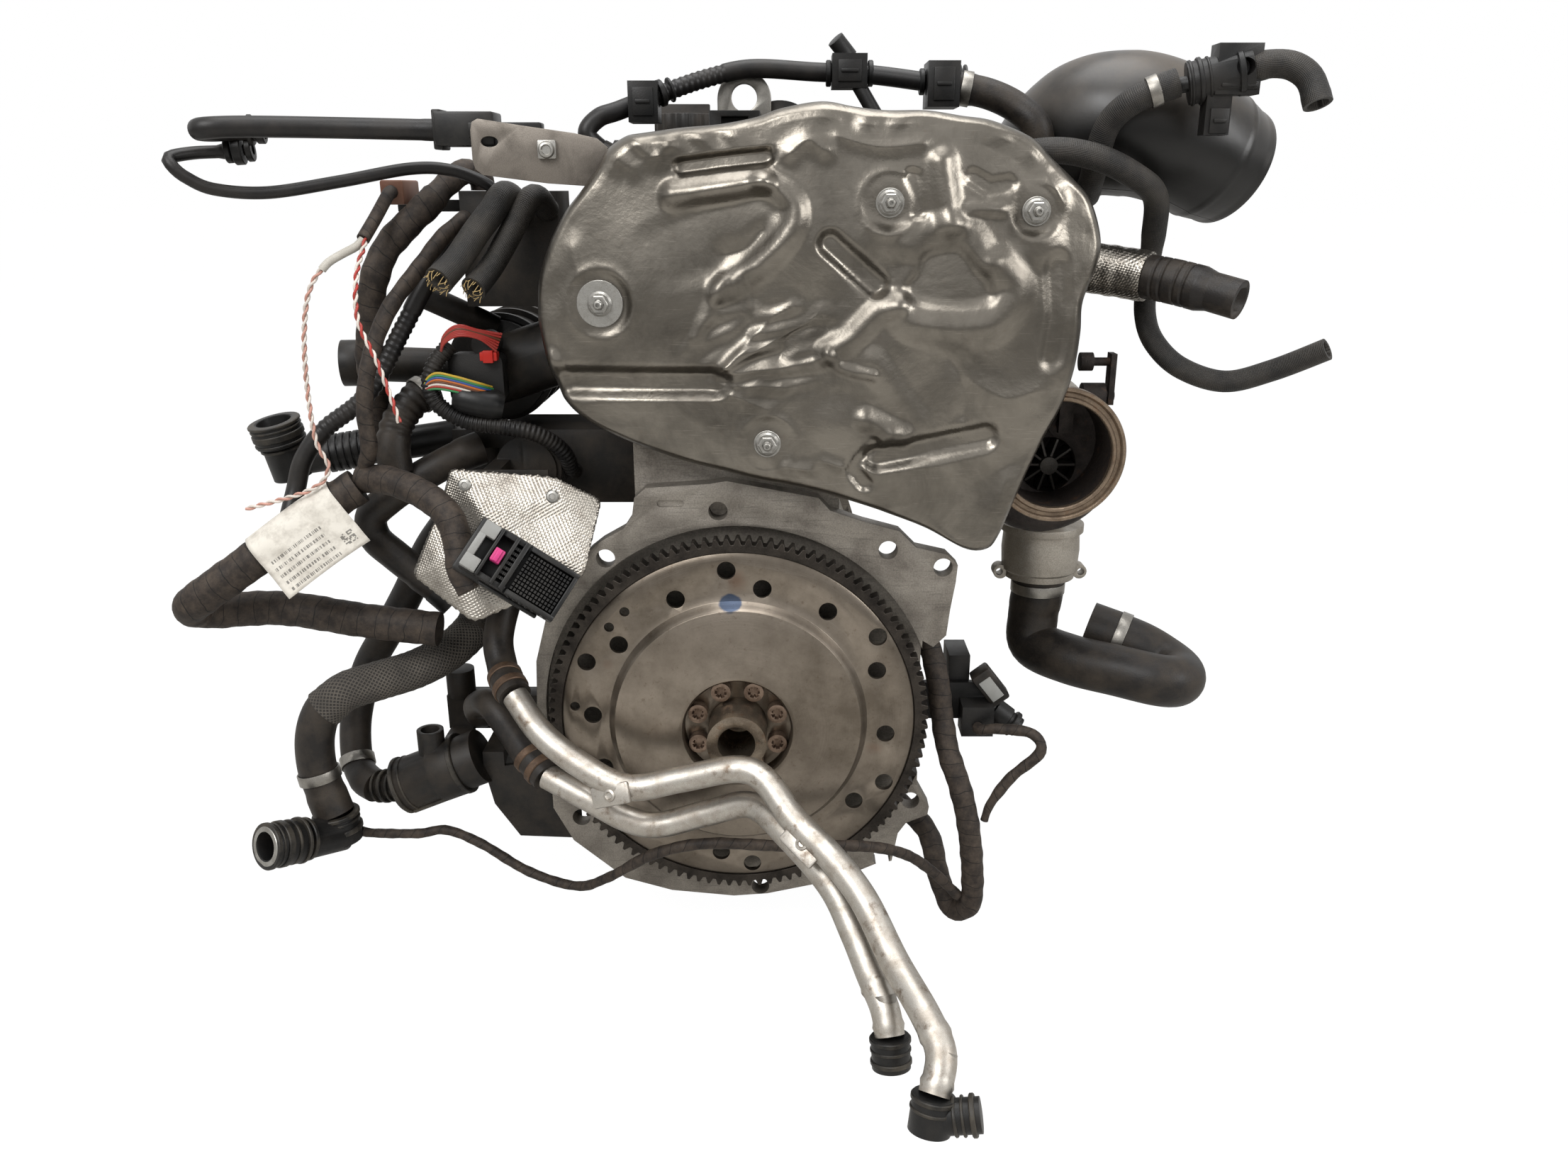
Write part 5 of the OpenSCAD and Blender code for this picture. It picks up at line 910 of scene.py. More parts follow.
upper_pipe = hose("upper_coolant_pipe", metres(
    (-158, -26, 24), (-137, -45, 4), (-108, -60, -13), (-75, -70, -25), (-37, -73, -17),
    (1, -80, -6), (20, -88, -10), (39, -108, -28), (63, -130, -43), (83, -150, -61),
    (101, -180, -86), (117, -215, -99), (124, -235, -110), (119, -249, -126)),
    pipe_width / 2, swell=bead_at(0.006, 0.034), sides=32)
lower_pipe = hose("lower_coolant_pipe", metres(
    (-138, -31, -37), (-108, -44, -47), (-79, -50, -61), (-56, -53, -64), (-20, -57, -52),
    (11, -68, -40), (36, -96, -48), (64, -125, -68), (78, -150, -87), (87, -170, -102),
    (95, -188, -114), (98, -198, -127)), pipe_width / 2, swell=bead_at(0.006, 0.030), sides=32)


def open_end(piece, place, facing, wall, depth):
    """Bores the capped end of a tube: its cap is inset by the wall and pushed in by the depth."""
    select_only(piece)
    bpy.ops.object.mode_set(mode="EDIT")
    bpy.ops.mesh.select_all(action="DESELECT")
    bpy.ops.object.mode_set(mode="OBJECT")
    facing = Vector(facing).normalized()
    for face in piece.data.polygons:
        face.select = (face.normal.dot(facing) > 0.9 and (face.center - Vector(place)).length < 0.012
                       and len(face.vertices) != 4)
    bpy.ops.object.mode_set(mode="EDIT")
    bpy.ops.mesh.inset(thickness=wall)
    bpy.ops.mesh.extrude_region_move(TRANSFORM_OT_translate={"value": -facing * depth})
    bpy.ops.object.mode_set(mode="OBJECT")


def end_of(piece, last=True):
    """Where a tube ends, and which way it faces there."""
    points = [Vector(p) for p in route_of(piece)]
    return (points[-1], points[-1] - points[-2]) if last else (points[0], points[0] - points[1])


for piece, node in ((upper_pipe, "pipe_upper"), (lower_pipe, "pipe_lower")):
    place, facing = end_of(piece)
    open_end(piece, place, facing, wall=0.0014, depth=0.024)
    set_in(piece, "engine", "pipe_alloy", pipe_alloy, node)


# ---- Coolant hoses on the intake side
# Moulded EPDM hoses with a rayon ply, pushed over beads and clamped. The lower one wears a
# knitted grey sock on its upper half against chafe. Two heater hoses were cut through, and yarn
# of their ply frays out of the cuts.
def crossed_threads(tree, pitch, meeting):
    """Threads that slant both ways round a hose, 26 to a turn and one each pitch along it. The
    way they meet gives how high they stand."""
    place = add(tree, "UVMap", uv_map="UVMap")
    split = add(tree, "SeparateXYZ", {0: place.outputs[0]})
    along = add(tree, "Math", {0: split.outputs[0], 1: tau / pitch}, operation="MULTIPLY")
    around = add(tree, "Math", {0: split.outputs[1], 1: tau * 26}, operation="MULTIPLY")
    rising = add(tree, "Math", {0: along.outputs[0], 1: around.outputs[0]}, operation="ADD")
    falling = add(tree, "Math", {0: along.outputs[0], 1: around.outputs[0]}, operation="SUBTRACT")
    rising = add(tree, "Math", {0: rising.outputs[0]}, operation="SINE")
    falling = add(tree, "Math", {0: falling.outputs[0]}, operation="SINE")
    return add(tree, "Math", {0: rising.outputs[0], 1: falling.outputs[0]}, operation=meeting)


# EPDM rubber: matt, warm black, with a bloom of brown dust on the upper sides.
hose_rubber = moulded("epdm_rubber", "#1b1816", "#453d34", 0.44, 0.65, 1.2, 0.0002)
# Nitrile rubber of the thin vent and fuel lines: smoother and blacker.
line_rubber = moulded("nitrile_rubber", "#161515", "#38332e", 0.38, 0.4, 1.0, 0.0001)
# Rubber over a knitted ply: near black, a slanting weave of 2.2 mm whose rib tops carry a painted
# highlight.
ply_rubber, tree = new_material("textile_reinforced_rubber")
weave = crossed_threads(tree, 0.0022, "MULTIPLY")
where = add(tree, "TexCoord")
dust = add(tree, "TexNoise", {"Vector": where.outputs["Object"], "Scale": 42.0, "Detail": 8.0,
                              "Roughness": 0.65})
film = add(tree, "MapRange", {"Value": dust.outputs["Fac"], "From Min": 0.4, "From Max": 0.72,
                              "To Max": 0.6})
tone = add(tree, "MixRGB", {0: film.outputs[0], 1: linear("#1a1918"), 2: linear("#46413b")})
# Painted highlight: the tops of the ribs are lightened in the colour.
painted_rib_highlight = add(tree, "MapRange", {"Value": weave.outputs[0], "From Min": 0.2, "To Max": 0.3})
tone = add(tree, "MixRGB", {0: painted_rib_highlight.outputs[0], 1: tone.outputs[0], 2: linear("#57534d")})
bump = add(tree, "Bump", {"Height": weave.outputs[0], "Distance": 0.00015, "Strength": 0.8})
skin = add(tree, "BsdfPrincipled", {"Base Color": tone.outputs[0], "Roughness": 0.5,
                                    "Specular IOR Level": 0.24, "Normal": bump.outputs[0]})
add(tree, "OutputMaterial", {"Surface": skin.outputs[0]})

# Knitted polyester sock: grey threads crossing on the slant, 3.2 mm apart, with painted shade in the
# hollows and soil in patches.
sock, tree = new_material("knitted_polyester_sock")
knit = crossed_threads(tree, 0.0032, "MAXIMUM")
where = add(tree, "TexCoord")
soil = add(tree, "TexNoise", {"Vector": where.outputs["Object"], "Scale": 70.0, "Detail": 6.0})
# Painted light and soil: the thread crowns are lighter and the hollows darker as painted shade,
# dimmed further where the soil noise is low.
painted_light_and_soil = add(tree, "MapRange", {"Value": knit.outputs[0], "From Min": -0.3, "From Max": 1.0})
painted_light_and_soil = add(tree, "Math", {0: painted_light_and_soil.outputs[0], 1: soil.outputs["Fac"]}, operation="MULTIPLY")
tone = add(tree, "MixRGB", {0: painted_light_and_soil.outputs[0], 1: linear("#23201d"), 2: linear("#6b645b")})
bump = add(tree, "Bump", {"Height": knit.outputs[0], "Distance": 0.0005, "Strength": 0.8})
skin = add(tree, "BsdfPrincipled", {"Base Color": tone.outputs[0], "Roughness": 0.8,
                                    "Normal": bump.outputs[0]})
add(tree, "OutputMaterial", {"Surface": skin.outputs[0]})


def cuffed(cuff, rise=0.06, fade=0.004):
    """A swell for a moulded hose: a thicker cuff of a length at both ends."""
    return lambda s, left: 1 + rise * max(0, min(1, (cuff - min(s, left)) / fade))


def ribs(pitch, depth, first, last):
    """A swell for a hose that is ribbed between two distances from its start."""
    return lambda s, left: 1 - depth * (first < s < last) * (0.5 + 0.5 * cos(s * tau / pitch))


lower_path = metres(
    (-201.2, 63.8, 59.4), (-206, 60, 45), (-222, 45, 31), (-244, 30, 22), (-270, 18, 17),
    (-292, 10, 12), (-308, 5, 0), (-316, 2, -20), (-317, 0, -44), (-312, -2, -66),
    (-307, -4, -82))
fitted("lower_radiator_hose", lower_path, 0.014, hose_rubber, "lower_hose", swell=cuffed(0.02),
       sides=36)
fitted("knitted_sock", lower_path[:7], 0.0147, sock, sides=36,
       swell=lambda s, left: 1 + 0.012 * sin(s * 900) + 0.05 * exp(-left / 0.004))

fitted("pump_inlet_hose", metres(
    (-190, 88, 183.2), (-193, 88, 172), (-212, 86, 140), (-240, 82, 104), (-262, 78, 64),
    (-280, 76, 34), (-296, 74, 8), (-306, 70, -20), (-310, 64, -44), (-306, 50, -66),
    (-296, 36, -74), (-284, 27, -76)), 0.012, hose_rubber, "lower_hose", swell=cuffed(0.02),
    sides=28)

feed_a = fitted("upper_feed_hose", metres(
    (-150, 82, 141.8), (-150, 81, 132), (-156, 66, 112), (-170, 38, 84), (-177, 16, 54),
    (-172, 0, 36), (-166, -14, 30), (-158, -26, 24)), 0.011, hose_rubber, "lower_hose",
    swell=cuffed(0.024, 0.08), sides=28)
feed_b = fitted("lower_feed_hose", metres(
    (-204, 55.6, -24), (-204, 49, -23.5), (-202, 38, -12), (-188, 18, -2), (-172, 3, -13),
    (-154, -17, -27), (-138, -31, -37)), 0.011, hose_rubber, "lower_hose",
    swell=cuffed(0.024, 0.08), sides=28)

fitted("intake_elbow", metres(
    (-222, 62, 228), (-232, 52, 222), (-242, 40, 208), (-245, 32, 192), (-244, 30, 174)), 0.012,
    hose_rubber, "elbow_hose", swell=ribs(0.0065, 0.10, 0.014, 0.05), spacing=0.0012, sides=28)
fitted("return_elbow", metres(
    (-190, 58, 185), (-203, 50, 181), (-218, 43, 174), (-236, 39, 164), (-254, 38, 152),
    (-269, 40, 138), (-268, 40, 122), (-254, 36, 110), (-238, 34, 97), (-224, 34, 86)), 0.0115,
    hose_rubber, "elbow_hose", swell=cuffed(0.018, 0.08), sides=28)
fitted("taped_loop", metres(
    (-180, 86, 364.3), (-181, 85, 372), (-189, 78, 377), (-199, 69, 370), (-210, 58, 357),
    (-224, 50, 343), (-239, 42, 326), (-248, 36, 304), (-253, 38, 280), (-260, 46, 250),
    (-262, 58, 222), (-262, 63, 197)), 0.0095, loom_tape, "elbow_hose", sides=24,
    swell=lambda s, left: 1 + 0.05 * sin(s * 330) * sin(s * 117) - 0.12 * (s < 0.05))
fitted("brake_servo_tube", metres(
    (-193, 63.8, 330), (-212, 46, 307), (-231, 40, 275), (-258, 31, 230), (-288, 22, 206),
    (-304, 18, 186), (-311, 14, 164), (-315, 2, 142)), 0.0065, line_rubber, "elbow_hose", sides=20,
    swell=ribs(0.0045, 0.12, 0.06, 0.17), spacing=0.0009)

fitted("vacuum_line", metres(
    (-317, 16, 389), (-330, 14, 388), (-344, 6, 387), (-354, -5, 384), (-352, -8, 379),
    (-345, -6, 372), (-331, 0, 365), (-301, 10, 363), (-258, 24, 370), (-216, 38, 378),
    (-190, 44, 377), (-168, 50, 368), (-164, 57, 359), (-164, 63.6, 358)), 0.004, line_rubber,
    "vacuum_hose", sides=20, swell=cuffed(0.014, 0.18, 0.002))
fitted("fuel_line", metres(
    (-188.2, 16, 401), (-254, 6, 402), (-300, -8, 402), (-322, -16, 401), (-330, -12, 400),
    (-328, 2, 400), (-316, 12, 401), (-304, 14, 401)), 0.0065, line_rubber, "fuel_hose", sides=28,
    swell=cuffed(0.012, 0.04))

# Rayon yarn of the hose ply, straw-coloured where it frays out of the cut.
thread_yarn = moulded("rayon_ply_yarn", "#b39a6b", "#7c6b4c", 0.7, 0.5, 0.4)
yarn_radius = 0.00022
for name, path, width in (
        ("cut_heater_hose", metres((-150, 63.8, 352), (-150, 57, 353), (-152, 46, 360),
                                   (-155, 34, 361), (-160, 26, 352), (-170, 16, 338),
                                   (-181, 5, 321), (-190, -11, 309)), 0.018),
        ("cut_return_hose", metres((-131, 63.8, 352), (-131, 58, 353), (-133, 49, 359),
                                   (-137, 41, 360), (-143, 35, 351), (-152, 28, 334),
                                   (-163, 18, 315), (-171, 1, 303)), 0.016)):
    cut = fitted(name, path, width / 2, ply_rubber, "cut_hoses",
                 swell=lambda s, left: 1 + 0.07 * exp(-left / 0.006), sides=28)
    place, facing = end_of(cut)
    open_end(cut, place, facing, wall=0.0028, depth=0.02)
    side = facing.cross(Vector((0, 0, 1))).normalized()
    facing = facing.normalized()
    over = facing.cross(side)
    threads = []
    for k in range(22):
        turn = k * 2.4
        ray = side * cos(turn) + over * sin(turn)
        root = place + ray * (width / 2 - 0.0013)
        lean = ray * (0.003 * sin(k * 5.1) - 0.0015) + over * 0.002 * sin(k * 3.3)
        strand = (root - facing * 0.002, root + facing * 0.002 + lean * 0.3,
                  root + facing * 0.0045 + lean)
        threads.append(hose("thread", strand, yarn_radius, spacing=0.0012, sides=6))
    frayed = joined(name + "_threads", threads)
    frayed.data.materials.clear()
    frayed.data.materials.append(thread_yarn)
    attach(frayed, "engine")


# ---- Everything else that is bolted on
# Covers, pans, housings and small fittings: the part's own solids, edges rounded, in the finish
# of their real material.
# Cast aluminium of the compressor, silencer and throttle: light grey, clean, fine-grained.
light_alloy = worn_metal("gravity_cast_aluminium", "#a19b91", "#71685c", 0.7, 0.46, 0.5, 30, 0.9)
# Cast turbine iron: scaled rusty brown by its heat.
hot_iron = worn_metal("heat_scaled_cast_iron", "#2f2824", "#181412", 0.5, 0.62, 0.8, 12, 0.9,
                      0.0004, stain="#4b3627")
# Rolled brass of the throttle plate: dull yellow, browned in clouds.
brass = worn_metal("rolled_brass", "#b08d4f", "#6e5732", 1.0, 0.35, 0.4, 10, 0.4, 0.0001)
# Zinc-plated steel of the clamps and the lifting eye: grey and satin, dulled by dirt.
zinc = worn_metal("zinc_plated_steel_strip", "#8f8c86", "#5d574f", 1.0, 0.33, 0.4, 12, 0.4, 0.0001)
# Unfilled black nylon of couplings, coils and plugs: smoother and blacker than the covers.
connector_nylon = moulded("black_connector_nylon", "#0f0f0f", "#302c28", 0.4, 0.4, 0.7)

# Each solid, the rounding of its edges in millimetres, its finish slot and its material.
plain = [
    ("head_cover", 1.5, "black_cover", cover_nylon),
    ("timing_cover", 1.0, "cast_block", cast_aluminium),
    ("oil_pan_upper", 1.0, "cast_block", cast_aluminium),
    ("oil_pan_lower", 1.5, "painted_pan", pan_paint),
    ("valves", 0, "forged_steel", forged_steel),
    ("timing_chain", 0, "forged_steel", forged_steel),
    ("ignition_coils", 0.8, "black_cover", connector_nylon),
    ("lifting_eye", 0.8, "bolt_steel", zinc),
    ("intake_manifold", 1.5, "intake_plastic", cover_nylon),
    ("throttle_body", 0.6, "throttle_alloy", light_alloy),
    ("throttle_plate", 0.2, "throttle_brass", brass),
    ("turbine_housing", 1.0, "hot_iron", hot_iron),
    ("bearing_housing", 0.6, "bearing_iron", cast_iron),
    ("compressor_housing", 1.2, "light_alloy", light_alloy),
    ("charge_silencer", 1.0, "light_alloy", light_alloy),
    ("turbo_rotor", 0.1, "wheel_alloy", cast_iron),
    ("wastegate_lever", 0.3, "hot_iron", hot_iron),
    ("intake_camshaft", 0.2, "forged_steel", forged_steel),
    ("exhaust_camshaft", 0.2, "forged_steel", forged_steel),
    ("outer_pistons", 0.2, "piston_alloy", light_alloy),
    ("inner_pistons", 0.2, "piston_alloy", light_alloy),
    ("crank_pulley", 0.5, "bolt_steel", pan_paint),
    ("oil_filler_cap", 0.8, "black_cover", cover_nylon),
    ("coolant_housing", 1.2, "intake_plastic", cover_nylon),
    ("coolant_pump", 1.0, "intake_plastic", cover_nylon),
    ("hose_couplings", 0.8, "black_cover", connector_nylon),
    ("purge_valve", 0.8, "black_cover", connector_nylon),
    ("sensor_plugs", 1.0, "black_cover", connector_nylon),
    ("hose_clamps", 0.2, "bolt_steel", zinc)]
for node, edge, slot, material in plain:
    dressed(node, edge, slot, material, slack=0.25 if "_pistons" in node else 0)


# ---- Hoses of the top and the exhaust side
# Moulded rubber with a textile ply that shows through as a fine cross-hatch. Their free ends are
# bored, their joints swell over the spigot beads.
vent = fitted("vent_line", metres(
    (96.4, 72, 350), (108, 71, 352), (132, 60, 363), (169, 42, 381), (206, 30, 389),
    (237, 26, 385), (266, 32, 373), (284, 44, 360), (290, 60, 335), (290, 66, 305),
    (290, 62, 280), (295, 50, 262), (312, 40, 246), (340, 30, 238), (368, 20, 247),
    (395, 0, 264)), 0.0075, ply_rubber, "vent_hose", sides=32,
    swell=lambda s, left: 1 + 0.12 * (0.1 < s < 0.255) * min(1, (s - 0.1) / 0.01, (0.255 - s) / 0.01))
open_end(vent, *end_of(vent), wall=0.0022, depth=0.02)
fitted("purge_inlet_hose", metres(
    (244.5, 75, 361), (243, 54, 374), (244, 46, 392), (248, 40, 407), (258, 32, 418),
    (272, 28, 425), (286, 26, 430)), 0.0085, ply_rubber, "purge_hoses", swell=cuffed(0.014, 0.08),
    sides=32)
purge_out = fitted("purge_outlet_hose", metres(
    (331, 17.8, 438), (341, 14, 440), (352, 8, 438), (361, 2, 430), (365, -5, 415)), 0.0085,
    ply_rubber, "purge_hoses", swell=cuffed(0.01, 0.05), sides=32)
open_end(purge_out, *end_of(purge_out), wall=0.0024, depth=0.02)
fitted("breather_line", metres(
    (-92, 66, 391), (-101, 63, 401), (-93, 66, 411), (-79, 69, 416), (-48, 78, 428),
    (-19, 88, 438), (11, 92, 444), (55, 93, 442), (93, 90, 440), (130, 84, 435)), 0.0062,
    line_rubber, "breather_hose", sides=28, swell=ribs(0.0044, 0.12, 0.06, 0.12), spacing=0.0011)
fitted("breather_elbow", metres(
    (152, 78, 431), (172, 76, 427), (190, 72, 419), (204, 66, 407), (208, 68, 392),
    (206, 84, 374), (206, 112, 362)), 0.010, hose_rubber, "breather_hose",
    swell=cuffed(0.012, 0.06), sides=32)

coolant_route = metres((97, 80, 312), (150, 80, 316), (200, 72, 320), (240, 62, 314),
                       (270, 50, 310), (300, 28, 305), (333, 0, 296))


def stepped(s, left):
    """The swell of the free hose end: four grooves, then a shoulder down to a thinner end."""
    if left < 0.020:
        return 13 / 15
    if left < 0.028:
        return 13 / 15 + 2 / 15 * (left - 0.020) / 0.008
    return 1 - 0.055 * any(abs(left - g) < 0.0008 for g in (0.036, 0.042, 0.052, 0.058))


coolant = fitted("right_coolant_hose", coolant_route, 0.015, hose_rubber, "coolant_hose_right",
                 swell=stepped, spacing=0.0008, sides=40)
open_end(coolant, *end_of(coolant), wall=0.004, depth=0.03)

# Woven glass cloth faced with aluminium: bright, with a fine slanting rib and soft dents.
foil_cloth, tree = new_material("aluminium_faced_glass_cloth")
place = add(tree, "TexCoord")
lean = add(tree, "Mapping", {"Vector": place.outputs["Object"], "Rotation": (0, radians(28), 0)})
split = add(tree, "SeparateXYZ", {0: lean.outputs[0]})
rib = add(tree, "Math", {0: split.outputs[2], 1: tau / 0.0021}, operation="MULTIPLY")
rib = add(tree, "Math", {0: rib.outputs[0]}, operation="SINE")
cross = add(tree, "Math", {0: split.outputs[0], 1: tau / 0.0024}, operation="MULTIPLY")
cross = add(tree, "Math", {0: cross.outputs[0]}, operation="SINE")
weave = add(tree, "Math", {0: rib.outputs[0], 1: cross.outputs[0]}, operation="MULTIPLY")
weave = add(tree, "Math", {0: rib.outputs[0], 1: weave.outputs[0]}, operation="ADD")
dent = add(tree, "TexNoise", {"Vector": place.outputs["Object"], "Scale": 48.0, "Detail": 3.0})
height = add(tree, "Math", {0: dent.outputs["Fac"], 1: 22.0, 2: weave.outputs[0]},
             operation="MULTIPLY_ADD")
bump = add(tree, "Bump", {"Height": height.outputs[0], "Distance": 0.00022, "Strength": 0.42})
soil = add(tree, "TexNoise", {"Vector": place.outputs["Object"], "Scale": 90.0, "Detail": 8.0,
                              "Roughness": 0.7})
soil = add(tree, "MapRange", {"Value": soil.outputs["Fac"], "From Min": 0.45, "From Max": 0.7,
                              "To Max": 0.7})
tone = add(tree, "MixRGB", {0: soil.outputs[0], 1: linear("#948f87"), 2: linear("#69625a")})
skin = add(tree, "BsdfPrincipled", {"Base Color": tone.outputs[0], "Metallic": 1.0,
                                    "Roughness": 0.34, "Normal": bump.outputs[0]})
add(tree, "OutputMaterial", {"Surface": skin.outputs[0]})
between = [p for p in smoothed(coolant_route, 0.003) if 0.200 < p.x < 0.284]
foil_tube = hose("foil_sleeve_cloth", [tuple(p) for p in between], 0.0172, sides=48,
                 swell=lambda s, left: 1 + 0.012 * sin(s * 610) + 0.01 * sin(s * 1730))
open_end(foil_tube, *end_of(foil_tube), wall=0.0007, depth=0.004)
open_end(foil_tube, *end_of(foil_tube, last=False), wall=0.0007, depth=0.004)
set_in(foil_tube, "engine", "foil", foil_cloth, "foil_sleeve")

charge = fitted("charge_air_hose", metres(
    (247, 150, 57), (247, 150, 42), (245, 150, 20), (246, 142, -1), (271, 116, -5.5),
    (305, 95, -7), (333, 82, -9.5), (350, 86, -12), (357, 103, -12.5), (349, 121, -8),
    (329, 132, 1.5), (292, 148, 11.8)), 0.021, hose_rubber, "charge_hose", swell=cuffed(0.03, 0.03),
    sides=44)
open_end(charge, *end_of(charge), wall=0.004, depth=0.03)


# ---- Air duct from the filter to the compressor
# Blow-moulded polyethylene: one flowing body with a seam where the halves of the mould met, and
# a thicker cuff at its mouth.
duct_route = metres((228, 214.3, 172), (228, 232, 176), (229, 250, 200), (228, 240, 260),
                    (222, 200, 325), (225, 150, 376), (246, 110, 404), (276, 94, 408),
                    (308, 92, 400), (336, 98, 387), (352, 104, 380))


def widths(route, radii):
    """A swell that gives a tube a radius at each point of its route, over the first radius."""
    points = smoothed(route, 0.002)
    reach = [0.0]
    for a, b in zip(points, points[1:]):
        reach.append(reach[-1] + (b - a).length)
    at = [reach[min(range(len(points)), key=lambda i: (points[i] - Vector(p)).length)]
          for p in route]
    return lambda s, left: float(np.interp(s, at, radii)) / radii[0]


bore = widths(duct_route, (33, 33, 33, 34, 36, 42, 47, 48, 46, 44, 40))
duct = hose("air_intake_duct", duct_route, 0.033, sides=72, spacing=0.002,
            swell=lambda s, left: bore(s, left) + 0.03 * max(0, 1 - (left / 0.006) ** 2)
            + 0.02 * max(0, 1 - ((left - 0.02) / 0.002) ** 2))
open_end(duct, *end_of(duct), wall=0.004, depth=0.04)
# Blow-moulded polyethylene: charcoal, satin, dusty brown above, a raised seam along each side.
duct_skin, tree = new_material("blow_moulded_polyethylene")
place = add(tree, "UVMap", uv_map="UVMap")
split = add(tree, "SeparateXYZ", {0: place.outputs[0]})
seam = add(tree, "Math", {0: split.outputs[1], 1: 2.0}, operation="MULTIPLY")
seam = add(tree, "Math", {0: seam.outputs[0]}, operation="FRACT")
seam = add(tree, "Math", {0: seam.outputs[0], 1: 0.5}, operation="SUBTRACT")
seam = add(tree, "Math", {0: seam.outputs[0]}, operation="ABSOLUTE")
seam = add(tree, "MapRange", {"Value": seam.outputs[0], "From Min": 0.007, "From Max": 0.002})
where = add(tree, "TexCoord")
cloud = add(tree, "TexNoise", {"Vector": where.outputs["Object"], "Scale": 22.0, "Detail": 9.0,
                               "Roughness": 0.66})
upward = add(tree, "NewGeometry")
facing = add(tree, "SeparateXYZ", {0: upward.outputs["Normal"]})
dust = add(tree, "MapRange", {"Value": facing.outputs[2], "From Min": -0.1, "From Max": 0.9,
                              "To Max": 0.9})
film = add(tree, "MapRange", {"Value": cloud.outputs["Fac"], "From Min": 0.3, "From Max": 0.65})
film = add(tree, "Math", {0: film.outputs[0], 1: dust.outputs[0]}, operation="MULTIPLY")
tone = add(tree, "MixRGB", {0: film.outputs[0], 1: linear("#131211"), 2: linear("#504941")})
dull = add(tree, "MapRange", {"Value": cloud.outputs["Fac"], "From Min": 0.3, "From Max": 0.7,
                              "To Min": 0.3, "To Max": 0.48})
height = add(tree, "Math", {0: cloud.outputs["Fac"], 1: 0.4, 2: seam.outputs[0]},
             operation="MULTIPLY_ADD")
bump = add(tree, "Bump", {"Height": height.outputs[0], "Distance": 0.0009, "Strength": 0.7})
skin = add(tree, "BsdfPrincipled", {"Base Color": tone.outputs[0], "Roughness": dull.outputs[0],
                                    "Specular IOR Level": 0.35, "Normal": bump.outputs[0]})
add(tree, "OutputMaterial", {"Surface": skin.outputs[0]})
set_in(duct, "engine", "duct_plastic", duct_skin, "air_duct")


# ---- Heat mat on the intake side
# Glass cloth faced with aluminium foil, cut to seven sides and riveted to its carrier by two
# blind rivets. It leans forward, cupped a little, over the coolant hoses.
mat_rim = np.array(metres((-200, 12, 180), (-127, 12, 174), (-95, 8, 158), (-105, -22, 112),
                          (-182, -26, 80), (-226, -14, 110), (-208, 3, 152)))
hem = []
for a, b in zip(mat_rim, np.roll(mat_rim, -1, axis=0)):
    hem += [a + (b - a) * t for t in np.linspace(0, 1, 24, endpoint=False)]
hem = np.array(hem)
soft = sum(np.roll(hem, k, axis=0) for k in range(-2, 3)) / 5
spokes, rings = len(soft), 26
cupped = 0.006
centre = soft.mean(axis=0)
share = np.linspace(0, 1, rings + 1)[1:, None, None]
grid = centre + (soft - centre) * share
bulge = cupped * (1 - share[..., 0] ** 2)
bulge = bulge + 0.0012 * np.sin(grid[..., 0] * 120 + grid[..., 2] * 60)
fray = 0.0007 * np.sin(np.arange(spokes) * 2.6) * (share[..., 0] > 0.97)
grid[..., 1] -= bulge
grid[..., 2] += fray
points = np.vstack([grid.reshape(-1, 3), [centre - np.array([0, cupped, 0])]])
mat_mesh = bpy.data.meshes.new("foil_mat")
mat_mesh.from_pydata(points.tolist(), [], disc_faces(spokes, rings))
mat = new_piece("foil_mat", mat_mesh)
bpy.ops.object.mode_set(mode="EDIT")
bpy.ops.mesh.select_all(action="SELECT")
bpy.ops.mesh.normals_make_consistent(inside=False)
bpy.ops.object.mode_set(mode="OBJECT")
bpy.ops.object.shade_smooth()
apply_modifier(mat, "SOLIDIFY", thickness=0.0016, offset=0)
set_in(mat, "engine", "foil", foil_cloth, "heat_mat")
for k, (x, z) in enumerate(((-0.189, 0.170), (-0.128, 0.163))):
    near = min(mat.data.vertices, key=lambda v: hypot(v.co.x - x, v.co.z - z))
    rivet = turned(f"mat_rivet_{k + 1}", [
        (0, 0), (0.0045, 0), (0.0046, 0.0006), (0.0038, 0.0014), (0.0022, 0.0016),
        (0.0019, 0.0008), (0, 0.0008)], near.co + Vector((0, -0.0008, 0)), (0, -1, 0.25), 32)
    set_in(rivet, "engine", "foil", zinc_plate, "heat_mat")


# ---- Plug of the control unit
# A lever plug of black polyamide: a housing with two pin fields, a grey slider with a catch, and
# a magenta lock that slides in its slot once the lever is home.
plug_frame = (Matrix.Translation((-0.151, -0.048, 0.128)) @ Matrix.Rotation(radians(34), 4, "Y")
              @ Matrix.Rotation(radians(62), 4, "X"))


def block(name, low, high, edge=0.0006, frame_of=None):
    """A box between two corners in millimetres, with rounded edges, turned into a frame."""
    low, high = Vector(low) / 1000, Vector(high) / 1000
    bpy.ops.object.select_all(action="DESELECT")
    bpy.ops.mesh.primitive_cube_add(size=1)
    piece = bpy.context.object
    piece.name = name
    piece.data.name = name
    piece.data.transform(Matrix.Translation((low + high) / 2)
                         @ Matrix.Diagonal((*(high - low), 1)))
    if edge:
        apply_modifier(piece, "BEVEL", width=edge, segments=2)
    if frame_of is not None:
        piece.data.transform(frame_of)
    bpy.ops.object.shade_smooth_by_angle(angle=radians(35))
    return piece


# Black polyamide of the plugs, smooth and satin, with a film of dust.
plug_nylon = moulded("black_polyamide_plug", "#121212", "#3a3733", 0.36, 0.45, 0.7, 0.00005)
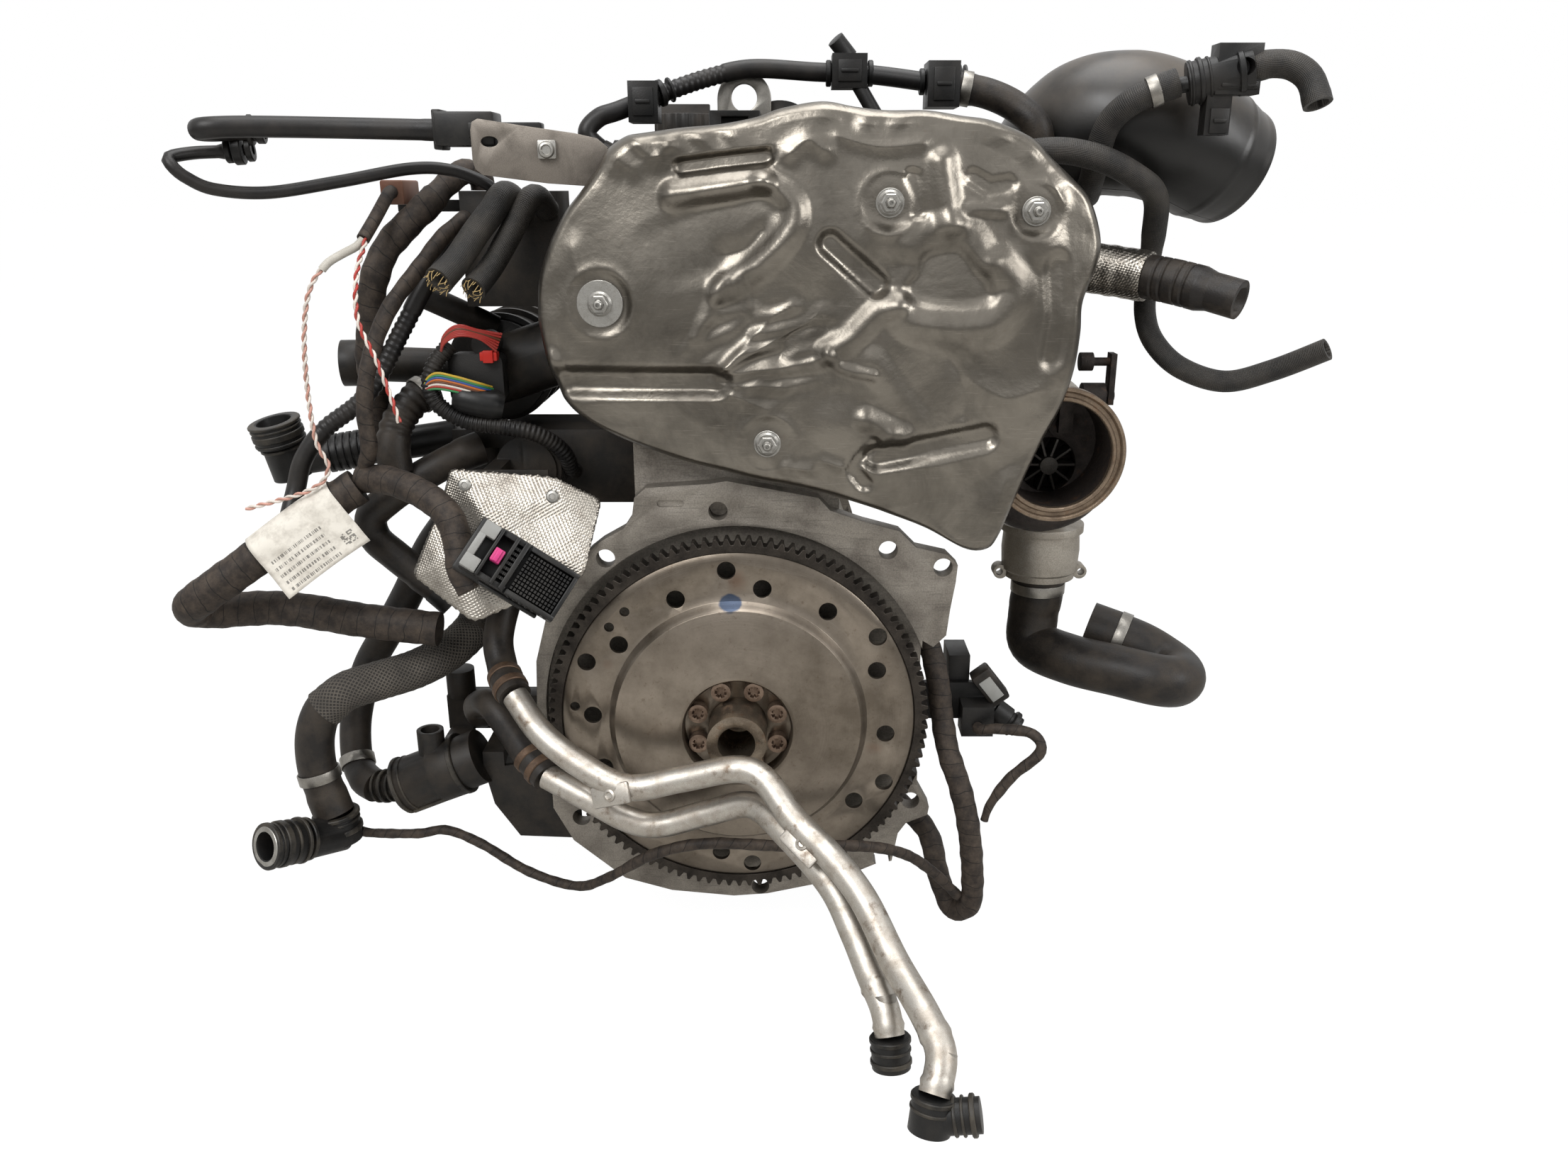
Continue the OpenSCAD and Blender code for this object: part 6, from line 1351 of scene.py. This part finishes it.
# The same, dyed through, for sliders and locks: light grey, magenta and red.
grey_nylon = moulded("grey_polyamide_slider", "#8b8b88", "#6a665f", 0.42, 0.5, 0.7, 0.00005)
magenta_nylon = moulded("magenta_polyamide_lock", "#c23a78", "#8a3158", 0.38, 0.4, 0.7, 0.00005)
red_nylon = moulded("red_polyamide_lock", "#b5261d", "#7c241c", 0.36, 0.4, 0.7, 0.00005)

housing = [
    block("floor", (-26, -18, 0), (44, 18, 6), 0.001, plug_frame),
    block("wall", (8, -18, 5), (44, -14.5, 17), 0.0006, plug_frame),
    block("wall", (8, 14.5, 5), (44, 18, 17), 0.0006, plug_frame),
    block("wall", (41, -15, 5), (44, 15, 17), 0.0006, plug_frame),
    block("rail", (3, -17.5, 5), (6.5, 17.5, 20), 0.0006, plug_frame),
    block("rail", (-3.6, -17.5, 5), (-1, 17.5, 20), 0.0006, plug_frame),
    block("rail", (-14.4, -17.5, 5), (-12.2, 17.5, 20), 0.0006, plug_frame),
    block("bridge", (-13, -18, 5), (7, -14, 17), 0.0006, plug_frame),
    block("bridge", (-13, 14, 5), (7, 18, 17), 0.0006, plug_frame),
    block("shoulder", (-26, -18, 5), (-14, 18, 11), 0.0008, plug_frame),
    block("cover", (-30, -20, -14), (4, 20, 0.5), 0.002, plug_frame),
    block("lever", (-10, -20.2, -8), (34, -18, 3), 0.0008, plug_frame),
    block("lever", (-10, 18, -8), (34, 20.2, 3), 0.0008, plug_frame)]
for k in range(7):
    housing.append(block("latch", (10 + k * 4.6, -18.6, 7), (12.2 + k * 4.6, -17.6, 14), 0.0003,
                         plug_frame))
for i in range(13):
    for j in range(10):
        left, front = 9.4 + i * 2.42, -13.6 + j * 2.76
        high = 17.5 - 0.6 * (i % 3 == 1)
        housing.append(block("pin", (left, front, 5), (left + 1.5, front + 1.9, high), 0,
                             plug_frame))
for i in range(3):
    for j in range(7):
        left, front = i * 1.4, j * 3.6
        housing.append(block("pin", (-1 + left, -12 + front, 5), (0.1 + left, -10 + front, 18), 0,
                             plug_frame))
plug = joined("control_unit_plug", housing)
set_in(plug, "engine", "black_cover", plug_nylon, "ecu_connector")
slider = joined("plug_slider", [
    block("slider", (-26, -17, 10.8), (-15, -7.5, 20), 0.0008, plug_frame),
    block("slider", (-26, -8, 10.8), (-21, 8, 20), 0.0008, plug_frame),
    block("slider", (-26, 7.5, 10.8), (-15, 17, 20), 0.0008, plug_frame)])
slider.data.materials.append(grey_nylon)
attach(slider, "engine")
lock = joined("plug_lock_slide", [
    block("lock", (-11.4, -4.6, 12.3), (-4.6, 4.6, 22.6), 0.0007, plug_frame),
    block("lock", (-9.5, -4.3, 22.4), (-6.5, 4.3, 24), 0.0004, plug_frame)])
set_in(lock, frame["nodes"]["connector_lock"]["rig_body"], "lock_magenta", magenta_nylon,
       "connector_lock")


# ---- Line bracket and its bolt
# A flat plate of 2 mm steel with rounded corners, a slot and a square weld nut with its bolt.
bracket_edge = metres((-159, 0, 407), (-132, 0, 403), (-99, 0, 398.5), (-85, 0, 395.5),
                      (-78, 0, 390), (-78, 0, 368), (-94, 0, 367), (-117, 0, 368.5),
                      (-158, 0, 373.5), (-162.5, 0, 377), (-164, 0, 382), (-164, 0, 400),
                      (-162.8, 0, 405))
bracket_mesh = bpy.data.meshes.new("line_bracket_plate")
bracket_mesh.from_pydata([(p[0], -0.003, p[2]) for p in bracket_edge], [],
                         [list(range(len(bracket_edge)))])
bracket = new_piece("line_bracket_plate", bracket_mesh)
bpy.ops.object.mode_set(mode="EDIT")
bpy.ops.mesh.select_all(action="SELECT")
bpy.ops.mesh.extrude_region_move(TRANSFORM_OT_translate={"value": (0, 0.002, 0)})
bpy.ops.mesh.select_all(action="SELECT")
bpy.ops.mesh.normals_make_consistent(inside=False)
bpy.ops.object.mode_set(mode="OBJECT")
# The slot's cutter is a round rod, stretched to an oval and moved back to its place.
cutter = hose("slot_cutter", metres((-152.5, -6, 393.4), (-152.5, 3, 393.4)), 0.0032)
cutter.scale = (1.7, 1, 1)
cutter.location.x = 0.1068
select_only(bracket)
apply_modifier(bracket, "BOOLEAN", object=cutter, solver="EXACT")
bpy.data.objects.remove(cutter)
apply_modifier(bracket, "BEVEL", width=0.0004, segments=2, angle_limit=radians(40))
bpy.ops.object.shade_smooth_by_angle(angle=radians(35))
# Mill-finish steel sheet: grey-brown and matt, with a film of oil.
bracket_steel = worn_metal("mill_finish_steel_sheet", "#777068", "#514b44", 0.6, 0.5, 0.7, 24, 0.6,
                           0.0001)
set_in(bracket, "engine", "bolt_steel", bracket_steel, "line_bracket")
nut = block("bracket_nut", (-122, -7, 383), (-110, -3, 394.5), 0.0012)
bolt = turned("bracket_bolt", [(0, 0), (0.0052, 0), (0.0052, 0.0006), (0.0044, 0.0022),
                               (0.0032, 0.0026), (0.0026, 0.0012), (0, 0.0012)],
              (-0.116, -0.007, 0.3885), (0, -1, 0), 40)
fixing = joined("bracket_fixing", [nut, bolt])
set_in(fixing, "engine", "bolt_steel", zinc_plate, "line_bracket")
clip = joined("bracket_clip", [
    block("clip", (-188, 1, 391), (-150, 26, 411.5), 0.0015),
    block("clip", (-166, -0.9, 396), (-120, 12, 405), 0.001),
    block("clip", (-190, 5, 389), (-184, 24, 413), 0.001),
    block("clip", (-91, -0.9, 370), (-79, 13.9, 388), 0.001)])
set_in(clip, "engine", "black_cover", plug_nylon, "line_bracket")


# ---- Locks and loose wires of the plugs beside the intake
# Red locks on two black plugs, and a bundle of thin coloured leads that arches over each: seven
# at the upper one and eight at the lower one, which has a black boot below it.
for k, (x, z) in enumerate(((-172, 255), (-185, 230))):
    red_lock = joined(f"red_plug_lock_{k + 1}", [
        block("tab", (x - 6, 30, z - 3), (x + 6, 38, z + 3), 0.0006),
        block("tab", (x - 3.5, 28.5, z - 4.2), (x + 3.5, 33, z + 4.2), 0.0005)])
    red_lock.data.materials.append(red_nylon)
    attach(red_lock, "engine")
# More PVC colours of the leads, as smooth and as dusty as the twisted pairs.
yellow_pvc = wire_skin("yellow_pvc_insulation", "#b99a2e")
green_pvc = wire_skin("green_pvc_insulation", "#2e7a48")
blue_pvc = wire_skin("blue_pvc_insulation", "#2c4f8f")
orange_pvc = wire_skin("orange_pvc_insulation", "#b3622a")
brown_pvc = wire_skin("brown_pvc_insulation", "#5a3524")
mixed = (yellow_pvc, green_pvc, blue_pvc, orange_pvc, brown_pvc, white_pvc, red_pvc, green_pvc)


def lay_lead(name, route, insulation):
    """A thin loose wire along a route, in one colour."""
    lead = hose(name, route, wire_radius, spacing=0.002, sides=10)
    lead.data.materials.append(insulation)
    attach(lead, "engine")


for k in range(7):
    lift = 1.9 * k
    lay_lead(f"red_lead_{k + 1}", metres(
        (-205, 30 + 0.8 * k, 254), (-201, 26, 264 + 0.4 * lift), (-190, 24, 270 + 0.6 * lift),
        (-176, 25, 268 + 0.5 * lift), (-166 + 0.8 * k, 30, 259 + lift)),
        red_pvc if k != 4 else brown_pvc)
for k, insulation in enumerate(mixed):
    low = 1.5 * k
    lay_lead(f"mixed_lead_{k + 1}", metres(
        (-216, 26, 226 + 0.5 * k), (-215, 22, 238 - 0.5 * low), (-207, 20, 245 - low),
        (-194, 20, 243 - low), (-178, 22, 238 - low), (-171 + 0.6 * k, 30, 234 - low)), insulation)
boot = hose("lead_boot", metres((-196, 28, 228), (-180, 27, 224), (-164, 30, 220)), 0.0105,
            sides=28, swell=lambda s, left: 0.8 + 0.2 * min(1, s / 0.006, left / 0.006))
boot.data.materials.append(plug_nylon)
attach(boot, "engine")


# ---- Rings of the couplings and the pump, and the ears of the pipes
# Snap rings, sealing lips and latches that stand on the quick couplings, the ribs of the pump
# barrel, the brown clamps on the pipe hoses, and the crimped ears that hold the pipes together.
def bands(name, start, heading, rings, inner, material):
    """Rings on a round body, in millimetres: each is its distance along the axis, its width and
    its radius. They share an inner radius."""
    start, heading = Vector(start) / 1000, Vector(heading).normalized()
    pieces = []
    for at, width, radius in rings:
        at, width, radius = at / 1000, width / 1000, radius / 1000
        soft = min(0.0006, width / 4)
        pieces.append(turned("ring", [
            (inner / 1000, at), (radius - soft, at), (radius, at + soft),
            (radius, at + width - soft), (radius - soft, at + width), (inner / 1000, at + width)],
            start, heading))
    ring = joined(name, pieces)
    ring.data.materials.append(material)
    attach(ring, "engine")
    return ring


# Glass-filled polyamide of couplings, chalky where it is scuffed.
coupling_nylon = moulded("glass_filled_polyamide_coupling", "#141312", "#5d564b", 0.42, 0.6, 0.8,
                         0.00015)
bands("lower_coupling_rings", (-302, -6, -97), (-35, -50, 17),
      [(30, 3, 16), (36, 2.5, 17.2), (44, 2, 16.6), (50, 5, 17), (57, 1.6, 16.2), (60.5, 3.2, 17)],
      12.5, coupling_nylon)
bands("lower_coupling_seal", (-302, -6, -97), (-35, -50, 17), [(61.5, 2.6, 14.6)], 10.8, zinc_plate)
bands("lower_coupling_collar", (-306, -4.5, -80), (2, -0.5, -21),
      [(1, 3, 17.4), (6, 2, 16.8), (12, 4, 17.6)], 13, coupling_nylon)
bands("left_coupling_rings", (-330, 60, 164), (-1, -1, 6),
      [(22, 2.5, 16), (27, 1.8, 18.2), (31, 5, 18.4), (38, 1.6, 18.2), (41, 2.2, 18.6)], 13.5,
      coupling_nylon)
bands("pump_barrel_ribs", (-262, 20, -72), (64, 0, 26),
      [(1, 3, 22.6), (8, 1.4, 21.7), (46, 2, 22.4), (50, 4, 24)], 18, coupling_nylon)
barrel = Matrix.Translation((-0.262, 0.020, -0.072)) @ Vector((64, 0, 26)).to_track_quat(
    "Z", "Y").to_matrix().to_4x4()
rails = []
for turn in (150, 195, 240, 285):
    rails.append(block("rail", (-1.8, 20, 4), (1.8, 23.2, 49), 0.0007,
                       barrel @ Matrix.Rotation(radians(turn), 4, "Z")))
rail = joined("pump_barrel_rails", rails)
set_in(rail, "engine", "black_cover", coupling_nylon, "coolant_pump")
bands("pump_inlet_rings", (-284, 27, -76), (24, -7, 5), [(2, 2, 12.8), (8, 3, 13.2), (15, 2, 12.6)],
      8, coupling_nylon)
# Band clamps of spring steel that have rusted brown.
rusted_band = worn_metal("rusted_spring_steel_band", "#5e4a3a", "#2f241c", 0.6, 0.5, 0.7, 8, 0.5)
for k, (piece, near, radius) in enumerate(((feed_a, 0.010, 12.9), (feed_a, 0.021, 12.6),
                                           (feed_b, 0.010, 12.9), (feed_b, 0.021, 12.6))):
    points = [Vector(p) for p in route_of(piece)]
    i = len(points) - 1 - round(near / (points[1] - points[0]).length)
    bands(f"pipe_hose_clamp_{k + 1}", points[i] * 1000, points[i + 1] - points[i - 1],
          [(-2.5, 6, radius)], radius - 2.2, rusted_band)
bands("upper_pipe_collar", (119, -249, -126), (-3, -6, -20), [(0.5, 3, 13.4), (7, 2, 13.2)], 10,
      coupling_nylon)
bands("upper_pipe_outlet", (116, -253, -139), (29, -4, 6),
      [(14, 2, 11.2), (19, 1.6, 11.4), (24, 3, 12)], 8, coupling_nylon)
bands("lower_pipe_collar", (98, -198, -127), (1, -5, -19), [(0.5, 3, 12.9), (7, 2, 12.7),
                                                            (14, 3, 12.9)], 9, coupling_nylon)
for k, (at, along, tall) in enumerate((((-84, -73, -29), (-33, 10, -12), 15),
                                       ((46, -121, -40), (24, -22, -15), 17))):
    heading = Vector(along).normalized()
    out = Vector((0, -0.9, 0.43))
    out = (out - heading * out.dot(heading)).normalized()
    turn = Matrix((heading, out.cross(heading), out)).transposed().to_4x4()
    place = Matrix.Translation(Vector(at) / 1000) @ turn
    ear = block("ear", (-15, -tall / 2, 2), (15, tall / 2, 5.5), 0.0017, place)
    dimple = turned("dimple", [(0, 0.005), (0.0046, 0.005), (0.0042, 0.0064), (0.0028, 0.0069),
                               (0.002, 0.0058), (0, 0.0056)], (0, 0, 0), (0, 0, 1), 28)
    dimple.data.transform(place)
    crimp = joined(f"pipe_ear_{k + 1}", [ear, dimple])
    set_in(crimp, "engine", "pipe_alloy", pipe_alloy, "pipe_upper")


# ---- Outlet flange, valve and plugs of the exhaust side
# A machined lip round the turbine outlet, the snap rings of the purge valve and the breather
# joints, and the sensor plugs that hang on their bracket low on the exhaust side.
# Machined iron baked grey-brown by the exhaust.
flange_iron = worn_metal("baked_machined_iron", "#847463", "#54463a", 0.8, 0.42, 0.7, 9, 0.6,
                         0.0001, stain="#6b4f39")
lip = turned("turbine_outlet_lip", [
    (0.0379, -0.003), (0.0379, 0.0016), (0.0386, 0.0024), (0.0402, 0.0026), (0.041, 0.0018),
    (0.0414, 0.0005), (0.0438, 0.0004), (0.0444, 0.002), (0.0452, 0.0028), (0.047, 0.0026),
    (0.0476, 0.0016), (0.0477, -0.0062), (0.0471, -0.0068), (0.0471, -0.003), (0.0379, -0.003)],
    (0.224, 0.015, 0.189), (0, -1, 0), 96)
set_in(lip, "engine", "hot_iron", flange_iron, "turbine_housing")
bands("purge_valve_rings", (292, 25, 429), (38, -7, 8),
      [(1, 2, 14), (6, 3, 14.6), (12, 1.6, 14), (30, 4, 14.4)], 12, connector_nylon)
bands("breather_joint_rings", (126, 84, 435), (1, 0, 0),
      [(0, 3.5, 8.6), (25, 3, 11.6), (30, 2, 11)], 5, connector_nylon)
bands("breather_tee_rings", (62, 92, 441), (1, 0, 0), [(0, 3.5, 8.6), (29, 3.5, 8.6)], 5,
      connector_nylon)
bands("breather_elbow_rings", (-52, 76, 427), (1, 0.35, 0.35), [(-1, 4, 8.8), (7, 2, 8.2)], 5,
      connector_nylon)
for k, (low, high) in enumerate((((134, 64.4, 422), (148, 66.4, 443)),
                                 ((70, 79.4, 435), (86, 81.4, 449)),
                                 ((-69, 58.4, 412), (-55, 60.4, 430)),
                                 ((307, 10.6, 425), (333, 12.6, 430)),
                                 ((305, 12.6, 399), (317, 14.6, 414)))):
    latch = [block("latch", low, high, 0.0005)]
    middle = (Vector(low) + Vector(high)) / 2
    latch.append(block("rib", (low[0] + 2, low[1] - 1.5, middle.z - 1.2),
                       (high[0] - 2, high[1], middle.z + 1.2), 0.0004))
    catch = joined(f"joint_latch_{k + 1}", latch)
    catch.data.materials.append(connector_nylon)
    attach(catch, "engine")
bands("knock_plug_rings", (186, 43, -10), (28, -7, -20),
      [(1, 4, 10), (7, 1.6, 9.4), (11, 14, 9.8), (28, 4, 10.4)], 7, connector_nylon)
lean = Matrix.Translation((0.190, 0.036, 0.006)) @ Matrix.Rotation(radians(-38), 4, "Y")
shell = block("sensor_shell", (-8, -8, -15), (8, 8, 15), 0.002, lean)
set_in(shell, "engine", "black_cover", pan_paint, "sensor_plugs")
tab = block("sensor_shell_tab", (-5, -9, -10), (5, -7.6, 9), 0.0004, lean)
set_in(tab, "engine", "black_cover", grey_nylon, "sensor_plugs")
sleeve_box = block("sleeve_sensor", (-242, 51, 355), (-226, 89, 371), 0.0015)
# Brown polyamide of one sensor, faded and dusty.
tan_nylon = moulded("brown_polyamide_sensor", "#6a4334", "#84705f", 0.45, 0.5, 0.7)
set_in(sleeve_box, "engine", "black_cover", tan_nylon, "sensor_plugs")
# Pale polyolefin sleeve, matt and soiled.
pale_sleeve = moulded("pale_polyolefin_sleeve", "#b5b1a8", "#7f796f", 0.5, 0.6, 0.7)
fitted("wire_pair_sleeve", metres(
    (-243, 10, 334), (-247, 7.4, 329.5), (-256, 6.2, 325), (-265, 5, 320), (-270, 3.8, 315)),
    0.0027, pale_sleeve, "wire_pairs", sides=20)
bands("vacuum_line_clip", (-317, 16, 389), (13, 2, 1),
      [(-10, 4, 7.5), (-5, 6, 9), (3, 4, 7.5)], 3.4, connector_nylon)
bands("fuel_line_clip", (-304, 14, 401), (-12, -2, 0), [(-4, 5, 8.4), (3, 3, 9.4)], 5.6,
      connector_nylon)

bpy.ops.object.select_all(action="DESELECT")
